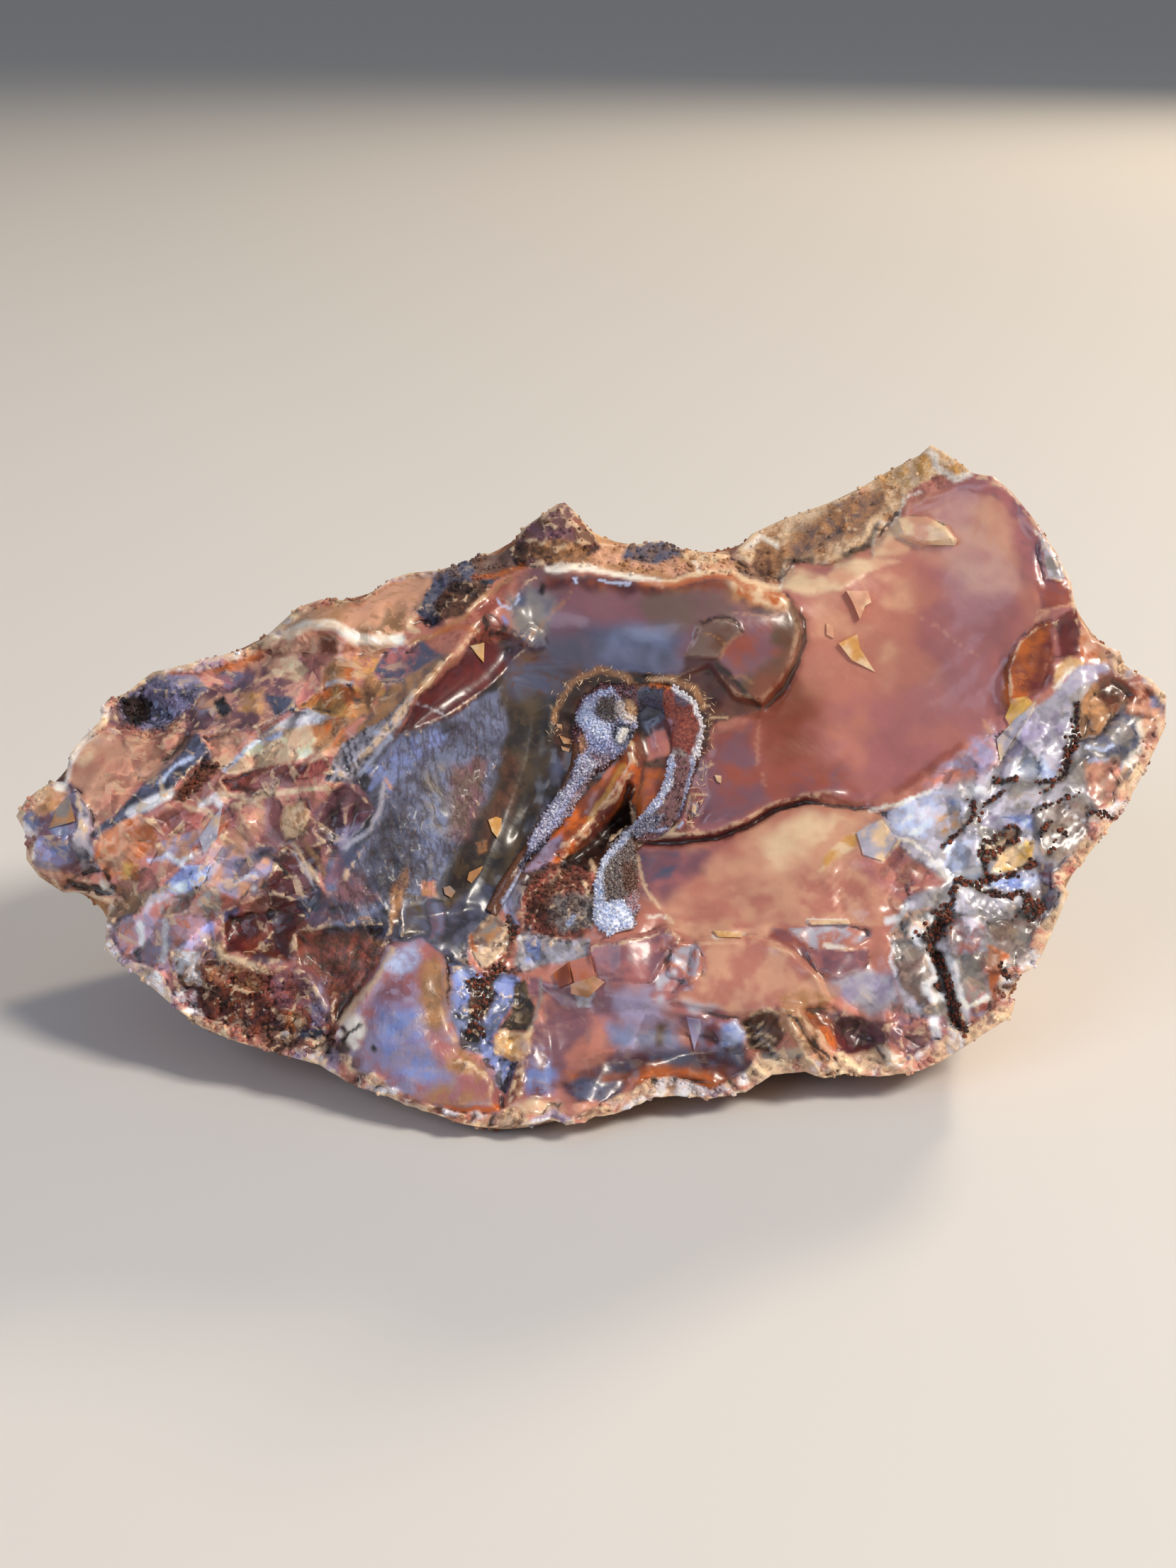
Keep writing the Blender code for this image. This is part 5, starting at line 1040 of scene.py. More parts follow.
# %% Foot
region(15, 1.4, 0.9, [
    ("mauve", "salmon", 4.0, 1.0, [(-9.6, -30), (0, -32.6), (10, -33.6), (15, -35.6), (20, -36.6), (25, -39.6),
        (25.4, -43), (5, -44), (-3, -47.4), (-10, -48.4)]),
    ("blue grey", "periwinkle", 1.6, 0.5, [
        (-21.8, -28.4), (-18, -28.4), (-16, -30.4), (-13, -29.4), (-10.8, -30.4), (-11.2, -34), (-13, -37),
        (-15, -40.2),
        (-13, -42), (-10.8, -43.4), (-12.2, -46.4), (-13, -48.8), (-15.8, -45.8), (-16.6, -42.4), (-19.8, -41.4),
        (-21.6, -36.6),
    ]),
    ("brown", "black", 0.6, 0.5, [(-18.6, -31), (-15, -30.2), (-14.6, -33.6), (-16, -37.4), (-18.6, -36.2)]),
    ("dark brown", "black", 0.6, 0.5, [(-19.8, -38.4), (-16.8, -38.4), (-16.8, -40.6), (-19.8, -40.6)]),
    ("lilac", "rose", 2.4, 0.5, [
        (-31.2, -25.2), (-26, -24.4), (-22.6, -26.8), (-21.8, -35), (-20, -41), (-15, -44), (-13.6, -49),
        (-13.6, -51.4),
        (-20, -51.6), (-27, -52), (-31, -49), (-36, -46.4), (-39.2, -41), (-38.8, -37), (-34.4, -30.6),
    ]),
    ("mauve", "lilac", 2.4, 3.2, [(-34, -30.6), (-29, -29), (-26.4, -32.6), (-28, -35), (-34, -35.6),
        (-37, -36.2)]),
    # The ice and periwinkle rows of the lobe are the stone's milky blue with a painted blue sheen where it bulges
    # out.
    ("lilac", "ice", 1.6, 1.4, [(-31.4, -26), (-27, -24.8), (-25.8, -28), (-29, -30), (-32.6, -28.8)]),
    ("lilac", "periwinkle", 1.6, 4.0, [(-33, -35), (-26.6, -35), (-25.6, -39), (-28, -42), (-34, -41)]),
    ("periwinkle", "lilac", 1.6, 4.0, [(-33, -40.6), (-25, -40), (-22, -45), (-23.4, -48), (-29, -47.6)]),
    ("rose", "tan", 2.0, 3.2, [(-24.6, -39.6), (-20, -40.4), (-15, -44.4), (-14, -49.4), (-20, -51), (-27, -50.4),
        (-22, -46)]),
    ("tan", "earth", 2.4, 2.2, [(-25.8, -28), (-23, -26.8), (-21.8, -32), (-21.8, -38), (-23.6, -40.4),
        (-26.2, -37)]),
    ("mauve", "lilac", 1.6, 2.0, [(-38.8, -40.4), (-34, -42.4), (-33, -46.8), (-37.4, -45.4)]),
    ("olive", "smoke", 2.0, 0.4, [(-10, -30.8), (-8, -35), (-9, -38.6), (-14, -38.6), (-11.8, -36),
        (-11.8, -31.4)]),
    ("ochre", "cream", 0.9, 0.5, [(-14.6, -39.4), (-9, -38.8), (-9, -42), (-11.6, -43.4), (-14.4, -42)]),
    ("rust", "cream", 0.9, 0.5, [(-11, -43), (-9.4, -42.6), (-10.4, -48.6), (-12.8, -50)]),
    ("mauve", "lilac", 5.0, 4.0, [(-1, -31), (10, -32), (12, -37), (6, -39), (1, -37)]),
    # Blue-grey patch: the stone's milky blue with a painted blue reflection.
    ("blue grey", "lilac", 2.5, 2.6, [(4, -38.4), (12, -38.4), (15, -41.6), (5, -42)]),
    ("lilac", "rose", 1.4, 1.2, [(16, -37), (21, -37.4), (20.6, -41.6), (16.8, -41.6)]),
    # Periwinkle and ice patches: the stone's milky blue with painted blue reflections.
    ("mauve", "periwinkle", 2.0, 2.6, [(-9.8, -40.6), (-6, -41.6), (-4.4, -46), (-7.6, -49.4), (-10, -47.6)]),
    ("periwinkle", "ice", 1.2, 1.1, [(20.8, -37.6), (23.4, -36.8), (25.2, -39.2), (24, -41.6), (20.8, -41.2)]),
    ("grey brown", "olive", 1.4, 1.2, [(10.8, -37.4), (12.2, -37.8), (11.8, -41.4), (10.5, -41)]),
    ("grey", "milk", 1.2, 0.25, [(-2.2, -33), (1, -32.4), (0.5, -35.1), (-1.2, -34.8)]),
    ("rust", "orange", 2.6, 1.8, [(-3.4, -44.8), (5, -44.4), (12, -43.4), (20, -43), (25.6, -42.8), (26, -46),
        (22, -49), (16, -49.4), (11, -47.6), (7, -47), (3, -49.8), (-1, -50)]),
    ("maroon", "slate", 2.0, 2.0, [(-4, -46.8), (1, -46), (6, -46.8), (4, -50.6), (-2, -50.8)]),
    ("maroon", "mauve", 2.0, 1.4, [(21.6, -42.4), (26, -43), (26, -47), (22, -46)]),
    ("bright orange", "orange", 2.0, 1.8, [(9, -45), (14, -44.6), (20, -45), (22, -48), (15, -48.2), (10, -46.6)]),
])
region(88, 2.4, 0.9, [
    ("maroon", "slate", 2.0, 2.0, [(1.6, -44.8), (5, -42.2), (10, -41.4), (18, -41.2), (24.4, -41.6), (24.4, -43.8),
        (12, -44.4), (5, -45.4)]),
    ("cream", "peach", 0.9, 0.8, [(3.4, -50.4), (9.6, -47.4), (16, -49.2), (22, -49.4), (26, -46), (29, -44),
        (29, -47), (20, -51), (10, -50.4), (4, -53.4)]),
    ("peach", "cream", 0.9, 0.9, [(-13, -50.4), (-8, -49), (-4, -50), (-5, -55), (-14, -55.4)]),
    ("peach", "salmon", 1.4, 0.9, [(-4.4, -50.4), (0, -50.6), (4, -52.6), (0, -56), (-4.4, -56.4)]),
])
region(10, 1.2, 0.9, [
    ("mauve", "rose", 2.6, 0.4, [(0, -25), (8, -24), (13, -22), (14.6, -22.6), (14, -25), (11.2, -29),
        (10.6, -31.6), (2, -31), (0, -28)]),
    ("salmon", "rose", 1.4, 0.3, [(11.4, -24), (14.8, -22.4), (13, -26), (11, -26.4)]),
    ("salmon", "milk", 1.6, 0.35, [(13, -25.4), (17, -25), (18.3, -27), (18, -30.2), (15.6, -29.8), (12.2, -27.4)]),
    ("rose", "milk", 1.2, 0.35, [(10.8, -29.4), (14, -29), (16.2, -32), (15, -33.2), (10.6, -32.6)]),
    ("peach", "salmon", 2.6, 0.4, [(18.2, -24.5), (26, -23.4), (32, -25.6), (35, -29), (38.8, -34), (32, -34.4),
        (26, -35.6), (22, -36.6), (12, -34), (16.2, -32)]),
    ("rose", "milk", 3.0, 1.8, [(10, -33.2), (14, -33), (20, -35), (22, -37), (16, -36.2)]),
    ("tan", "peach", 2.0, 1.2, [(30, -33.2), (36, -29), (39, -33), (36, -35.6), (31, -35)]),
    # Milk over salmon here: painted pink-white glints.
    ("milk", "salmon", 1.2, 0.5, [(31.4, -22.6), (38, -21.8), (44, -22.4), (44, -24), (41, -25.2), (36, -25.8),
        (33.6, -25)]),
    ("mauve", "rose", 2.0, 0.35, [(34.4, -25.8), (44.2, -26), (43.4, -28.6), (40, -30.2), (36.6, -29.4)]),
    ("mauve", "brick", 1.6, 0.5, [(27.8, -22.2), (31, -23), (34, -25.4), (36.4, -29), (33, -26.4), (28.6, -24)]),
    ("lilac", "milk", 1.4, 2.2, [(38.6, -31), (42, -29.8), (47.4, -29.6), (48, -34), (44, -36.4), (40.4, -34.4)]),
    ("brick", "tan", 1.0, 0.6, [(33, -34.6), (38.6, -34.6), (40, -37), (41, -41.6), (36.4, -38.6)]),
    ("orange", "rust", 1.6, 1.0, [(33.6, -35.4), (37.4, -36.4), (40.4, -41), (38, -41.4), (35, -38)]),
    ("dark red", "maroon", 1.6, 0.7, [(38, -37.6), (40.4, -39.6), (46.6, -41), (44.4, -42.6), (39.4, -42.4)]),
    ("grey brown", "mauve", 0.6, 1.2, [(36.8, -35.4), (40, -35.6), (47.4, -38), (47, -41), (41, -40.6),
        (38.6, -38)]),
    ("cream", "grey", 1.2, 0.8, [(27, -42), (33, -41.4), (37, -45), (36, -46), (28.4, -45.4)]),
    ("grey brown", "brown", 0.8, 0.4, [(24, -37), (27, -35.1), (30.2, -35.8), (31, -39), (29, -42), (25.2, -41.2)]),
    ("peach", "tan", 1.6, 0.4, [(29.8, -35), (32.8, -34.8), (36.2, -39), (40.4, -45), (37, -46.2), (33, -40.8),
        (30.2, -38)]),
    ("peach", "cream", 1.6, 0.8, [(39.6, -43), (46, -40.8), (50, -43), (49.4, -46.4), (42, -46.8)]),
    ("slate", "lilac", 1.0, 0.3, [(50, -42.4), (52, -41), (54.4, -43.4), (53, -45.6), (50, -45.6)]),
    ("grey brown", "rose", 0.8, 0.8, [(47, -34), (54, -36), (58, -41), (52, -41.4), (47.6, -38)]),
    ("peach", "mauve", 0.8, 0.6, [(49, -39), (55, -39.6), (58, -42), (55, -44), (50, -42)]),
])
MARKS += [
    ("cream", 0.4, 0.9, [(-30.6, -26), (-33, -29.6), (-36, -33.4), (-38.8, -37.4)]),
    ("ivory", 1.5, 1, [(-36.8, -37.6), (-36.4, -38.6)]),
    ("ivory", 0.6, 1, [(-38.4, -39.2), (-36.4, -41)]),
    ("black", 0.3, 1, [(-38.4, -38), (-37.6, -39.2), (-35.8, -37.8)]),
    ("black", 0.3, 1, [(-38.2, -40.4), (-37.4, -39.4)]), ("black", 0.5, 1, [(-33.5, -41.3)]),
    ("black", 0.8, 0.9, [(-39.2, -42), (-38, -41)]),
    ("bright orange", 0.6, 1, [(-21.6, -51), (-18, -51.4), (-14.2, -50.4)]),
    ("dark red", 0.6, 0.8, [(-12.4, -46), (-12, -49)]), ("ice", 0.5, 0.9, [(-20, -29.4), (-19.4, -30.6)]),
    ("ice", 0.5, 0.9, [(-14, -45), (-14, -47)]), ("black", 0.4, 0.9, [(-20.6, -36), (-18.4, -36.6), (-16.8, -35)]),
    ("grey", 0.25, 0.9, [(-7.4, -30.6), (-7.6, -35), (-9, -38.6)]),
    ("cream", 0.3, 0.9, [(-13.6, -38.8), (-9.6, -39.4), (-8.8, -38)]),
    ("peach", 0.3, 0.9, [(-3, -31.4), (1, -30)]), ("ivory", 0.45, 0.9, [(19.8, -23.4), (24, -23.5)]),
    ("peach", 0.35, 0.8, [(13, -21.6), (17, -23.4), (27, -22.4)]),
    ("cream", 0.35, 0.9, [(25, -39.6), (27.6, -39.2), (29, -40)]),
    ("cream", 0.3, 0.9, [(25.4, -41), (28, -40.6), (29.2, -41.6)]),
    ("cream", 0.3, 0.9, [(24.8, -38.2), (27.4, -37.6)]),
    ("cream", 0.25, 0.8, [(25.6, -36), (28, -35.4), (30, -36)]),
    ("dark brown", 0.25, 0.95, [(31.6, -36), (34, -39.2), (36, -42.4), (38.6, -45)]),
    ("ivory", 0.6, 0.8, [(45.6, -41.6), (48, -42.8)]), ("dark brown", 0.25, 0.9, [(45.4, -41.6), (47.6, -45.6)]),
    # Ivory strokes along the shelf's lower edge: painted glints.
    ("ivory", 0.3, 1, [(34.4, -21.4), (40.6, -21.6)]), ("ivory", 0.25, 0.9, [(37, -25.4), (40, -25.6)]),
]
print(len(FIELDS), "fields,", len(MARKS), "marks")

# %% [markdown]
# ### The salmon face and the shelf
# The largest part broke in one clean blow: a broad salmon face, peach at its thin upper edge, partly as painted glow,
# and mauve at its heart, with a shelf under it behind a step whose dark red foot is partly painted shadow. A few
# flakes hang on by one edge, and look cream because light gets in behind them.

# %% Salmon face and shelf
region(-30, 1.6, 0.35, [
    ("salmon", "rose", 12.0, 0.4, [
        (30, 30), (33, 33.6), (38, 34.2), (44.4, 35.6), (45.2, 40.6), (48, 41.4), (49, 44.6), (54, 46.4),
        (58, 47.4),
        (60.4, 48.6), (63, 48.6), (66, 46.6), (70, 42.6), (74, 36), (77, 29), (77, 24.6), (77, 20.4), (74, 19.6),
        (72.6, 16), (70, 13), (65, 9), (64, 7), (58, 6.6), (54, 2.6), (48, -1), (44, -3.2), (36, -1.6), (30, -2.4),
        (24, -5.4), (20, -7.6), (16, -8), (18, -2), (19, 4), (19, 9), (22, 10), (27, 11.6), (30.7, 15.4),
        (33.2, 20), (33.9, 24), (33.2, 27.6),
    ]),
    ("salmon", "rose", 8.0, 7.0, [(48, 32), (60, 30), (68, 24), (64, 12), (54, 8), (48, 18)]),
    ("salmon", "peach", 7.0, 5.0, [(50, 38), (56, 44), (63, 46), (70, 38), (71, 28), (60, 31)]),
    ("peach", "salmon", 4.5, 6.0, [(33, 30), (44, 36), (54, 38), (50, 26), (44, 12), (34, 14)]),
    ("salmon", "rose", 5.0, 5.0, [(38, 14), (50, 12), (56, 4), (46, -1), (38, 2), (34, 8)]),
    ("rust", "brick", 7.0, 6.0, [(24, 14), (32, 17), (38, 12), (37, 2), (30, -5), (24, -3)]),
    ("mauve", "brick", 4.0, 2.0, [(19, 8.4), (26, 9.4), (26.6, 2), (28, -3.6), (22, -6.4), (16.6, -7), (17.6, 0)]),
    ("brick", "mauve", 3.0, 3.5, [(34, 4), (40, 4), (42, -1), (34, -1.4), (28, -1)]),
    ("mauve", "rose", 3.0, 2.5, [(66, 40.6), (70, 40.6), (72, 33), (71, 28), (69, 31), (67, 36)]),
    ("mauve", "rose", 2.0, 1.0, [(58, 46.2), (62, 48.6), (66, 46), (69, 42), (67, 41.6), (63, 45.4)]),
    # Cream and peach along the thin upper edge: its own pale colour, with painted glow for the light through it.
    ("cream", "peach", 3.0, 1.0, [
        (30.2, 30.4), (30.8, 33.8), (33.4, 33.8), (37.6, 32.6), (38.8, 34.6), (44.6, 35.6), (48.4, 35),
        (43.4, 32.8),
        (40, 30.4), (35, 29.6),
    ]),
    ("cream", "peach", 3.0, 1.0, [(44.4, 35.6), (45.4, 40.8), (48.4, 41.8), (53, 41.8), (56, 40.4), (52, 38.8),
        (50, 36.4), (47, 35.6)]),
    ("peach", "salmon", 3.0, 2.0, [(49, 42), (49.4, 45), (55, 46.6), (58, 44), (55, 42)]),
    ("mauve", "brick", 2.0, 0.6, [(69.8, 31.6), (73, 32.2), (75.6, 30), (76.4, 28), (71, 27.2)]),
    ("dark red", "maroon", 2.0, 0.5, [(72.4, 19.6), (72.8, 25), (76.4, 28), (77.4, 20.4)]),
    ("rust", "orange", 3.0, 0.4, [(70, 24.6), (72.8, 26), (73, 21), (71.4, 15.6), (66, 11), (64.6, 11.6),
        (64.8, 18.2), (67, 21.6)]),
    ("dark red", "rust", 2.0, 1.4, [(69, 13), (72.6, 16), (73, 24), (71, 22), (69.6, 17)]),
    ("grey", "milk", 1.4, 0.3, [(70.4, 39.8), (71.4, 39), (73.4, 35.4), (74.6, 31.6), (71.7, 32.1), (71.4, 36)]),
    ("ochre", "cream", 1.4, 0.4, [(72.4, 15.4), (73, 18.4), (75.4, 20), (78, 19.4), (77.4, 18), (74, 16.4)]),
    ("orange", "peach", 1.6, 0.4, [(76.8, 24.8), (79.4, 22.8), (80.6, 19.6), (78, 19.4), (76.8, 20.6)]),
    ("tan", "peach", 1.6, 0.4, [(80.2, 21.6), (83, 21.2), (84.6, 18.4), (82, 17.6), (80, 19)]),
    ("salmon", "peach", 5.0, 0.5, [
        (8, -10), (14, -9.4), (20, -9), (25, -7), (30, -4), (34, -2.4), (40, -2.8), (46, -5), (46, -9), (52, -12),
        (56, -16), (50, -20), (46, -22), (34, -22), (28, -22), (20, -22.4), (13, -21), (8, -17),
    ]),
    ("peach", "salmon", 3.0, 2.4, [(22, -16), (34, -15), (38, -20.6), (24, -21)]),
    ("peach", "cream", 4.0, 3.5, [(26, -8), (34, -4), (43, -6), (41, -9), (36, -11.6), (28, -13)]),
    ("mauve", "rose", 3.0, 3.0, [(8, -17), (9, -12), (18, -9.6), (22, -9), (18, -13), (12, -18)]),
    ("rose", "salmon", 1.6, 2.4, [(41, -11), (48, -10), (54, -13), (56, -17), (50, -20), (45, -15)]),
    ("salmon", "peach", 2.0, 1.8, [(33, -13.6), (38, -13), (44, -16), (43, -20.6), (36, -21), (33, -18)]),
    ("salmon", "peach", 2.0, 1.4, [(12, -20.6), (20, -22), (30, -21.6), (28, -24), (18, -24.8), (13, -23)]),
    # Slate by the step: painted shade under the salmon face's overhang.
    ("slate", "mauve", 2.0, 1.2, [(7.6, -9.8), (14, -10.4), (14.4, -12), (12.6, -14.6), (9, -15.6), (7.6, -14)]),
    ("cream", "ochre", 1.6, 0.5, [(42.4, -7.6), (40, -8.4), (37.2, -11.2), (36.2, -13.8), (38.4, -12),
        (41.6, -10.2)]),
    ("cream", "milk", 1.4, 0.35, [(42, -7.6), (46, -5.6), (48.4, -8.6), (46, -12), (43, -11)]),
])
MARKS += [
    # Dark red along the step: painted shadow under the overhang, over a dark red crevice.
    ("dark red", 0.8, 0.95, [(8, -9), (13, -9.2), (20, -8.2), (25, -6.4), (29, -4), (33, -2.3), (37, -2.4)]),
    ("brick", 0.7, 0.8, [(37, -2.4), (41, -2.8), (44, -3.8)]), ("brick", 0.6, 0.7, [(48, -1), (54, 2.6), (58, 6)]),
    ("peach", 0.2, 0.35, [(27, 9.8), (26.4, 6), (26.5, 3), (27.6, -0.2)]),
    ("ivory", 0.2, 0.9, [(30.3, 30.4), (30.5, 33.6), (32.2, 34)]),
    ("ivory", 0.2, 0.9, [(44.6, 36.4), (45.3, 40.8), (47.4, 40.4), (48.8, 42.2), (49.3, 44.8), (52, 45.6)]),
    ("peach", 0.15, 0.4, [(50, 27), (52, 25.9), (55, 24), (58, 22), (61, 20.4)]),
    ("peach", 0.3, 0.8, [(70, 25.4), (72, 27)]), ("peach", 0.25, 0.8, [(70.4, 26.8), (73, 27.6), (76, 28.4)]),
    ("ivory", 0.2, 0.8, [(70, 39.8), (72, 38), (75, 32.6), (76.2, 28)]),
    ("rose", 0.5, 0.8, [(73, 24.4), (73.4, 20.6)]),
    ("ivory", 0.25, 0.9, [(72.6, 15), (76, 18.2)]), ("ivory", 0.2, 0.9, [(64.4, 4), (66.4, 6.4), (70, 12.6)]),
    ("peach", 0.3, 0.7, [(62, 10), (63.4, 8)]),
    ("ivory", 0.25, 0.8, [(9, -20.8), (12.6, -20.6)]),
    ("cream", 0.25, 0.8, [(13.4, -21.4), (12.4, -20.6)]),
]
print(len(FIELDS), "fields,", len(MARKS), "marks")

# %% [markdown]
# ### The milky right end
# At the right the chalcedony holds no iron: it is milk-white to blue-grey, crossed by black veins of manganese with
# white haloes, and it ends in an orange window where the skin is thin.

# %% Milky end
region(25, 1.4, 0.6, [
    ("milk", "grey", 3.0, 0.8, [
        (46, -5), (54, -0.6), (58, 2), (62, 6.6), (64, 4), (68, 9), (72, 13.6), (76, 17), (80, 18), (84, 15),
        (87, 11),
        (90, 6), (86, 0), (84, -4), (80, -7), (74, -13), (75, -20), (71, -28), (66, -31), (62, -35), (58, -41),
        (50, -38),
        (48, -30), (47, -23), (50, -18), (56, -15), (50, -11),
    ]),
    ("lilac", "salmon", 2.4, 2.2, [(53, -0.4), (58, 6.2), (63, 8.4), (64.4, 3), (61, 0.6)]),
    ("milk", "lilac", 1.6, 0.8, [(66, 6), (70, 12), (76, 13), (76, 5), (72, 1), (64, 1)]),
    ("ice", "white", 1.2, 0.9, [(66, 1), (67, 4), (71, 4.4), (73.4, 1)]),
    ("milk", "lilac", 1.6, 0.5, [(72.6, 14.2), (77, 18.8), (81, 18.8), (83.4, 17), (80, 16), (77, 15.6),
        (75, 13.6)]),
    ("tan", "earth", 2.0, 0.4, [(76.8, 7.2), (76.6, 12.6), (79, 16), (82, 15.6), (84.4, 13), (82.4, 10.2),
        (80, 7.8)]),
    ("rust", "brown", 1.8, 1.6, [(79.6, 13.6), (80, 17), (84, 16.2), (85.4, 13), (82.4, 11.4)]),
    ("slate", "grey", 1.2, 0.6, [(77, 6.8), (80, 7.6), (82.4, 10), (85, 12.2), (87, 9), (86, 5), (82, 3.6),
        (77.6, 3)]),
    ("salmon", "peach", 1.6, 1.0, [(77.6, 3.6), (83, 4), (84.6, 0), (84, -3.6), (80, -4.4), (78, -1)]),
    ("peach", "cream", 1.2, 0.6, [(86.4, 10), (90, 12), (90, 9), (88.6, 5), (85, 2.6), (83, 0.4), (84.4, 3.4),
        (87, 6)]),
    ("peach", "rust", 1.2, 0.6, [(84.6, 15.4), (88, 16.4), (89.6, 15), (87, 12.4), (85, 11), (84, 12)]),
    ("slate", "lilac", 0.8, 0.4, [(87.8, 14), (89.8, 14.2), (90.4, 12), (88, 11.8)]),
    ("ice", "milk", 1.4, 0.35, [(46, -4.6), (50, -2.6), (54, -1.2), (57.4, -2), (59.6, -3), (55.6, -9), (51, -9),
        (47, -7.6)]),
    ("white", "ice", 1.0, 1.0, [(46.8, -5.4), (50, -4.6), (52, -7.4), (49, -7.8)]),
    ("cream", "milk", 1.2, 0.4, [(44, -8), (47.4, -8), (50, -8.6), (47, -10.4), (45, -12)]),
    ("ochre", "milk", 1.0, 1.2, [(54.6, -5.4), (59, -4), (58.6, -7.6), (55.4, -8)]),
    ("ice", "milk", 1.6, 0.35, [(55.8, -9.4), (61, -6.6), (61.6, -12), (61.6, -14.6), (57, -14.4), (55.4, -12.6)]),
    ("lilac", "milk", 1.2, 0.5, [(61, -6), (63.6, -7.4), (66, -6.4), (68, -7.4), (70, -5), (69, -3.6), (64, -3)]),
    ("ice", "periwinkle", 1.0, 0.9, [(64.6, -5.2), (69.6, -4.6), (70, -7.4), (67, -6.2)]),
    ("grey", "milk", 1.8, 0.4, [(61.4, -2.4), (64.4, 0.4), (73.6, 0), (77, -1.4), (72, -3.8), (69, -3.8),
        (62.6, -5)]),
    ("brown", "cream", 0.8, 0.5, [(61.2, -9.4), (64, -7.6), (67.6, -6.8), (67.6, -8.8), (64, -12), (61.4, -12.4)]),
    ("cream", "yellow", 1.4, 0.4, [(64.2, -11.6), (67, -9.4), (69.6, -9), (69.4, -12.6), (66, -13.8),
        (63.2, -13.6)]),
    ("ice", "periwinkle", 1.2, 0.8, [(62.6, -15), (66, -14.4), (70, -13.4), (70, -16.4), (66, -16.6), (62.6, -16)]),
    ("grey brown", "grey", 0.9, 0.8, [(70, -4), (76.6, -1.8), (79.6, -4), (81, -6), (79, -9), (75, -11),
        (71.6, -12), (70, -9)]),
    ("slate", "maroon", 0.9, 0.8, [(69.8, -12), (72.6, -12), (73, -16), (73.4, -20), (72.4, -23.6), (70.4, -21.4),
        (70.6, -16)]),
    ("grey", "milk", 1.6, 0.5, [(58, -16), (62, -17.4), (67, -18), (67.4, -20.6), (62, -21.6), (58.4, -20)]),
    ("grey", "grey brown", 2.0, 0.6, [(62, -21.4), (67.4, -20.8), (71.4, -22.6), (70.4, -26.4), (67, -27.6),
        (64, -25.6)]),
    ("milk", "cream", 1.0, 0.4, [(65.6, -27.6), (68, -26.8), (71.4, -25), (70.4, -28.4), (67, -29.6)]),
    ("peach", "grey", 1.6, 0.5, [(46.8, -23.6), (50, -19.6), (55, -19.4), (55, -24.6), (50, -24)]),
    ("grey brown", "grey", 2.4, 0.4, [(47.4, -24), (54, -24.4), (55, -28), (56, -35.6), (53, -36), (49, -32),
        (48, -29)]),
    ("grey", "rose", 2.0, 0.4, [(56.4, -26.6), (62, -26.4), (62.4, -33), (60, -34.8), (58, -32.6)]),
    ("milk", "rose", 0.9, 0.25, [(56, -22.2), (57.6, -20.9), (60.4, -20.9), (62.2, -22.6), (62.2, -24.6),
        (60, -26.5), (57.2, -26.2), (55.9, -24.4)]),
    ("orange", "peach", 1.2, 0.3, [(62.6, -24.8), (65.8, -26.8), (65.2, -29.8), (62, -28.4)]),
    ("rust", "orange", 1.4, 0.4, [(62.2, -28.6), (65, -29.4), (65.8, -33), (63, -33.8)]),
    ("brick", "mauve", 1.0, 0.5, [(60, -34.8), (63, -33.8), (63.2, -36.6), (59.6, -36.6)]),
    ("salmon", "lilac", 1.0, 0.5, [(60, -36.2), (66.8, -33.6), (66, -36.4), (61, -40), (58, -42)]),
    ("mauve", "salmon", 1.4, 0.8, [(49, -36), (56, -36.4), (57, -41), (51, -43), (46, -38)]),
])
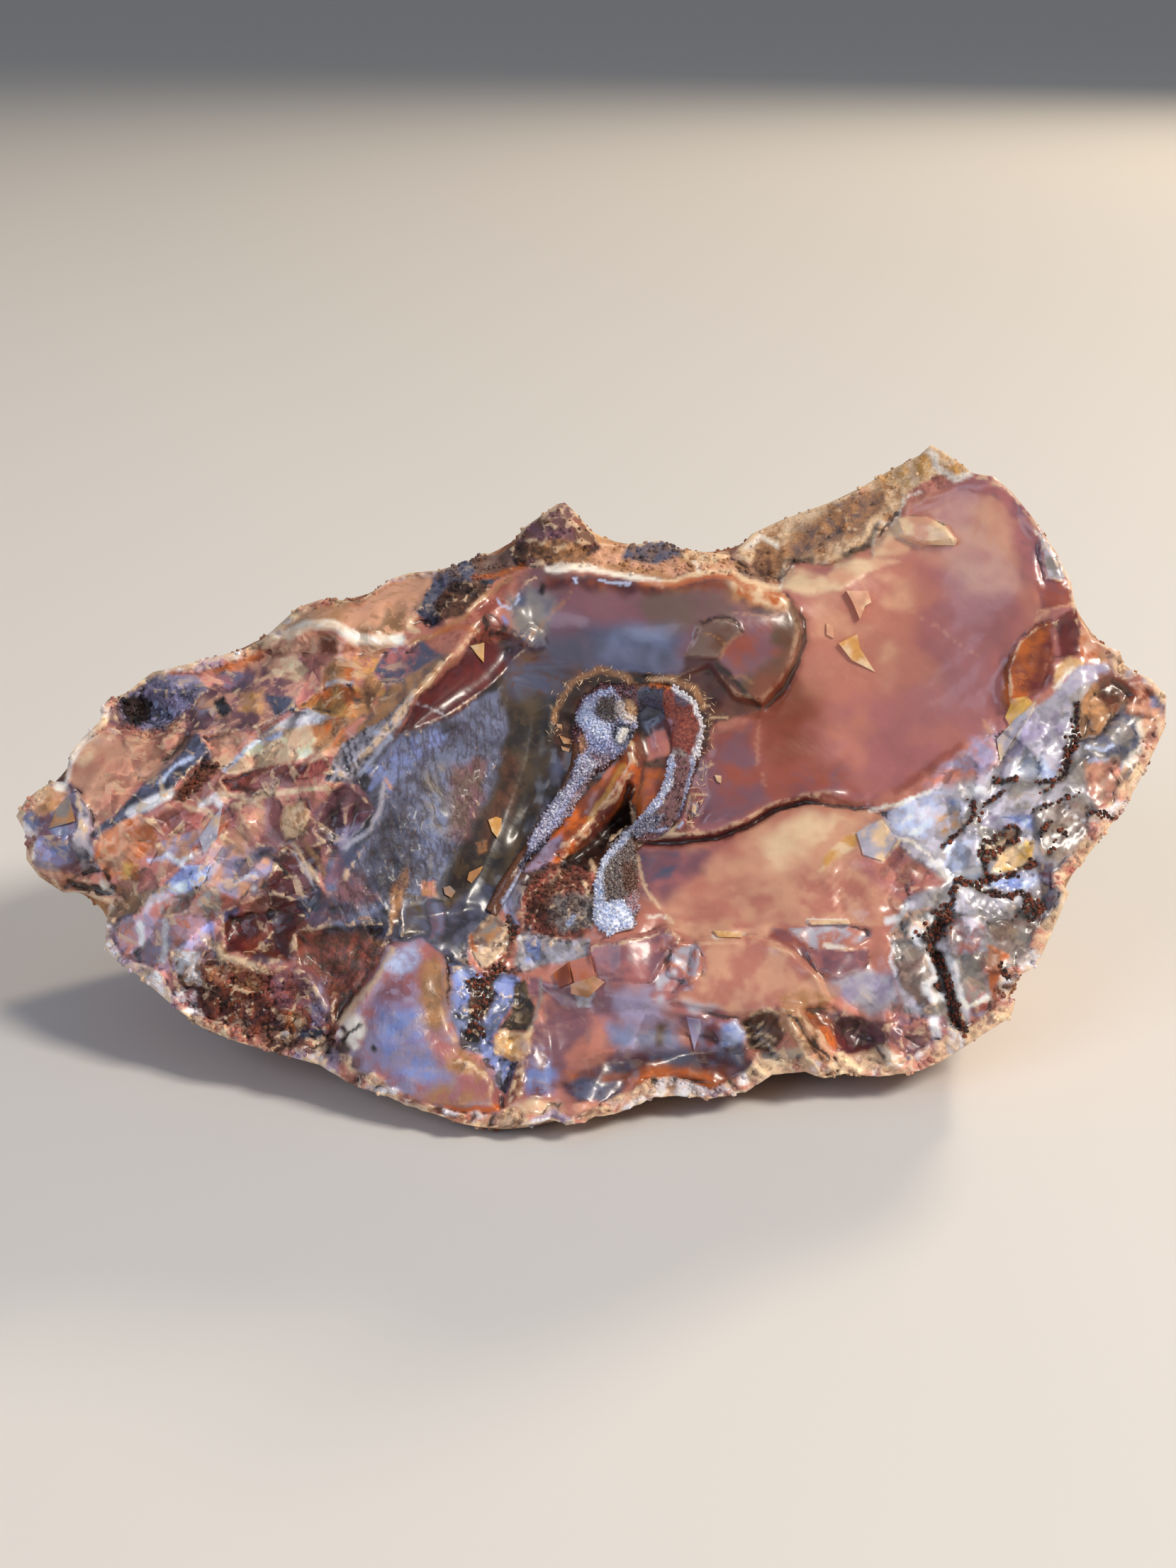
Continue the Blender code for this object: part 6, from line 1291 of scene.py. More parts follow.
# Veins of manganese: half the width of each, and its path.
VEINS = [
    (0.5, [(57.4, -15.3), (59, -15.1), (60.4, -15.7), (62, -16.8), (64, -17.4), (66, -17.4), (67.4, -17),
        (69, -17.9)]),
    (0.4, [(57.2, -15.8), (57, -17.2), (57.2, -18.6)]), (1.1, [(56.4, -19.6), (56.2, -21.4)]),
    (0.9, [(54.4, -20), (55.4, -21.6)]),
    (1.3, [(54.6, -23), (53, -24.2)]), (0.8, [(53.4, -26), (54.6, -27), (55, -28.6)]),
    (0.7, [(55, -28.4), (56, -30.4), (56.6, -33)]),
    (1.0, [(57, -34.4), (57.6, -36.4), (58.8, -38.6)]), (0.5, [(54.4, -31.4), (54.8, -32)]),
    (0.9, [(69, -18.4), (70, -19.6)]),
    (0.9, [(67.6, -20), (69.4, -20.6), (71, -19)]),
    (0.45, [(61.2, -10.6), (62.3, -12.6), (62.4, -14.8), (61.4, -15.4)]),
    (0.4, [(62.4, -14.8), (65, -14.4), (67.4, -13.8), (69.6, -12.4)]),
    (0.5, [(61.6, -9.4), (63.4, -8.6), (64.8, -8)]),
    (0.45, [(61.4, -10.8), (64, -10.4), (66.4, -9.2), (67.6, -7.6)]), (0.4, [(61.8, -11.8), (64, -11.4)]),
    (0.35, [(65, -7.2), (66.4, -6.6), (67.6, -7.4)]), (0.25, [(55.4, -9.8), (57.6, -8), (60, -5.4)]),
    (0.35, [(60, -2.6), (60.4, -4.4), (61.6, -6)]), (0.35, [(62, -3.2), (63.4, -2.2), (64.6, -1.2)]),
    (0.35, [(63.5, 0.6), (65, 0.4), (67, 0.9)]), (0.3, [(70.3, 0.1), (72, 0.6), (73.8, 0.5)]),
    (0.3, [(71, -1.2), (72.6, -0.4)]),
    (0.5, [(76.3, 12.5), (76.2, 10), (76.4, 7.6), (75.8, 5.4)]), (0.5, [(75.2, 7.2), (75, 4.6), (74.4, 1.4)]),
    (0.2, [(69.4, -4.4), (72, -3.2), (74.4, -2.2), (76.6, -1.6)]), (0.4, [(75.2, -3.9)]), (0.4, [(76.6, -5.7)]),
    (0.6, [(72, -6), (71, -7.6)]), (0.5, [(74, -7), (75, -8)]), (0.5, [(76.6, -7.6)]),
    (0.5, [(72, -10.6), (73, -9.4)]),
    (0.4, [(71.4, -15.6)]), (0.6, [(79, -4.6), (81.6, -5)]), (0.6, [(64.8, -28.4), (65.6, -30)]),
    (0.6, [(-12.4, -21), (-11.6, -24)]), (0.8, [(-14, -29), (-16.6, -31.6), (-16, -34)]),
    (0.7, [(-17.4, -30.8), (-18.6, -31.4)]),
    (0.8, [(-17.6, -35), (-18, -38.2), (-16.8, -38.4)]),
]
MARKS += [
    ("white", 0.9, 1, [(54, -20.8), (54.4, -22.4)]), ("white", 1.0, 1, [(51.6, -23.2), (52.2, -24.6)]),
    ("white", 0.8, 1, [(53.6, -26.6), (54, -28.6)]),
    ("white", 0.8, 1, [(56.4, -27.4), (57.2, -29.4), (57.6, -31.4), (58, -33)]),
    ("ivory", 0.4, 0.9, [(57.8, -33), (59.6, -35), (62.6, -33.6)]),
    ("white", 0.6, 1, [(52.8, -31.2), (54, -30.3), (55.2, -30.4)]),
    ("white", 0.7, 1, [(52.6, -31.4), (52.8, -32.6), (54, -33.6), (55.2, -33.2)]),
    ("white", 0.8, 1, [(54.2, -37), (54.4, -39.2)]),
    ("white", 0.5, 0.95, [(53.4, -12.6), (54.6, -12.2), (56.6, -14.8)]),
    ("white", 0.5, 0.9, [(57.4, -14), (61.6, -13.4)]),
    ("white", 0.6, 0.95, [(59.6, -1.4), (60.4, -0.7), (61.8, -0.8)]),
    ("white", 0.4, 0.8, [(62, -13.4), (61, -9.4)]), ("white", 0.4, 0.9, [(61.4, -15.8), (64, -17.9), (68, -18)]),
    ("white", 0.5, 0.95, [(46.6, -21.4), (48.6, -20.8), (50, -19)]),
    ("white", 0.25, 0.8, [(48, -24.6), (47, -27), (48, -30)]), ("periwinkle", 0.5, 0.9, [(56, -2.6), (57, -3)]),
    ("ivory", 0.3, 0.9, [(44, -4.4), (48, -3.2), (53.6, -1.2)]),
    ("ivory", 0.25, 0.8, [(46, -8), (48.4, -8.2), (51, -9.4), (53, -11), (56.4, -15)]),
    ("brown", 0.7, 0.6, [(75.6, 7), (75, 3.4), (74, 0.6)]), ("white", 0.35, 0.9, [(74.8, -3.8)]),
    ("white", 0.35, 0.9, [(76.2, -5.2)]), ("white", 0.35, 0.9, [(77.4, -5.8)]),
    ("white", 0.3, 0.9, [(71.4, -5.6)]), ("white", 0.3, 0.9, [(72.4, -8.4)]),
    ("dark brown", 0.9, 0.9, [(83.4, 0.2), (86, 2.6)]),
    ("ice", 0.3, 0.8, [(78, 6), (80.6, 5.4), (82, 6.2)]), ("ice", 0.3, 0.8, [(78.4, 3.6), (81.4, 3.8)]),
    ("dark slate", 0.25, 0.9, [(76.6, 7), (79.4, 7.2), (81, 8.6), (84, 12.2)]),
    ("ivory", 0.5, 0.8, [(86.4, 9.4), (86.8, 6), (84, 3.4)]),
    ("ivory", 0.4, 0.8, [(66.8, -29.2), (70.4, -27.6), (71.6, -24.4)]), ("cream", 0.4, 0.8, [(83, -2), (80, -5)]),
    ("peach", 0.6, 0.8, [(84.6, 12), (89, 11.2)]), ("rust", 0.4, 0.8, [(84.4, 11.4), (88, 10.4)]),
    ("rust", 0.5, 0.8, [(81.8, 17.6), (84.6, 15)]),
    ("yellow", 0.35, 0.7, [(68.4, -9), (69, -11)]), ("slate", 0.5, 0.7, [(69.8, -5), (70.4, -9)]),
]
MARKS += [("black", half_width, 0.95, path) for half_width, path in VEINS]

# %% [markdown]
# ### The top edge
# Along the top the break ends at the rock that the nodule grew in: dark lumps, a knob, an earthy ridge and, behind
# the salmon face, a tan peak with ochre stains.

# %% Top edge
region(38, 1.0, 0.5, [
    ("tan", "peach", 1.4, 0.5, [
        (1, 38), (6, 38), (11.4, 39), (14.4, 37.6), (21, 36.6), (23, 36), (26, 34), (29.8, 31.2), (24, 33.2),
        (18, 33.4),
        (12, 32.2), (6, 33), (0, 33.8), (-5, 34),
    ]),
    ("grey brown", "slate", 1.2, 0.8, [(6, 37.4), (11.4, 39), (14, 37.6), (15.4, 35.6), (10, 34.6), (5, 35.4)]),
    ("cream", "tan", 1.2, 0.6, [(14.4, 36.4), (22, 36.2), (22, 34.8), (16, 34.2)]),
    ("brown", "mauve", 2.0, 0.5, [(-12, 35.6), (-11, 40), (-7.2, 42.6), (-4.8, 44.6), (-3.4, 44.6), (-1.2, 42.4),
        (0.8, 39.6), (2, 37), (-2, 34.8), (-8, 34)]),
    ("brown", "rust", 1.4, 1.2, [(-3, 41.2), (-0.8, 42.4), (1.2, 39.6), (1.8, 37.4), (-2, 38)]),
    ("tan", "brown", 1.0, 0.8, [(-9.4, 38), (-4, 38.6), (0, 37), (1, 35), (-6, 34.4), (-9.4, 36)]),
    ("dark brown", "brown", 0.9, 0.7, [(-12, 37.4), (-9.6, 38), (-9, 35), (-11.4, 34.6)]),
    ("tan", "cream", 2.0, 0.4, [
        (22.6, 35.2), (25.6, 39.8), (30.2, 42), (40.2, 45.8), (47, 49.6), (52, 52.4), (53.6, 54), (56, 52.8),
        (61.4, 49),
        (57.6, 47.7), (56, 48.4), (53.6, 47.8), (50, 45.6), (48.6, 42), (46, 41), (44.6, 37.4), (42, 35.8),
        (38.4, 34.5),
        (34, 34.6), (31, 34.6), (29.6, 31.6), (26, 34.6),
    ]),
    ("cream", "ochre", 1.1, 0.8, [(45, 47.4), (52, 52), (56, 52.8), (61, 49), (57, 47.8), (54, 48), (50, 46)]),
    ("peach", "earth", 1.0, 1.0, [(40, 45), (44, 46.6), (45, 43), (41, 42)]),
    ("cream", "tan", 1.6, 0.8, [(23.4, 36.4), (26, 39.8), (31, 42), (30, 39), (27, 37)]),
    ("tan", "brown", 1.2, 0.6, [(26, 36.6), (28.4, 37.4), (30.6, 36), (30, 33), (29, 31.4), (25.6, 34)]),
    ("tan", "grey brown", 1.0, 2.0, [(32, 35), (42, 39), (47, 44), (46, 46), (38, 43), (32, 39)]),
])
MARKS += [
    ("cream", 0.35, 0.95, [(24, 36.6), (27, 40), (30.4, 41.4), (40.4, 45.2), (46.8, 49), (51.8, 51.8), (53.4, 53)]),
    ("ivory", 0.5, 0.9, [(52.6, 52.4), (54.2, 51.4), (54.4, 49.8), (57.4, 47.7), (60, 48.4)]),
    ("ivory", 0.4, 0.8, [(24.8, 37), (27.4, 38.8), (29.6, 37)]),
    ("dark brown", 0.5, 0.8, [(30, 32.2), (30.8, 34.9), (35, 35)]), ("brick", 0.4, 0.8, [(54, 47.8), (56, 48.2)]),
    ("dark brown", 0.5, 0.8, [(40.4, 35.8), (44, 37.4), (45.2, 40.4)]),
    ("dark brown", 0.4, 0.7, [(28, 31.8), (24, 33.4)]),
    ("cream", 0.3, 0.9, [(-11, 38.6), (-10.4, 40), (-7.2, 42.3), (-5.2, 43.6)]),
    ("orange", 0.4, 0.8, [(-18, 32.4), (-14, 32.8), (-10, 34)]), ("cream", 0.4, 0.8, [(-9, 34), (-7, 34.6)]),
    ("ivory", 0.35, 0.8, [(-5, 34.2), (-1, 34.4), (2, 33.9)]),
    ("tan", 0.5, 0.8, [(2, 34), (8, 33.4), (13, 32.6)]), ("ivory", 0.3, 0.8, [(16.6, 34.6), (17.6, 33.4)]),
    ("black", 0.3, 0.8, [(8.4, 35.4)]), ("black", 0.3, 0.8, [(14.8, 35.4)]),
]
print(len(FIELDS), "fields,", len(MARKS), "marks")

# %% [markdown]
# ## All that is finer than the solid
# Each facet is a shallow shell: it leans, it stands a little higher or lower than its neighbours, and it is hollowed
# towards its middle, as the scar of a flake is. Fields wider than about two centimetres, and those with a soft edge,
# are only changes of colour.

# %% Fine relief
WIDEST_FACET = 24
SOFTEST_FACET = 1.0
FACET_LEAN = 0.30
FACET_STEP = 0.9
FACET_HOLLOW = 0.10


def wander(points):
    """Small sideways shifts that keep edges from running straight."""
    shift = 0.32 * np.column_stack([smooth_noise(points, 2.2, 61), smooth_noise(points, 2.2, 62)])
    return shift + 0.13 * np.column_stack([smooth_noise(points, 0.8, 63), smooth_noise(points, 0.8, 64)])


def facet_relief(bent):
    """The relief of the flakes' scars."""
    relief = np.zeros(len(bent))
    draw = np.random.default_rng(5)
    for _, _, tilt, _, _, _, edge, outline in FIELDS:
        right, up, height, hollow = draw.uniform(-0.5, 0.5, 4)
        spans = np.ptp(outline, axis=0)
        if max(spans) > WIDEST_FACET or edge > SOFTEST_FACET:
            continue
        near = close_to(bent, outline, 1)
        depth = depth_inside(bent[near], outline)
        reach = min(spans) / 2
        inward = np.clip(depth / reach, 0, 1)
        lean = (bent[near] - np.mean(outline, axis=0)) @ [right * FACET_LEAN, up * FACET_LEAN] + height * FACET_STEP
        scar = FACET_HOLLOW * reach * (0.35 + hollow) * (1 - (1 - inward) ** 2)
        relief[near] += tilt * (rising(depth / 0.4 + 0.5) * lean - scar)
    return relief


def fine_relief(points):
    """All that is finer than the solid's relief."""
    shift = wander(points)
    bent = points + shift
    relief = facet_relief(bent)
    for k, (outline, size, stretch, degrees, height) in enumerate(FLAKE_FIELDS.values()):
        mask = area(points, outline, 2.5)
        relief += mask * height * flakes(bent, size, stretch, degrees, 100 + 9 * k)[1]
    for centre, spacing, height, outline in RIPPLES.values():
        away = np.hypot(*(bent - centre).T)
        relief += area(points, outline, 1.2) * height * np.sin(away * 2 * math.pi / spacing)
    relief += np.maximum(area(points, WALL, 2.0), area(points, WALL_FOOT, 1.5)) * wall_wrinkles(points)
    for outline, height, right, up in PLATES.values():
        lean = (points - np.mean(outline, axis=0)) @ [right, up]
        relief += area(points + shift * 0.4, outline, 0.35) * (height + lean)
    for path, depth, half_width in CRACKS.values():
        relief -= depth * line(bent, path, half_width)
    for outline, size, depth in POROUS.values():
        pores = lumps(bent, size, 44) + 0.6 * lumps(bent, size * 0.45, 47) - 0.4
        relief -= area(points, outline, 1.2) * depth * pores
    rind = rind_mask(points)
    crumbs = lumps(bent, 1.5, 51) + 0.5 * lumps(bent, 0.7, 52)
    fluting = flutes(bent, 1.1, 53) + 0.5 * flutes(bent, 0.55, 54)
    return relief + rind * (0.6 * crumbs + 0.6 * fluting - 0.2) + 0.02 * smooth_noise(points, 0.8, 55)

# %% [markdown]
# ## One closed skin
# The stone is one piece, so it gets one closed mesh. The front is a Delaunay triangulation of a slightly shaken grid,
# which has no rows that would show in the gloss, fine where the break is busy and coarser where it is smooth. The
# back is a set of rings that lead from the outline to an oval, closed by a cap, and pushed out into a lumpy nodule.

# %% Finer spacing than the solid's
RIM_STEP = 2.4
FINER = 4
FINE_STEP = 0.42
PLAIN_STEP = 0.6
BACK_STEP = 1.5
SLIVER = 0.01

PLAIN_BREAKS = [
    [(34, 31), (44, 26), (60, 34), (66, 30), (62, 16), (56, 8), (46, 4), (38, 4), (30, 2), (24, -3), (22, 3),
        (30, 10), (36, 20)],
    [(12, -14), (20, -11), (30, -7), (38, -11), (32, -20), (14, -19)],
    [(-6, 30), (20, 28), (13, 19), (-2, 19), (-9, 24)],
]


def divided(path, step):
    """A closed path with points added so that none is further than step from the next."""
    made = []
    for start, end in zip(path, path[1:] + path[:1]):
        parts = max(1, round(math.dist(start, end) / step))
        for k in range(parts):
            made.append([start[i] + (end[i] - start[i]) * k / parts for i in (0, 1)])
    return np.array(made)


def closer(ring, times):
    """A closed ring with each of its edges parted into that many."""
    following = np.roll(ring, -1, axis=0)
    shares = np.arange(times) / times
    return np.concatenate([ring[:, None] + (following - ring)[:, None] * shares[:, None]], axis=1).reshape(-1, 2)


def scattered(step, low, high, seed):
    """A slightly uneven triangular grid over a box."""
    rows = np.arange(low[1], high[1], step * math.sqrt(0.75))
    columns = np.arange(low[0], high[0], step)
    right, up = np.meshgrid(columns, rows)
    right = right + (np.arange(len(rows)) % 2)[:, None] * step / 2
    grid = np.column_stack([right.ravel(), up.ravel()])
    return grid + np.random.default_rng(seed).uniform(-0.22, 0.22, grid.shape) * step


def triangulated(loop, points):
    """Triangles over a closed loop and the loose points inside it, as (points, faces)."""
    corners = np.concatenate([loop, points])
    edges = [(k, (k + 1) % len(loop)) for k in range(len(loop))]
    made = delaunay_2d_cdt([Vector(corner) for corner in corners], edges, [], 1, 1e-6, False)
    placed = np.array([tuple(point) for point in made[0]])
    faces = np.array([list(face) for face in made[2]])
    return placed, faces[depth_inside(placed[faces].mean(axis=1), loop) > SLIVER]


coarse_rim = divided(OUTLINE, RIM_STEP)
rim = closer(coarse_rim, FINER)
low, high = np.min(OUTLINE, axis=0), np.max(OUTLINE, axis=0)
fine = scattered(FINE_STEP, low, high, 11)
plain = scattered(PLAIN_STEP, low, high, 12)
fine_room = np.ones(len(fine), bool)
plain_room = np.zeros(len(plain), bool)
for outline in PLAIN_BREAKS:
    fine_room &= depth_inside(fine, outline) < 0
    plain_room |= depth_inside(plain, outline) > 0.2
inner = np.concatenate([fine[fine_room], plain[plain_room]])
inner = inner[depth_inside(inner, rim) > FINE_STEP * 0.6]
face_points, face_faces = triangulated(rim, inner)
bent_points = face_points + wander(face_points)
print("front:", len(face_points), "points,", len(face_faces), "triangles")

# %% Relief of the front
relief = main_relief(face_points) + fine_relief(face_points)
print("relief from", round(relief.min(), 1), "to", round(relief.max(), 1), "mm")


def in_space(points, heights):
    """Face points and their relief as places in millimetres."""
    flat = np.outer(points[:, 0], RIGHT) + np.outer(points[:, 1], UP)
    return FACE_CENTRE + flat * (1 - heights / EYE_DISTANCE)[:, None] + np.outer(heights, OUT)


# %% [markdown]
# ## The back of the nodule
# Nobody sees how a nodule grew, but its skin shows it: a rounded, knobbly body. Each ring takes its depth from a half
# ellipse, swells with slow noise and carries knobs. Where the body would pass through the table it is worn flat on
# three small places, the feet that it stands on.

# %% Back
BACK_DEPTH = 62.0
STONE_MIDDLE = (-0.75, 5.6, 38.7)
BACK_OVAL = np.array([40.0, 20.0])
OVAL_SHARE = 0.45
BACK_RINGS = 14
RING_PARTS = 3
EVENING = 7
LUMP_SIZE = 13.0
LUMP_HEIGHT = 2.4
SWELL_SIZE = 34.0
SWELL_HEIGHT = 3.2


def back_rings(start):
    """Closed rings from the outline to an oval in the middle of the back."""
    around = (start - OUTLINE_CENTRE) / BACK_OVAL
    swept = np.sort(np.unwrap(np.arctan2(around[:, 1], around[:, 0])))[::-1]
    even = swept[0] - np.linspace(0, 2 * math.pi, len(start), endpoint=False)
    angle = (swept + even) / 2
    oval = OUTLINE_CENTRE + BACK_OVAL * np.column_stack([np.cos(angle), np.sin(angle)])
    rings = [start]
    evened = start
    for turn in np.linspace(0, math.acos(OVAL_SHARE), BACK_RINGS + 1)[1:]:
        for _ in range(EVENING):
            evened = evened / 2 + (np.roll(evened, 1, axis=0) + np.roll(evened, -1, axis=0)) / 4
        inward = (1 - math.cos(turn)) / (1 - OVAL_SHARE)
        rings.append(evened + (oval - evened) * inward)
    return rings


def rounded_back(flat, deep):
    """Places of the hidden side, from flat places and their share of the full depth."""
    around, rim_around = flat - OUTLINE_CENTRE, rim - OUTLINE_CENTRE
    rim_angle = np.arctan2(rim_around[:, 1], rim_around[:, 0])
    order = np.argsort(rim_angle)
    angle = np.arctan2(around[:, 1], around[:, 0])
    edge = np.interp(angle, rim_angle[order], relief[: len(rim)][order], period=2 * math.pi)
    placed = in_space(flat, edge - (edge + BACK_DEPTH) * deep)
    outward = placed - STONE_MIDDLE
    outward /= np.linalg.norm(outward, axis=1)[:, None]
    swell = SWELL_HEIGHT * smooth_noise(placed, SWELL_SIZE, 5) + LUMP_HEIGHT * lumps(placed, LUMP_SIZE, 6)
    swell += RIND_ROUGHNESS * smooth_noise(placed, 6.0, 7)
    # Beside the outline the skin only sinks in, so that nothing stands out past the outline.
    swell -= (SWELL_HEIGHT + LUMP_HEIGHT) * (1 - rising(deep))
    skin = 0.35 * smooth_noise(placed, 2.4, 33) + 0.3 * lumps(placed, 3.4, 34) - 0.45 * lumps(placed, 4.6, 35)
    return placed + outward * ((swell + skin) * rising(deep / 0.5))[:, None]


REST_PADS = [(-13.0, -37.0, 7.0), (-36.0, 14.0, 7.0), (42.0, 14.0, 7.0)]
PAD_CLEARANCE = 3.2
PAD_RISE = 9.0
UNDERSIDE_ROUNDING = 5.0


def set_down(placed):
    """The underside lifted clear of the ground plane, except on the rest pads, where it lies flat on it."""
    ground = placed[:, :2]
    off_pads = np.ones(len(placed))
    for x, y, radius in REST_PADS:
        away = np.hypot(ground[:, 0] - x, ground[:, 1] - y) - radius
        off_pads = np.minimum(off_pads, rising(away / PAD_RISE))
    uneven = 1 + 0.35 * smooth_noise(ground, 15.0, 31) + 0.2 * smooth_noise(ground, 6.0, 32)
    uneven += 0.1 * smooth_noise(ground, 2.2, 36)
    clearance = PAD_CLEARANCE * uneven * off_pads
    rounding = 0.01 + UNDERSIDE_ROUNDING * off_pads
    above = placed[:, 2] - clearance
    blend = np.clip(0.5 + 0.5 * above / rounding, 0, 1)
    placed[:, 2] = clearance + above * blend + rounding * blend * (1 - blend)
    return placed


# %% Join front and back
coarse_rings = np.array([closer(ring, FINER // 2) for ring in back_rings(coarse_rim)])
turns = np.linspace(0, BACK_RINGS, BACK_RINGS * RING_PARTS + 1)[1:]
near_ring = np.minimum(turns.astype(int), BACK_RINGS - 1)
share = (turns - near_ring)[:, None, None]
ring_flat = coarse_rings[near_ring] * (1 - share) + coarse_rings[near_ring + 1] * share
ring_deep = np.sin(turns / BACK_RINGS * math.acos(OVAL_SHARE))
around = ring_flat.shape[1]

last = ring_flat[-1]
behind = scattered(BACK_STEP, last.min(axis=0), last.max(axis=0), 13)
behind = behind[depth_inside(behind, last) > BACK_STEP * 0.5]
cap, cap_faces = triangulated(last, behind)
cap_out = OVAL_SHARE * np.linalg.norm((cap[around:] - OUTLINE_CENTRE) / BACK_OVAL, axis=1)
flat = np.concatenate([ring_flat.reshape(-1, 2), cap[around:]])
deep = np.concatenate([np.repeat(ring_deep, around), np.sqrt(1 - cap_out**2)])
hidden = rounded_back(flat, deep)

count = len(face_points)
steps = np.arange(around)
following = np.roll(steps, -1)
first = count + steps
beyond = count + following
half, next_rim = 2 * steps + 1, (2 * steps + 2) % len(rim)
walls = [
    np.column_stack([2 * steps, half, first]),
    np.column_stack([half, beyond, first]),
    np.column_stack([half, next_rim, beyond]),
]
for k in range(len(turns) - 1):
    near, far = count + k * around, count + (k + 1) * around
    walls.append(np.column_stack([near + steps, near + following, far + steps]))
    walls.append(np.column_stack([near + following, far + following, far + steps]))
cap_start = count + (len(turns) - 1) * around
stone_faces = np.concatenate([face_faces, *walls, cap_faces + cap_start])
stone_places = set_down(np.concatenate([in_space(face_points, relief), hidden]))
print("stone:", len(stone_places), "points,", len(stone_faces), "triangles")


def piece(name, places, faces):
    """A smooth-shaded object from places in millimetres and faces, with its faces turned outwards."""
    mesh = bpy.data.meshes.new(name)
    mesh.from_pydata((places * MM).tolist(), [], faces.tolist())
    shape = bmesh.new()
    shape.from_mesh(mesh)
    bmesh.ops.recalc_face_normals(shape, faces=shape.faces)
    shape.to_mesh(mesh)
    shape.free()
    mesh.shade_smooth()
    made = bpy.data.objects.new(name, mesh)
    bpy.context.scene.collection.objects.link(made)
    return made


stone = piece("carnelian_stone", stone_places, stone_faces)
OUTWARD_FACES = np.array([list(face.vertices) for face in stone.data.polygons])

# %% [markdown]
# ## Paint
# The fields are laid one over the other, from wide to small, and the marks go on last. The canvas holds the tone that
# the patches give, and a second layer holds the field's other colour, which the shader lets through in flecks far
# finer than the mesh.

# %% Lay the colours
# An edge wider than this wanders like a cloud. The tone is two drifts laid across each other, so that no grid shows.
CRISPEST_RAGGED = 1.5
DRIFT_TURNS = (0, 52)
DRIFT_CONTRAST = 0.8
EDGE_SEED = 900
DRIFT_SEED = 200


def painted(points, base, fields, marks):
    """The canvas and the second layer at some points, as linear colours."""
    canvas = np.tile(COLOURS[base], (len(points), 1))
    second = canvas.copy()
    for k, (degrees, stretch, _, one, other, size, edge, outline) in enumerate(fields):
        near = close_to(points, outline, edge + 0.8)
        ragged = 0.5 * (edge > CRISPEST_RAGGED) * clouds(turned(points[near], 30, 1), 1.5 * edge + 1, EDGE_SEED + k)
        mask = rising(depth_inside(points[near], outline) / edge + ragged + 0.5)[:, None]
        drifts = [
            clouds(turned(points[near], degrees + turn, stretch), size, DRIFT_SEED + k * 7 + turn)
            for turn in DRIFT_TURNS
        ]
        tone = rising(0.5 + DRIFT_CONTRAST * sum(drifts))[:, None]
        step = COLOURS[other] - COLOURS[one]
        canvas[near] += (COLOURS[one] + step * tone - canvas[near]) * mask
        second[near] += (COLOURS[other] - step * tone - second[near]) * mask
    for colour, half_width, cover, path in marks:
        corners = path if len(path) > 1 else [path[0], (path[0][0] + 0.01, path[0][1])]
        near = close_to(points, corners, half_width * 2 + 1)
        mask = cover * rising(1.5 - distances(points[near], corners, False)[0] / half_width)[:, None]
        canvas[near] += (COLOURS[colour] - canvas[near]) * mask
        second[near] += (COLOURS[colour] - second[near]) * mask * 0.7
    return canvas, second


canvas, second = painted(bent_points, "salmon", FIELDS, MARKS)
print("painted", len(FIELDS), "fields and", len(MARKS), "marks")


# %% [markdown]
# ### From fields to stone
# Each flake gets a tone of its own at random: partly painted light and shade for the way it leans, partly a real
# change of tone where it thins. Thin convex edges get painted glow, for the light that comes through them, and
# creases get painted shade with the dirt that they hold. The bend of the finished mesh tells which is which: a point
# that stands out from the mean of its neighbours is an edge, and one that lies behind it is a crease.

# %% Flake tones
# A tone at random for each flake, partly painted light and shade for the way it leans.
for k, (outline, size, stretch, degrees, height) in enumerate(FLAKE_FIELDS.values()):
    number = flakes(bent_points, size, stretch, degrees, 100 + 9 * k)[0]
    strength = 0.5 * area(face_points, outline, 2.5)
    tone = 1 + strength * (number - 0.5) * 1.5
    canvas *= tone[:, None]
    second *= tone[:, None]


# %% Edges and creases
def bend_of(places, faces, rounds):
    """How far each point stands out from the mean of its neighbours, in millimetres, evened over some rounds."""
    sides = np.concatenate([faces[:, [0, 1]], faces[:, [1, 2]], faces[:, [2, 0]]])
    ends, others = sides.T
    count = np.bincount(ends, minlength=len(places))

    def evened(values):
        sums = [np.bincount(ends, values[:, k][others], len(places)) for k in range(3)]
        return np.stack(sums, axis=1) / count[:, None]

    normals = np.zeros_like(places)
    corners = places[faces]
    normal = np.cross(corners[:, 1] - corners[:, 0], corners[:, 2] - corners[:, 0])
    for k in range(3):
        for axis in range(3):
            normals[:, axis] += np.bincount(faces[:, k], normal[:, axis], len(places))
    normals /= np.linalg.norm(normals, axis=1)[:, None]
    smooth = places
    for _ in range(rounds):
        smooth = evened(smooth)
    return ((places - smooth) * normals).sum(axis=1)


sharp = bend_of(stone_places, OUTWARD_FACES, 2)
broad = bend_of(stone_places, OUTWARD_FACES, 14)
print("bend: from", np.percentile(sharp, [2, 98]).round(3), "to", np.percentile(broad, [2, 98]).round(3), "mm")

# %% [markdown]
# ## The stone's shader
# Chalcedony is clear in thin layers, so light enters it, scatters and comes out nearby: that is the subsurface part.
# Over it lies the gloss of a glassy break. The skin, the rock and the earth are dull and rough. A few small tools
# come first, so that shader arithmetic reads as plain arithmetic.

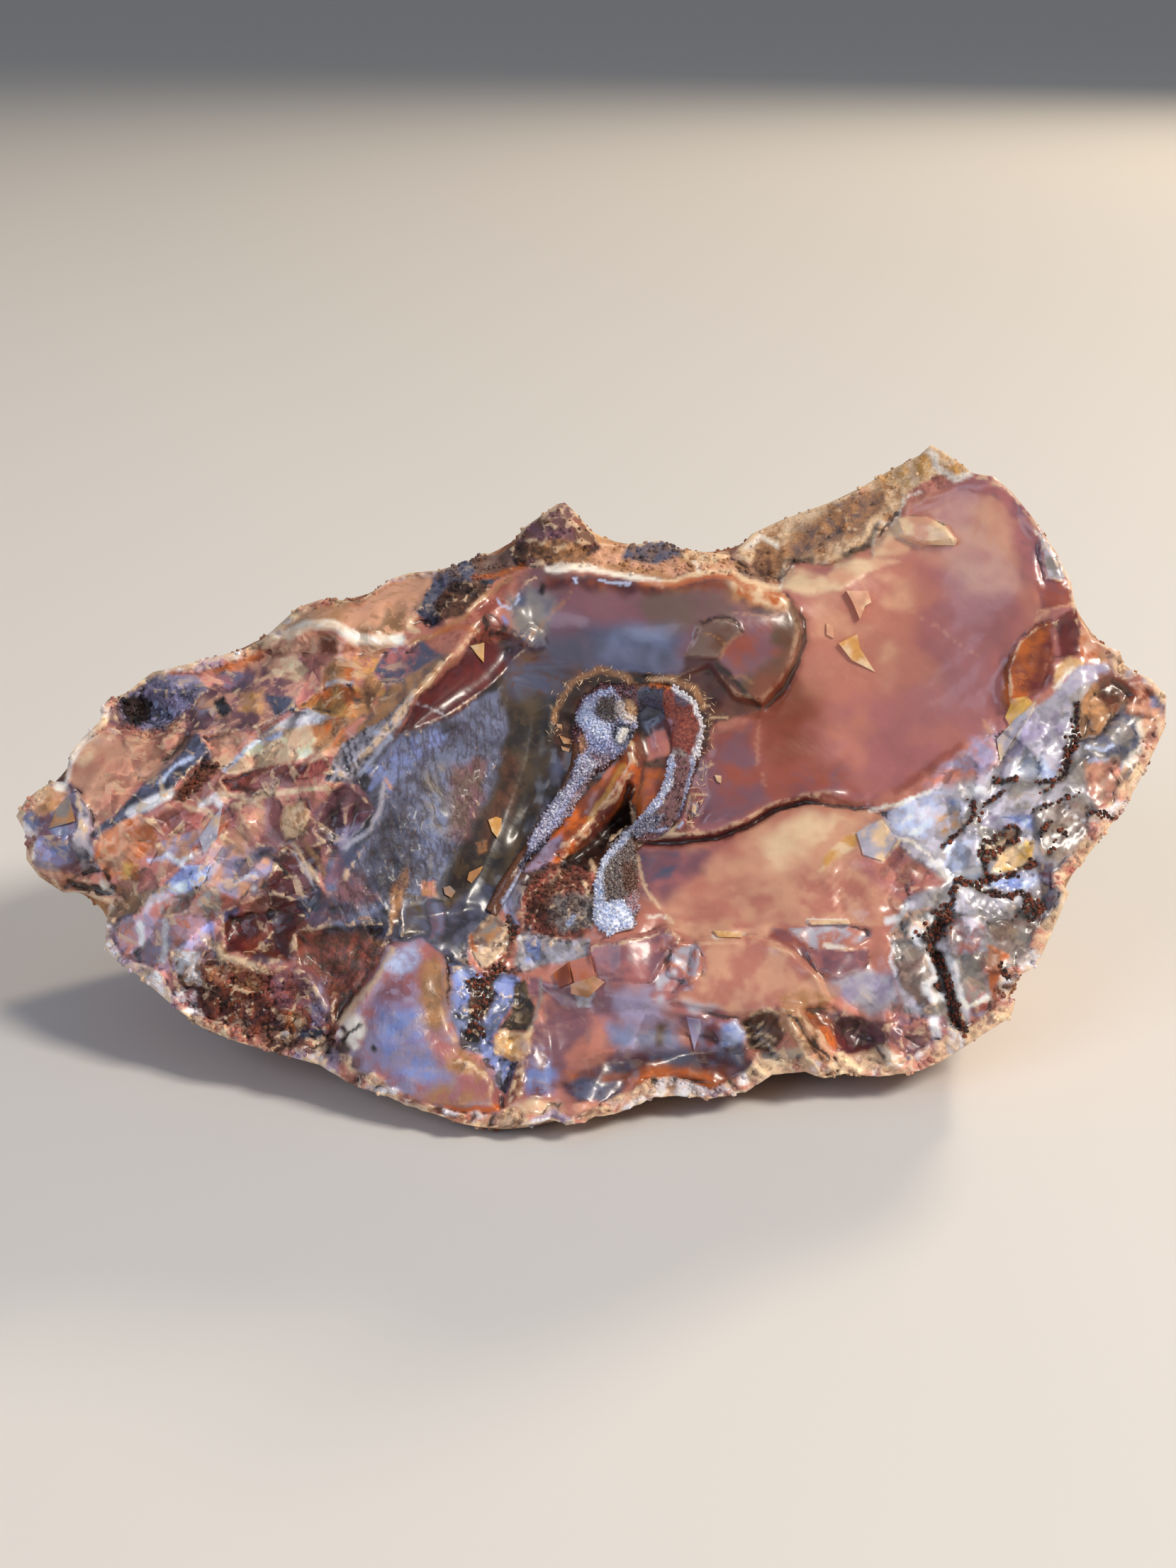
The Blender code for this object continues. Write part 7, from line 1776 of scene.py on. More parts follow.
# %% Shader tools
class Number:
    """A socket that carries a number, with the operators of arithmetic."""

    def __init__(self, shader, socket):
        self.shader, self.socket = shader, socket

    def maths(self, operation, first, other, clamped=False):
        made = self.shader.node("Math", {"operation": operation, "use_clamp": clamped}, {0: first, 1: other})
        return Number(self.shader, made.outputs[0])

    def __add__(self, other):
        return self.maths("ADD", self, other)

    def __sub__(self, other):
        return self.maths("SUBTRACT", self, other)

    def __rsub__(self, other):
        return self.maths("SUBTRACT", other, self)

    def __mul__(self, other):
        return self.maths("MULTIPLY", self, other)

    def __truediv__(self, other):
        return self.maths("DIVIDE", self, other)

    def held(self):
        return self.maths("ADD", self, 0.0, True)

    def ridged(self):
        """1 where noise from 0 to 1 passes its middle, falling off on both sides."""
        return 1.0 - self.maths("ABSOLUTE", self * 2.0 - 1.0, 0.0) * 3.0

    def between(self, low, high):
        """0 at low and 1 at high, with level ends."""
        settings = {"interpolation_type": "SMOOTHSTEP"}
        made = self.shader.node("MapRange", settings, {"Value": self, "From Min": low, "From Max": high})
        return Number(self.shader, made.outputs[0])

    __radd__, __rmul__ = __add__, __mul__


class Tree:
    """Nodes of one tree, made and fed by one method."""

    def __init__(self, tree):
        self.tree = tree

    def feed(self, socket, value):
        if isinstance(value, Number):
            value = value.socket
        if isinstance(value, bpy.types.NodeSocket):
            self.tree.links.new(value, socket)
        else:
            socket.default_value = value

    def node(self, kind, settings, inputs):
        made = self.tree.nodes.new(kind)
        for label, value in settings.items():
            setattr(made, label, value)
        for label, value in inputs.items():
            self.feed(made.inputs[label], value)
        return made


class Shader(Tree):
    """A material on the Principled shader."""

    def __init__(self, name, settings):
        self.material = bpy.data.materials.new(name)
        self.material.use_nodes = True
        super().__init__(self.material.node_tree)
        self.surface = self.tree.nodes["Principled BSDF"]
        for label, value in settings.items():
            self.surface.inputs[label].default_value = value

    def node(self, kind, settings, inputs):
        return super().node("ShaderNode" + kind, settings, inputs)

    def place(self):
        """Where a spot lies on its own object."""
        return self.node("TexCoord", {}, {}).outputs["Object"]

    def stored_colour(self, name):
        """A colour stored on the mesh's points."""
        return self.node("Attribute", {"attribute_name": name}, {}).outputs["Color"]

    def stored(self, name):
        """A number stored on the mesh's points."""
        return Number(self, self.node("Attribute", {"attribute_name": name}, {}).outputs["Fac"])

    def noise(self, place, size_mm, detail=3.0, roughness=0.5):
        """Noise from 0 to 1 with swells of about that size."""
        inputs = {"Vector": place, "Scale": 1 / (size_mm * MM), "Detail": detail, "Roughness": roughness}
        return Number(self, self.node("TexNoise", {}, inputs).outputs[0])

    def facets(self, place, size_mm):
        """Flat-faced flakes about that size: a number for each flake, and the height of its leaning face."""
        scale = 1 / (size_mm * MM)
        cell = self.node("TexVoronoi", {"feature": "F1"}, {"Vector": place, "Scale": scale}).outputs
        away = self.node("VectorMath", {"operation": "SUBTRACT"}, {0: place, 1: cell["Position"]}).outputs[0]
        lean = self.node("VectorMath", {"operation": "SUBTRACT"}, {0: cell["Color"], 1: (0.5, 0.5, 0.5)}).outputs[0]
        face = self.node("VectorMath", {"operation": "DOT_PRODUCT"}, {0: away, 1: lean}).outputs["Value"]
        tone = self.node("SeparateColor", {}, {"Color": cell["Color"]}).outputs[0]
        return Number(self, tone), Number(self, face) / MM

    def mix(self, share, first, other, blend="MIX"):
        settings = {"data_type": "RGBA", "blend_type": blend}
        return self.node("Mix", settings, {"Factor": share, 6: first, 7: other}).outputs[2]

    def shaded(self, colour, shade):
        """A colour made darker or lighter."""
        return self.mix(1.0, colour, shade.socket, "MULTIPLY")

    def scaled(self, place, scale):
        return self.node("VectorMath", {"operation": "MULTIPLY"}, {0: place, 1: scale}).outputs[0]

    def lay(self, label, value):
        """Feeds one of the surface's own sockets."""
        self.feed(self.surface.inputs[label], value)

    def raise_bumps(self, height, tallest_mm, strength):
        inputs = {"Strength": strength, "Distance": tallest_mm * MM, "Height": height}
        self.lay("Normal", self.node("Bump", {}, inputs).outputs[0])


# %% [markdown]
# The colours come from the mesh's points, and flecks of the second layer break them up, drawn out along the splinters
# where the stone is splintered. There, flakes finer than the mesh lean each their own way, so that each mirrors
# something else, and each is made lighter or darker as painted light and shade; their thin sides and edges get
# painted glow. Creases get painted shade with their dirt, and fine scratches and pits catch the light.

# %% Stone shader
GRAIN_DIRECTION = math.radians(-41)
# Painted glow for thin edges, and painted shade with dirt for creases.
PAINTED_EDGE_GLOW = (*COLOURS["cream"], 1)
CREASE_DIRT_AND_SHADE = (*COLOURS["dark brown"], 1)

carnelian = Shader("carnelian", {
    "IOR": 1.54, "Subsurface Weight": 0.16, "Subsurface Radius": (1.0, 0.42, 0.3), "Subsurface Scale": 0.0028,
    "Coat Roughness": 0.12, "Coat IOR": 1.5,
})
object_place = carnelian.place()
along = carnelian.node(
    "VectorRotate", {"rotation_type": "Y_AXIS"}, {"Vector": object_place, "Angle": GRAIN_DIRECTION}
)
drawn_out = carnelian.scaled(along.outputs[0], (0.28, 1, 1))
less_drawn = carnelian.scaled(along.outputs[0], (0.5, 1, 1))
dull, streaky, splintered, wrinkled, calm, edge = (
    carnelian.stored(name) for name in ("dull", "streaky", "splintered", "wrinkled", "calm", "edge")
)

even_flecks = carnelian.noise(object_place, 2.0, 6.0, 0.62)
long_flecks = carnelian.noise(drawn_out, 1.5, 5.0, 0.6)
flecks = even_flecks + (long_flecks - even_flecks) * streaky
flake_tone, flake_face = carnelian.facets(less_drawn, 3.0)
chip_tone, chip_face = carnelian.facets(less_drawn, 1.3)
shift = splintered * ((flake_tone - 0.5) * 0.3 + (chip_tone - 0.5) * 0.08)
let_through = (flecks + shift).between(0.52, 0.6) * 0.62 * (1.0 - calm * 0.8)
colour = carnelian.mix(let_through, carnelian.stored_colour("tint"), carnelian.stored_colour("fleck"))
depth = carnelian.noise(drawn_out, 5.0, 4.0)
shade = depth * 0.5 + 0.75
grit = carnelian.noise(object_place, 0.45, 3.0, 0.7)
shade = shade * (1.0 + dull * (grit - 0.5) * 1.6)
# Each splinter a little lighter or darker: painted light and shade for its lean.
shade = shade * (1.0 + splintered * ((flake_tone - 0.38) * 0.85 + (chip_tone - 0.5) * 0.3))
colour = carnelian.shaded(colour, shade)
# Painted glow on the raised side of each splinter, where it is thin.
painted_thin_glow = flake_face.between(0.16, 0.42) * splintered * flecks.between(0.44, 0.56)
# Painted glow on convex edges.
pale = (edge.between(0.1, 0.28) * flecks.between(0.38, 0.56) * (0.7 - calm * 0.55) + painted_thin_glow * 0.6).held()
colour = carnelian.mix(pale, colour, PAINTED_EDGE_GLOW)
folds = carnelian.noise(carnelian.scaled(object_place, (1, 1, 0.42)), 1.7, 2.0, 0.4).ridged()
fine_folds = carnelian.noise(carnelian.scaled(object_place, (1, 1, 0.6)), 0.7, 2.0, 0.4).ridged()
skin_folds = wrinkled * (folds * 0.6 + fine_folds * 0.25)
# Painted shade in creases, with their dirt, and in the troughs of the wall's folds.
dark = ((0.0 - edge).between(0.08, 0.36) * 0.8 + skin_folds.between(0.35, 0.75) * 0.55).held()
colour = carnelian.mix(dark, colour, CREASE_DIRT_AND_SHADE)
carnelian.lay("Base Color", colour)

scuffs = carnelian.noise(drawn_out, 0.8, 4.0, 0.6)
roughness = 0.24 + 0.2 * scuffs + splintered * (chip_tone - 0.3) * 0.25 + dull * 0.5
carnelian.lay("Roughness", roughness)
carnelian.lay("Coat Weight", (0.3 * (1.0 - dull)).held())
waves = carnelian.noise(drawn_out, 3.2, 3.0) * 0.35 + carnelian.noise(drawn_out, 0.9, 3.0) * 0.1
flat_faces = splintered * (flake_face * 0.9 + chip_face * 0.8)
pits = grit * dull * 0.35
carnelian.raise_bumps(waves + flat_faces + pits - skin_folds * 0.6, 0.5, 0.6)


# %% [markdown]
# The skin round the back is a rust-brown crust over a paler one, freckled with cream where it is chipped.

# %% Put colours and masks on the stone
def put_colour(mesh, name, colours):
    """Stores linear colours on a mesh's points."""
    layer = mesh.attributes.new(name, "FLOAT_COLOR", "POINT")
    layer.data.foreach_set("color", np.column_stack([np.clip(colours, 0, 1), np.ones(len(colours))]).ravel())


def put_number(mesh, name, values):
    """Stores a number on a mesh's points."""
    mesh.attributes.new(name, "FLOAT", "POINT").data.foreach_set("value", np.asarray(values, np.float32))


def put_mask(name, on_face, on_back):
    """Stores a mask on the stone: a share at each point of the face, and one share for all of the back."""
    put_number(stone.data, name, np.concatenate([on_face, np.full(len(hidden), on_back)]))


def strongest(masks):
    """The greatest of several masks at each point."""
    return np.max(list(masks), axis=0)


def mixed(one, other, share):
    """Colours between two named ones, for a share at each point."""
    return COLOURS[one] + (COLOURS[other] - COLOURS[one]) * share[:, None]


rind = rind_mask(face_points)
fresh = rising(0.5 + 1.2 * clouds(face_points, 2.6, 301))
rind_colour = mixed("cream", "salmon", fresh)
for name, size, seed in (("brown", 4.5, 311), ("lilac", 6.0, 314), ("white", 3.4, 317)):
    patches = rising(2.4 * clouds(face_points, size, seed) - 0.5)
    rind_colour += (COLOURS[name] - rind_colour) * patches[:, None] * 0.8
# Painted light and shade along the rind's flutes, on the same pattern as their relief.
rind_colour *= (1.1 + 0.6 * flutes(bent_points, 1.1, 53))[:, None]
canvas += (rind_colour - canvas) * rind[:, None] * 0.9
second += (mixed("rust", "ivory", fresh) - second) * rind[:, None] * 0.85

skin_tone = rising(0.5 + 1.2 * clouds(hidden, 9.0, 302))
skin_colour = mixed("rust", "tan", skin_tone)
chipped = rising(2.2 * clouds(hidden, 3.0, 303) - 0.7)
skin_colour += (COLOURS["cream"] - skin_colour) * chipped[:, None] * 0.8
sooty = rising(2.0 * clouds(hidden, 5.0, 304) - 0.8)
skin_colour += (COLOURS["dark brown"] - skin_colour) * sooty[:, None] * 0.8
skin_second = mixed("dark brown", "ochre", rising(0.5 + 1.2 * clouds(hidden, 2.0, 305)))

DULL_FIELDS = [
    "matrix block", "matrix knob", "top ridge", "peak rock", "stained pit", "brown streak", "rusty foot",
    "red tissue",
]
STREAKY_FIELDS = ("left splinters", "left slivers", "stained ledge")
WAXY_STONE = [(-31, -26), (-24, -26), (-22, -40), (-15, -46), (-14, -51), (-28, -51), (-38, -42)]
SPLINTERED = {
    "left splinters": 1.0, "left slivers": 0.8, "stained ledge": 0.8, "end lobe": 0.6, "sugary middle": 0.7,
    "milky cracks": 0.2, "milky slivers": 0.3, "lower plates": 0.12, "foot plates": 0.5, "rusty foot": 0.8,
}
CALM = [
    SALMON_FACE, LOWER_SHELF, STEPS["dark dome"][0],
    [(46, -5), (58, 2), (70, 12), (80, 17), (86, 8), (80, -3), (70, -5), (69, -17), (64, -33), (48, -34), (48, -20),
        (56, -14)],
    [(-9, -30), (4, -26), (16, -24), (34, -26), (48, -30), (44, -36), (30, -34), (26, -44), (4, -48), (-8, -46)],
]
wrinkled_face = strongest([
    area(face_points, WALL, 3), 0.45 * area(face_points, WAXY_STONE, 3), area(face_points, WALL_FOOT, 2),
])
rocky = [0.85 * area(face_points, POROUS[name][0], 1.5) for name in DULL_FIELDS]
cracked = [share * area(face_points, FLAKE_FIELDS[name][0], 4) for name, share in SPLINTERED.items()]

put_colour(stone.data, "tint", np.concatenate([canvas, skin_colour]))
put_colour(stone.data, "fleck", np.concatenate([second, skin_second]))
put_mask("dull", strongest([0.8 * rind, *rocky, 0.4 * wrinkled_face]), 0.85)
put_mask("calm", strongest(area(face_points, outline, 4) for outline in CALM), 0.5)
put_mask("wrinkled", wrinkled_face, 0.0)
put_mask("splintered", strongest(cracked), 0.4)
put_mask("streaky", strongest(area(face_points, FLAKE_FIELDS[name][0], 6) for name in STREAKY_FIELDS), 0.0)
# The bend of the mesh, from which the shader paints glow on edges and shade in creases.
put_number(stone.data, "edge", sharp + 0.22 * broad)
stone.data.materials.append(carnelian.material)
PIECES = [(stone, "carnelian", "carnelian")]
print("stone finished")
# %% [markdown]
# ## Growing small things on a surface
# Quartz points, crumbs of earth and chips as fine as straw all sit on a surface, so one tree of Geometry Nodes grows
# them all. It scatters places where a mask on the surface allows them, puts a small shape on each, turned and sized
# at random, and makes them one mesh. The surface's colours come along, so each grain has the tint of its own place.

# %% A tree that grows things
class Growth(Tree):
    """A Geometry Nodes tree with named inputs."""

    def __init__(self, name, inputs):
        super().__init__(bpy.data.node_groups.new(name, "GeometryNodeTree"))
        self.codes = {}
        for label, kind in inputs.items():
            made = self.tree.interface.new_socket(name=label, in_out="INPUT", socket_type="NodeSocket" + kind)
            self.codes[label] = made.identifier
        self.tree.interface.new_socket(name="Geometry", in_out="OUTPUT", socket_type="NodeSocketGeometry")
        self.given = self.tree.nodes.new("NodeGroupInput").outputs
        self.result = self.tree.nodes.new("NodeGroupOutput").inputs

    def random(self, kind, low, high, seed):
        """A random number or vector for each place."""
        first, output = (0, 0) if kind == "FLOAT_VECTOR" else (2, 1)
        inputs = {first: low, first + 1: high, "Seed": seed}
        return self.node("FunctionNodeRandomValue", {"data_type": kind}, inputs).outputs[output]


growth = Growth("grow on a surface", {
    "Geometry": "Geometry", "Grain": "Object", "Mask": "String", "Thickness": "Float", "Smallest": "Float",
    "Largest": "Float", "Lean": "Float", "Seed": "Int", "Material": "Material",
})
given = growth.given
mask = growth.node("GeometryNodeInputNamedAttribute", {"data_type": "FLOAT"}, {"Name": given["Mask"]}).outputs[0]
thickness = growth.node("ShaderNodeMath", {"operation": "MULTIPLY"}, {0: mask, 1: given["Thickness"]}).outputs[0]
scatter = {"Mesh": given["Geometry"], "Density": thickness, "Seed": given["Seed"]}
spots = growth.node("GeometryNodeDistributePointsOnFaces", {"distribute_method": "RANDOM"}, scatter)
back = growth.node("ShaderNodeMath", {"operation": "MULTIPLY"}, {0: given["Lean"], 1: -1.0}).outputs[0]
least = growth.node("ShaderNodeCombineXYZ", {}, {"X": back, "Y": back}).outputs[0]
most = growth.node("ShaderNodeCombineXYZ", {}, {"X": given["Lean"], "Y": given["Lean"], "Z": 2 * math.pi}).outputs[0]
spin = growth.random("FLOAT_VECTOR", least, most, 1)
spin = growth.node("FunctionNodeEulerToRotation", {}, {"Euler": spin}).outputs[0]
turns_of_spot = {"Rotation": spots.outputs["Rotation"], "Rotate By": spin}
facing = growth.node("FunctionNodeRotateRotation", {"rotation_space": "LOCAL"}, turns_of_spot).outputs[0]
grain = growth.node("GeometryNodeObjectInfo", {}, {"Object": given["Grain"]}).outputs["Geometry"]
size = growth.random("FLOAT", given["Smallest"], given["Largest"], 2)
placed = {"Points": spots.outputs["Points"], "Instance": grain, "Rotation": facing, "Scale": size}
grown = growth.node("GeometryNodeInstanceOnPoints", {}, placed).outputs[0]
grown = growth.node("GeometryNodeRealizeInstances", {}, {"Geometry": grown}).outputs[0]
grown = growth.node("GeometryNodeSetMaterial", {}, {"Geometry": grown, "Material": given["Material"]}).outputs[0]
growth.feed(growth.result[0], grown)


def grow(name, surface, grain, material, mask, per_mm2, sizes, lean, seed):
    """An object of small things grown on a surface; sizes in millimetres and lean in degrees."""
    made = bpy.data.objects.new(name, surface.data)
    bpy.context.scene.collection.objects.link(made)
    modifier = made.modifiers.new("growth", "NODES")
    modifier.node_group = growth.tree
    chosen = {
        "Grain": grain, "Mask": mask, "Thickness": per_mm2 / MM**2, "Smallest": sizes[0] * MM,
        "Largest": sizes[1] * MM, "Lean": math.radians(lean), "Seed": seed, "Material": material,
    }
    for label, value in chosen.items():
        modifier[growth.codes[label]] = value
    bpy.context.view_layer.update()
    graph = bpy.context.evaluated_depsgraph_get()
    mesh = bpy.data.meshes.new_from_object(made.evaluated_get(graph), depsgraph=graph)
    made.modifiers.remove(modifier)
    mesh.name = name
    made.data = mesh
    print(name, len(mesh.polygons), "faces")
    return made


# %% Small shapes, one unit tall
def small_shape(name, corners, faces):
    """A flat-shaded shape that other objects are grown from; it isn't shown itself."""
    mesh = bpy.data.meshes.new(name)
    mesh.from_pydata(corners, [], faces)
    mesh.update()
    return bpy.data.objects.new(name, mesh)


def circle(radius, height, sides):
    turns = [k * math.tau / sides for k in range(sides)]
    return [(radius * math.cos(turn), radius * math.sin(turn), height) for turn in turns]


def spindle(name, sides, rings):
    """A turned shape through (radius, height) rings, closed by a point at its top."""
    corners = [corner for radius, height in rings[:-1] for corner in circle(radius, height, sides)]
    corners.append((0, 0, rings[-1][1]))
    faces = [tuple(reversed(range(sides)))]
    for start in range(0, (len(rings) - 2) * sides, sides):
        for k in range(sides):
            after = (k + 1) % sides
            faces.append((start + k, start + after, start + sides + after, start + sides + k))
    start = (len(rings) - 2) * sides
    faces += [(start + k, start + (k + 1) % sides, len(corners) - 1) for k in range(sides)]
    return small_shape(name, corners, faces)


quartz_point = spindle("quartz point", 6, [(0.30, -0.25), (0.30, 0.45), (0, 0.85)])
crumb = spindle("crumb", 5, [(0.25, -0.3), (0.5, 0.05), (0.3, 0.35), (0, 0.42)])
straw = spindle("straw", 3, [(0.05, -0.1), (0.08, 0.4), (0, 1.0)])

# %% [markdown]
# ## The druse in the hollow
# Water once filled the hollow and left quartz on its walls. Where it had room the quartz grew as a sugar of tiny
# points, white, lilac and grey; where it had none, a thin glassy skin shows the brown and red stone below it. It is
# all one crust, so it is one closed sheet on the solid's own outline. Its fields are laid as the stone's are, and
# their third number says how thickly the points stand there.

# %% Crust fields
CRUST_OUTLINE = [
    (-2.2, 8), (-1.4, 13), (2, 15.6), (6, 15.4), (9.5, 15.9), (13.6, 15.2), (16.8, 12.8), (18, 9),
    (17.3, 4.6), (15.9, 0), (14.3, -5), (12, -7.8), (9, -9.2), (7.3, -11), (7.5, -15), (7.9, -20),
    (7, -22.8), (3.2, -23.6), (1, -22), (1.1, -16), (2.4, -12), (4.2, -9.3), (6.6, -6.9), (9, -4.7),
    (11, -2), (12.4, 1.4), (13.1, 5.4), (12.9, 9), (11.4, 11.4), (9.2, 12.2), (7.6, 10.6), (7, 7.8),
    (5.6, 4.8), (2.8, 2.8), (0, 0.8), (-3, -4.8), (-6, -8.4), (-9.6, -12), (-12, -17), (-14.4, -20.8),
    (-16, -19.6), (-14, -15.4), (-11, -11), (-8.6, -7.4), (-5, -2.4), (-2.8, 3),
]
CRUST_FIELDS = [(0, 1.0, *row) for row in [
    (0.3, "dark brown", "mauve", 0.9, 0.5,
        [(-3, 7), (-2, 13), (1, 16), (7, 16), (8, 14), (7.4, 10.8), (4, 14), (-1, 12), (-1, 6)]),
    (1.0, "ice", "lilac", 0.8, 0.5, [
        (-1.7, 9.6), (-1.4, 11.6), (0, 13.4), (2, 14.8), (3.6, 14.8), (5.2, 13.4), (5.8, 11.2), (8, 10), (8, 8),
        (7.4, 6.2), (5.6, 5.4), (4.2, 4.4), (2.4, 3), (1.6, 0.6), (-1.2, -3), (-6, -7.6), (-9.6, -11.6), (-9, -9),
        (-5.6, -3), (-2.6, 0.6), (-1.6, 4), (-0.2, 6), (-0.6, 8.4),
    ]),
    (1.0, "grey brown", "grey", 0.7, 1.0, [(1.6, 13.8), (4.4, 14), (5, 11.6), (4.6, 9.4), (2.4, 9.6), (1.2, 11)]),
    (1.0, "white", "ice", 0.7, 0.8, [(-1.6, 10), (-0.6, 12.8), (1, 12.4), (1, 10.4), (2.6, 9.4), (3.2, 7.2),
        (1.4, 7), (0, 8.6)]),
    (1.0, "white", "cream", 0.6, 0.6, [(4.6, 13.2), (5.6, 12.8), (5.8, 11), (8, 10.2), (6.6, 9.6), (5, 10.2),
        (4.2, 11.4)]),
    (0.1, "cream", "tan", 1.0, 0.35, [(5.8, 13.4), (6.8, 13), (7.4, 12.2), (7.8, 10.6), (6.4, 10.6), (5.9, 11.6)]),
    (0.2, "peach", "tan", 0.9, 0.4, [(-1.4, 7.4), (-0.4, 7.8), (0.4, 6), (-1, 4)]),
    (0.7, "mauve", "milk", 0.7, 0.7, [
        (0.4, 5), (4, 5), (2.6, 3), (2, 0.6), (0.2, -1.4), (-2, -3.6), (-4.4, -5.6), (-3, -2.4), (-0.6, 0.6),
        (-0.4, 3),
    ]),
    (1.0, "white", "lilac", 0.7, 0.7, [
        (-1.4, 3.6), (0.6, 4), (1.4, 2.8), (0, 2), (-1.8, 0.2), (-3.2, -2), (-5, -4.6), (-6.8, -7.8), (-8.8, -10),
        (-7.6, -6.6), (-5.6, -3), (-3.4, -0.4), (-2.2, 1.6),
    ]),
    (0.2, "dark brown", "maroon", 0.6, 0.3, [(0.8, 2.2), (1.8, 2.8), (2.4, 1.8), (2, 0.7), (1, 0.8)]),
    (0.5, "dark slate", "slate", 0.8, 0.35,
        [(3.6, 7.2), (4, 9), (5.6, 9.6), (7.2, 8.8), (7.6, 7), (6.4, 5.8), (4.6, 5.8)]),
    (0.3, "slate", "dark slate", 0.8, 0.5, [(-11, -13), (-9.4, -10.6), (-6, -8), (-5, -9), (-8, -12), (-10, -14)]),
    (0.0, "slate", "dark slate", 1.6, 0.3,
        [(7.5, 14.4), (9, 15), (11.8, 15), (11.9, 11), (11.2, 9.4), (9.2, 8), (8.2, 9.4), (7.8, 11.4)]),
    (0.1, "salmon", "rose", 1.4, 0.5, [(8.6, 8), (11.4, 9), (13.2, 8), (13.2, 4.8), (9.4, 4)]),
    (0.0, "dark red", "brick", 1.6, 0.4, [
        (11.9, 15), (13.4, 15.4), (16.4, 13.8), (18.2, 9), (17.4, 4.8), (15.4, 4), (13, 5.4), (12.9, 9), (11.9, 11),
    ]),
    (0.1, "mauve", "slate", 1.0, 0.6, [(13.2, 15), (15.6, 14.6), (16.4, 12.6), (15, 12), (13.6, 12.6)]),
    (0.0, "lilac", "rose", 0.9, 0.6, [(11.6, 8.4), (12.2, 10.4), (13.4, 9.8), (13.2, 8.2)]),
    (0.3, "orange", "brown", 0.8, 0.6, [(9, 16.4), (13.6, 16.4), (13.4, 14.6), (11.8, 15), (9.8, 15)]),
    (0.2, "mauve", "grey brown", 1.0, 0.5, [
        (13, 5.2), (16.8, 4.6), (16.2, 0), (14.6, -5), (12.4, -8), (9, -9.4), (7.4, -8), (9, -4.8), (11.2, -2),
        (12.4, 1.6),
    ]),
    (1.0, "white", "ice", 0.6, 0.5, [
        (13.4, 5.4), (13.8, 3), (12.9, -0.6), (11.6, -3.2), (9, -5.6), (7, -7.6), (6, -7.4), (8.4, -4.6),
        (11, -2.2), (12.2, 1.2), (12.8, 4),
    ]),
    (1.0, "slate", "milk", 0.6, 0.6, [(6.6, -7.6), (9, -5.2), (12, -4.6), (11, -6.6), (8, -8.6)]),
    (1.0, "grey", "grey brown", 0.6, 0.6,
        [(6.8, -7.2), (4.2, -9.4), (2.2, -12), (1, -15), (1, -18), (6, -18), (7.6, -15), (7.4, -10)]),
    (1.0, "white", "ice", 0.6, 0.5, [
        (6.4, -7), (4, -9.6), (1.8, -12), (1, -15), (1, -18.4), (2.6, -18), (2.4, -14), (3.6, -11.6), (5.4, -10),
        (6.8, -8.4),
    ]),
    (0.8, "grey brown", "brown", 0.5, 0.6,
        [(5.2, -12.6), (6.8, -12), (7.8, -15), (8.2, -19), (6.8, -18), (5.6, -16)]),
    (0.4, "white", "ice", 1.4, 0.35, [(1, -17.8), (3, -18.4), (5.4, -18), (7.2, -20), (7, -22.4), (3, -23.8),
        (0.8, -22)]),
    (1.0, "rose", "milk", 0.6, 0.5, [(5.8, -17.6), (7.6, -16.6), (8.2, -20), (7, -20.4)]),
]]
CRUST_MARKS = [
    ("white", 0.4, 1, [(13.6, 15), (16.6, 12.8), (17.8, 9.4), (17.3, 5.4), (16.6, 4)]),
    ("ice", 0.25, 0.9, [(16.4, 4), (15.8, 0), (14.9, -3.4), (14.2, -5)]), ("white", 0.5, 1, [(17, 5.2), (17.4, 5)]),
    ("grey", 0.5, 0.9, [(13.2, 4.9), (14.2, 5.2), (15, 4.6)]),
    ("ice", 0.3, 1, [(-10.4, -14), (-12, -16.6), (-13.2, -18.4)]),
    ("ice", 0.3, 0.9, [(9.8, -7.4), (12.2, -7)]), ("white", 0.8, 1, [(5.4, 8.4), (5.2, 7.2)]),
    ("ivory", 0.5, 1, [(6, 8.6), (5.2, 7)]),
    ("dark slate", 0.25, 0.9, [(3.9, 7.4), (4.2, 8.8), (5.4, 9.4), (6.6, 9)]),
    ("dark brown", 0.3, 0.9, [(8.2, 9.6), (8.6, 7.4), (8, 6)]),
    ("cream", 0.25, 0.9, [(8, 9.8), (9, 8.2), (10.6, 8.4)]),
]

# %% Crust
CRUST_STEP = 0.34
CRUST_BURIED = 0.3
CRUST_GAP = 0.35
CRUST_EDGE = 0.35
CRUST_THICKNESS = 1.1
CRUST_SLOPE = 1.6
CRUST_BEND = 0.7
GLASSY_SKIN = 0.45
GRAIN_HEIGHT = 0.45
GRAIN_SIZE = 1.7

crust_rim = divided(CRUST_OUTLINE, CRUST_STEP * 2)
loose = scattered(CRUST_STEP, np.min(CRUST_OUTLINE, axis=0), np.max(CRUST_OUTLINE, axis=0), 14)
loose = loose[depth_inside(loose, crust_rim) > CRUST_STEP * 0.5]
crust_flat, crust_front = triangulated(crust_rim, loose)
crust_bent = crust_flat + CRUST_BEND * wander(crust_flat)
thick = np.zeros(len(crust_flat))
for _, _, stand, *_, outline in CRUST_FIELDS:
    thick += (stand - thick) * area(crust_bent, outline, 0.5)
for _, half_width, _, path in CRUST_MARKS[:2]:
    thick = np.maximum(thick, 0.8 * line(crust_bent, path, half_width))
inward = depth_inside(crust_flat, crust_rim)
grains = GRAIN_HEIGHT * (smooth_noise(crust_flat, GRAIN_SIZE, 21) + smooth_noise(crust_flat, 2 * GRAIN_SIZE, 22))
grains += thick * (0.35 * lumps(crust_flat, 0.9, 23) - 0.2)
body = GLASSY_SKIN + (CRUST_THICKNESS - GLASSY_SKIN) * thick
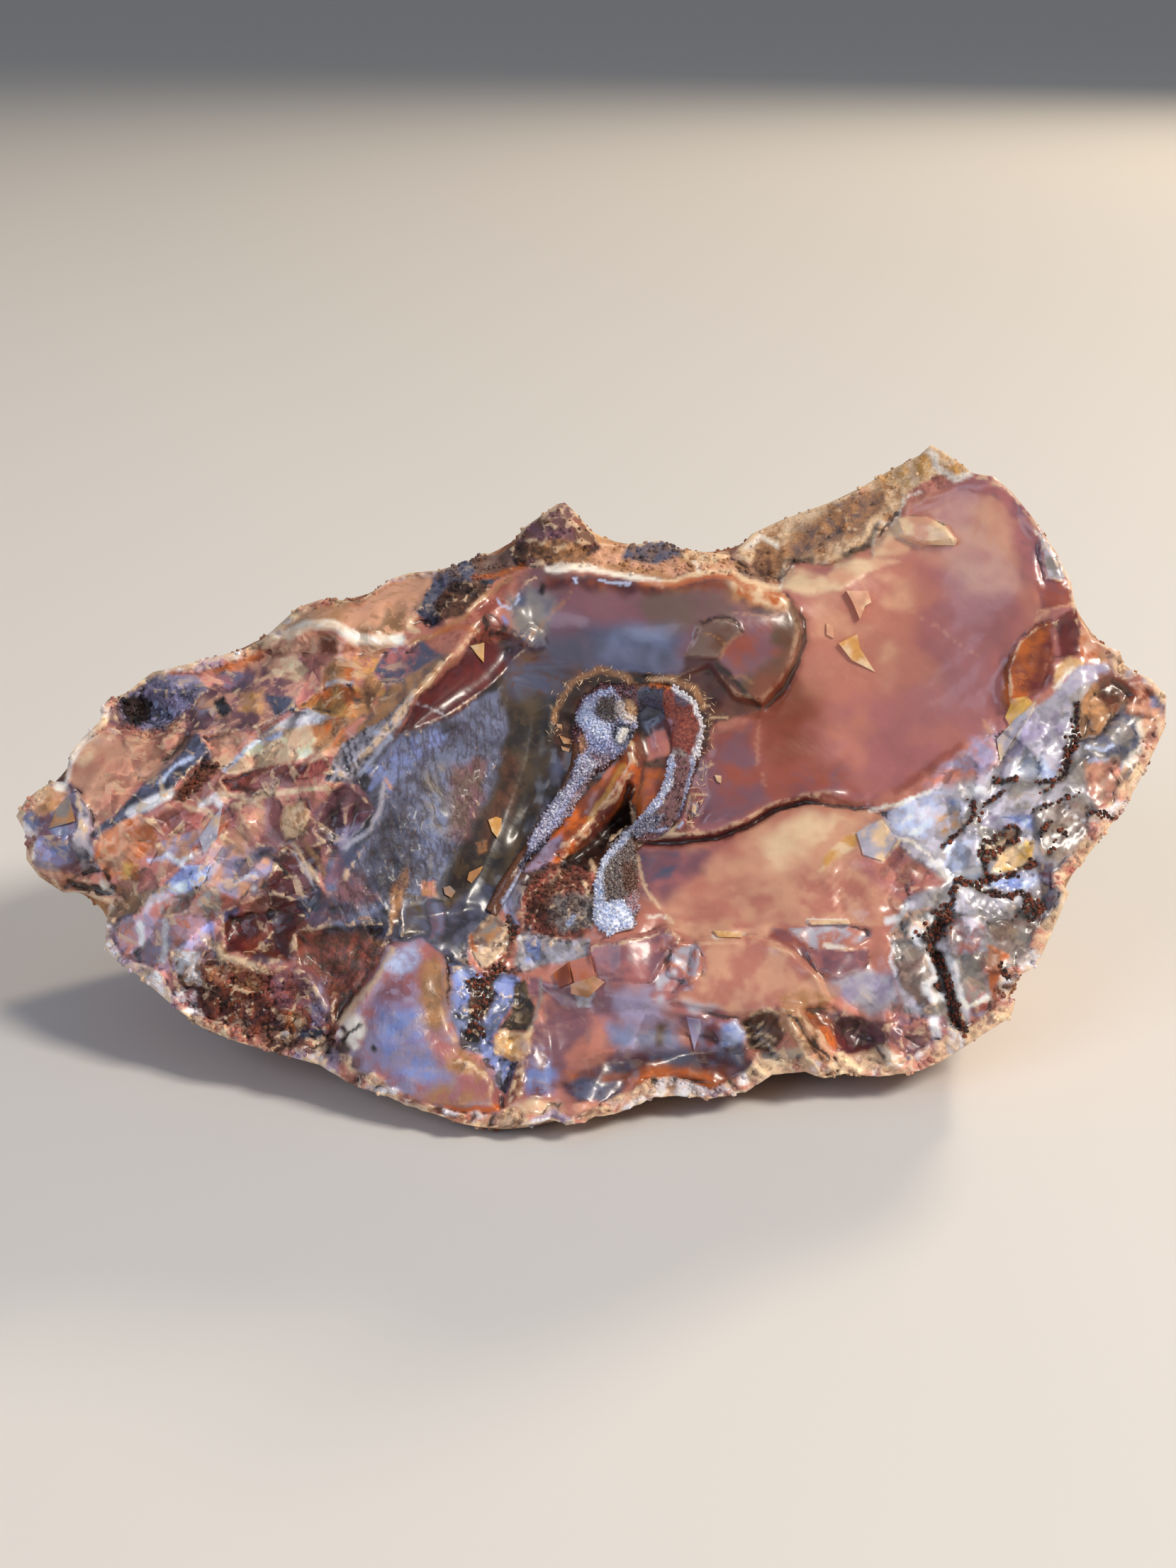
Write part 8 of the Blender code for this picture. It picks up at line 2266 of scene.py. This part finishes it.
ground = main_relief(crust_flat) + fine_relief(crust_flat)
over = ground + CRUST_GAP + CRUST_EDGE + (body + grains * (0.3 + 0.7 * thick)) * rising(inward / CRUST_SLOPE)
over = np.where(inward < CRUST_STEP * 0.2, ground + CRUST_EDGE * 0.3, over)
crust_places = np.concatenate([in_space(crust_flat, over), in_space(crust_flat, ground - CRUST_BURIED)])
count = len(crust_flat)
steps = np.arange(len(crust_rim))
after = np.roll(steps, -1)
crust_faces = np.concatenate([
    crust_front, crust_front[:, ::-1] + count,
    np.column_stack([after, steps, steps + count]), np.column_stack([after, steps + count, after + count]),
])
crust = piece("druse_crust_skin", crust_places, crust_faces)

crust_canvas, crust_second = painted(crust_bent, "brown", CRUST_FIELDS, CRUST_MARKS)
put_colour(crust.data, "tint", np.tile(crust_canvas, (2, 1)))
put_colour(crust.data, "fleck", np.tile(crust_second, (2, 1)))
put_number(crust.data, "pointed", np.concatenate([thick, np.zeros(count)]))

# %% [markdown]
# A quartz point is a six-sided prism with a six-sided tip. Light goes in and scatters, and each facet mirrors a bit
# of the room, so the points stay flat-shaded and glossy, in the same shader as the crust.

# %% Quartz points
druse = Shader("druse", {
    "IOR": 1.54, "Subsurface Weight": 0.3, "Subsurface Radius": (1.0, 0.8, 0.7), "Subsurface Scale": 0.0008,
})
crust_place = druse.place()
sugar = druse.noise(crust_place, 0.5, 3.0, 0.6)
colour = druse.mix(sugar.between(0.45, 0.6), druse.stored_colour("tint"), druse.stored_colour("fleck"))
shade = druse.noise(crust_place, 0.35, 2.0).between(0.25, 0.75) * 0.7 + 0.75
colour = druse.shaded(colour, shade)
druse.lay("Base Color", colour)
druse.lay("Roughness", 0.12 + 0.3 * sugar)
druse.raise_bumps(sugar, 0.2, 0.5)
crust.data.materials.append(druse.material)

POINTS_PER_MM2 = 9
points_of_quartz = grow(
    "quartz_points", crust, quartz_point, druse.material, "pointed", POINTS_PER_MM2, (0.35, 0.85), 40, 3,
)
PIECES += [(crust, "druse_crust", "druse"), (points_of_quartz, None, "druse")]

# %% [markdown]
# ## Flakes that hang on
# A few thin flakes broke loose but still hang on by one edge. Light gets in behind them, so they look cream or
# orange on the darker stone. Each is a small plate of its own on the break, closed all round, with a crisp outline.

# %% Loose flakes
# Colours, how far the flake stands out, how fast it rises to the right and upwards, and its outline.
LOOSE_FLAKES = [
    ("cream", "ochre", 0.5, -0.06, 0.06, [(39.2, 22), (42.1, 23.4), (42.5, 21.3), (44.9, 17.5), (41.2, 19.4)]),
    ("cream", "peach", 0.9, 0.0, 0.03, [(40.4, 30.2), (43.8, 30.2), (44.3, 28.4), (43.3, 27.8), (42.5, 25.7),
        (41.4, 28.4)]),
    ("cream", "peach", 0.35, 0.0, 0.0, [(37.3, 25.1), (38.3, 24.7), (38.4, 22.8), (37.3, 23.4)]),
    ("peach", "cream", 0.45, 0.03, 0.08, [(48.4, 41.6), (53, 41.8), (56, 40.2), (57.7, 38), (57.4, 37.3),
        (53, 37.4), (49.6, 38.6)]),
    ("cream", "milk", 0.4, 0.04, 0.02, [(42, -7.6), (46, -5.6), (48.4, -8.6), (46, -12), (43, -11)]),
    ("milk", "cream", 0.4, 0.04, 0.02, [(64.4, 3.8), (63.9, 7), (66.6, 10), (70.2, 13.2), (68.6, 10), (66, 6.2)]),
    ("yellow", "peach", 0.5, 0.05, 0.05, [(65.2, 10.4), (66.4, 13.4), (68.6, 13.7), (69.7, 12.7), (66, 9)]),
    ("cream", "ochre", 0.45, 0.05, 0.0, [(-18.4, 21.6), (-16.2, 22.1), (-16.3, 19), (-17.2, 20)]),
    ("ochre", "cream", 0.35, 0.0, 0.0, [(-15.6, -5.6), (-14.4, -5.1), (-13.5, -5.4), (-13.6, -7.2), (-14.2, -8.4),
        (-15, -7.4)]),
    ("ochre", "tan", 0.35, 0.0, 0.0, [(-18.6, -13.8), (-16.4, -12.8), (-16.9, -13.9), (-18.2, -15.5),
        (-18.9, -15)]),
    ("tan", "grey", 0.35, 0.0, 0.0, [(-22.6, -16.2), (-21.6, -15.9), (-20.7, -16.8), (-21.4, -17.8),
        (-22.4, -17.2)]),
    ("cream", "tan", 0.3, 0.0, 0.0, [(-4.5, 7.6), (-2.8, 7), (-2.5, 6.2), (-3.8, 6.3)]),
    ("cream", "tan", 0.3, 0.0, 0.0, [(-4.9, 9.4), (-4.1, 9.3), (-4, 8.6), (-4.8, 8.8)]),
    ("cream", "tan", 0.3, 0.0, 0.0, [(-4.2, 5.9), (-2.8, 5.5), (-3, 5), (-4, 5.3)]),
    ("cream", "tan", 0.3, 0.0, 0.0, [(19.8, 1.4), (20.9, 1.3), (20.8, 0.1), (20.2, 0.4)]),
    ("cream", "tan", 0.3, 0.0, 0.0, [(16.4, -3), (17, -3.4), (16.8, -4.8), (16.2, -4.2)]),
    ("milk", "lilac", 0.5, 0.1, 0.0, [(15.4, -36.4), (17.6, -36.8), (17.7, -38), (16.6, -41.6)]),
    ("grey", "tan", 0.6, 0.1, 0.1, [(-81.2, -1.8), (-80.2, -5.8), (-84.4, -7), (-83.2, -4)]),
    ("rust", "orange", 0.6, 0.08, 0.06, [(-5.4, -29.6), (-3, -27.8), (-2.5, -31), (-4.6, -31.9)]),
    ("orange", "salmon", 0.7, 0.08, 0.06, [(-3, -27.8), (0.4, -26.8), (1.1, -30), (-2, -31.4)]),
    ("peach", "tan", 0.6, 0.05, 0.1, [(-2.7, -31.3), (1, -30), (2.6, -31), (0, -33.4), (-2.7, -32.8)]),
    ("cream", "milk", 0.5, 0.05, 0.05, [(-60.8, -8.4), (-58.6, -5.2), (-57.2, -3.6), (-58, -8.6), (-60, -11)]),
    ("cream", "peach", 0.6, 0.02, 0.08, [(34.4, -21.2), (40.8, -21.3), (41, -21.9), (35, -22)]),
    ("cream", "ochre", 0.5, 0.02, 0.08, [(19.6, -22.9), (24.2, -23.2), (24, -24), (20.4, -23.9)]),
]
FLAKE_STEP = 0.45
FLAKE_BURIED = 0.3
LEAST_LIFT = 0.15

flake_places, flake_faces, flake_tint, flake_total = [], [], [], 0
for one, other, lift, right, up, outline in LOOSE_FLAKES:
    edge_points = divided(outline, FLAKE_STEP)
    inner = scattered(FLAKE_STEP, np.min(outline, axis=0), np.max(outline, axis=0), 15)
    flat, front = triangulated(edge_points, inner[depth_inside(inner, edge_points) > FLAKE_STEP * 0.5])
    stands = lift + (flat - np.mean(outline, axis=0)) @ [right, up]
    ground = main_relief(flat) + fine_relief(flat)
    top, foot = in_space(flat, ground + np.maximum(stands, LEAST_LIFT)), in_space(flat, ground - FLAKE_BURIED)
    ring = np.arange(len(edge_points))
    after = np.roll(ring, -1)
    turns_over = [front, front[:, ::-1] + len(flat), np.column_stack([after, ring, ring + len(flat)])]
    turns_over.append(np.column_stack([after, ring + len(flat), after + len(flat)]))
    flake_faces.append(np.concatenate(turns_over) + flake_total)
    flake_places += [top, foot]
    blend = mixed(one, other, rising(0.5 + 1.3 * clouds(flat, 2.0, 320)))
    flake_tint += [blend, blend]
    flake_total += 2 * len(flat)
loose = piece("loose_flakes", np.concatenate(flake_places), np.concatenate(flake_faces))
loose.data.set_sharp_from_angle(angle=math.radians(35))
put_colour(loose.data, "tint", np.concatenate(flake_tint))
thin_stone = Shader("thin flakes", {
    "IOR": 1.54, "Roughness": 0.3, "Subsurface Weight": 0.3, "Subsurface Radius": (1.0, 0.6, 0.4),
    "Subsurface Scale": 0.001,
})
flake_place = thin_stone.place()
shade = thin_stone.noise(flake_place, 1.2, 3.0) * 0.5 + 0.8
thin_stone.lay("Base Color", thin_stone.shaded(thin_stone.stored_colour("tint"), shade))
loose.data.materials.append(thin_stone.material)
PIECES.append((loose, None, "carnelian"))
print("loose flakes:", len(LOOSE_FLAKES))

# %% [markdown]
# ## Crumbs and straws
# Earth and rotten rock cling to the nodule: round the outline, on the rock of the top edge and in the seams. They are
# grains under a millimetre, so they are grown too, as crumbs with some twenty faces each. Beside the druse the broken
# skin bristles with chips as fine as straw.

# %% Crumbs
CRUMBS_PER_MM2 = 2.2
VEIN_CRUMBS_PER_MM2 = 5.0
CHIPS_PER_MM2 = 2.2
BRISTLY_EDGES = [
    [(-5.2, 8), (-4.8, 13), (-2.4, 16), (1.6, 17.9), (5.2, 17.2), (7.2, 15.4)],
    [(9.8, 16.6), (13, 16.8), (16.6, 15.4), (18.8, 12), (19, 6), (17.6, 0), (16.4, -6)],
]
CRUMBLY = {
    "matrix block": 0.25, "matrix knob": 0.12, "top ridge": 0.25, "peak rock": 0.08, "stained pit": 0.6,
    "brown streak": 1.0, "rusty foot": 0.5, "red tissue": 0.7,
}
earthy_rim = 0.5 * rind * rising(2.5 * clouds(face_points, 4.0, 310))
earthy_rock = [share * area(face_points, POROUS[name][0], 1.0) for name, share in CRUMBLY.items()]
put_mask("crumbly", strongest([earthy_rim, *earthy_rock]), 0.02)
put_mask("veined", strongest(line(face_points, path, 0.75 * half_width) for half_width, path in VEINS), 0.0)
put_mask("bristly", strongest(line(face_points, path, 0.8) for path in BRISTLY_EDGES), 0.0)

earth = Shader("earth", {"Roughness": 0.85, "IOR": 1.5})
earth_place = earth.place()
shade = earth.noise(earth_place, 0.9, 2.0).between(0.3, 0.7) * 0.6 + 0.6
earth.lay("Base Color", earth.shaded(earth.stored_colour("tint"), shade))
crumbs = grow("earth_crumbs", stone, crumb, earth.material, "crumbly", CRUMBS_PER_MM2, (0.4, 1.1), 90, 5)

manganese = Shader("manganese", {"Roughness": 0.8, "IOR": 1.5})
place = manganese.place()
speck = manganese.noise(place, 0.8, 1.0).between(0.45, 0.6)
colour = manganese.mix(speck.socket, (*COLOURS["dark brown"], 1), (*COLOURS["rust"], 1))
manganese.lay("Base Color", colour)
vein_crumbs = grow(
    "vein_crumbs", stone, crumb, manganese.material, "veined", VEIN_CRUMBS_PER_MM2, (0.35, 0.95), 90, 7,
)

straws = Shader("straws", {"Base Color": (*COLOURS["cream"], 1), "Roughness": 0.5, "IOR": 1.5})
bristles = grow("fine_chips", stone, straw, straws.material, "bristly", CHIPS_PER_MM2, (0.5, 1.2), 75, 6)
PIECES += [(crumbs, None, "carnelian"), (vein_crumbs, None, "carnelian"), (bristles, None, "carnelian")]


# %% [markdown]
# ## Light and floor
# A big soft lamp above right and in front shows the colours, a cool wide lamp from the upper left gives the blue
# glints that glassy flakes have by daylight, and a small warm lamp behind grazes the top edge.

# %% Floor and lamps
bpy.ops.mesh.primitive_plane_add(size=200)
floor = bpy.context.object
floor.name = "floor"
floor_finish = bpy.data.materials.new("pale floor")
floor_finish.use_nodes = True
floor_shader = floor_finish.node_tree.nodes["Principled BSDF"]
floor_shader.inputs["Base Color"].default_value = (0.72, 0.70, 0.67, 1)
floor_shader.inputs["Roughness"].default_value = 0.7
floor.data.materials.append(floor_finish)


def lamp(name, place, aim, size, power, colour):
    """A square area lamp that points from place at aim, both in metres."""
    light = bpy.data.lights.new(name, "AREA")
    light.size = size
    light.energy = power
    light.color = colour
    made = bpy.data.objects.new(name, light)
    made.location = place
    made.rotation_mode = "QUATERNION"
    made.rotation_quaternion = (Vector(aim) - Vector(place)).to_track_quat("-Z", "Y")
    bpy.context.scene.collection.objects.link(made)
    return made


middle = (0, 0, 0.04)
lamp("key", (1.3, -0.6, 1.4), middle, 0.5, 31, (1.0, 0.92, 0.82))
lamp("cool sky", (-1.2, -1.3, 1.1), middle, 1.2, 12, (0.66, 0.77, 1.0))
lamp("warm back", (1.6, 2.2, 1.6), middle, 0.4, 50, (1.0, 0.83, 0.62))
world = bpy.data.worlds.new("soft surround")
world.use_nodes = True
world.node_tree.nodes["Background"].inputs["Color"].default_value = (0.78, 0.82, 0.9, 1)
world.node_tree.nodes["Background"].inputs["Strength"].default_value = 0.24
bpy.context.scene.world = world
bpy.context.scene.view_settings.view_transform = "Standard"

# %% [markdown]
# ## Hand the pieces over
# Each piece rides on the stone's one body and stands for its solid, so the solids themselves aren't shown.

# %% Finish
for made, node, finish in PIECES:
    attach(made, "root")
    if node:
        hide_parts(node)
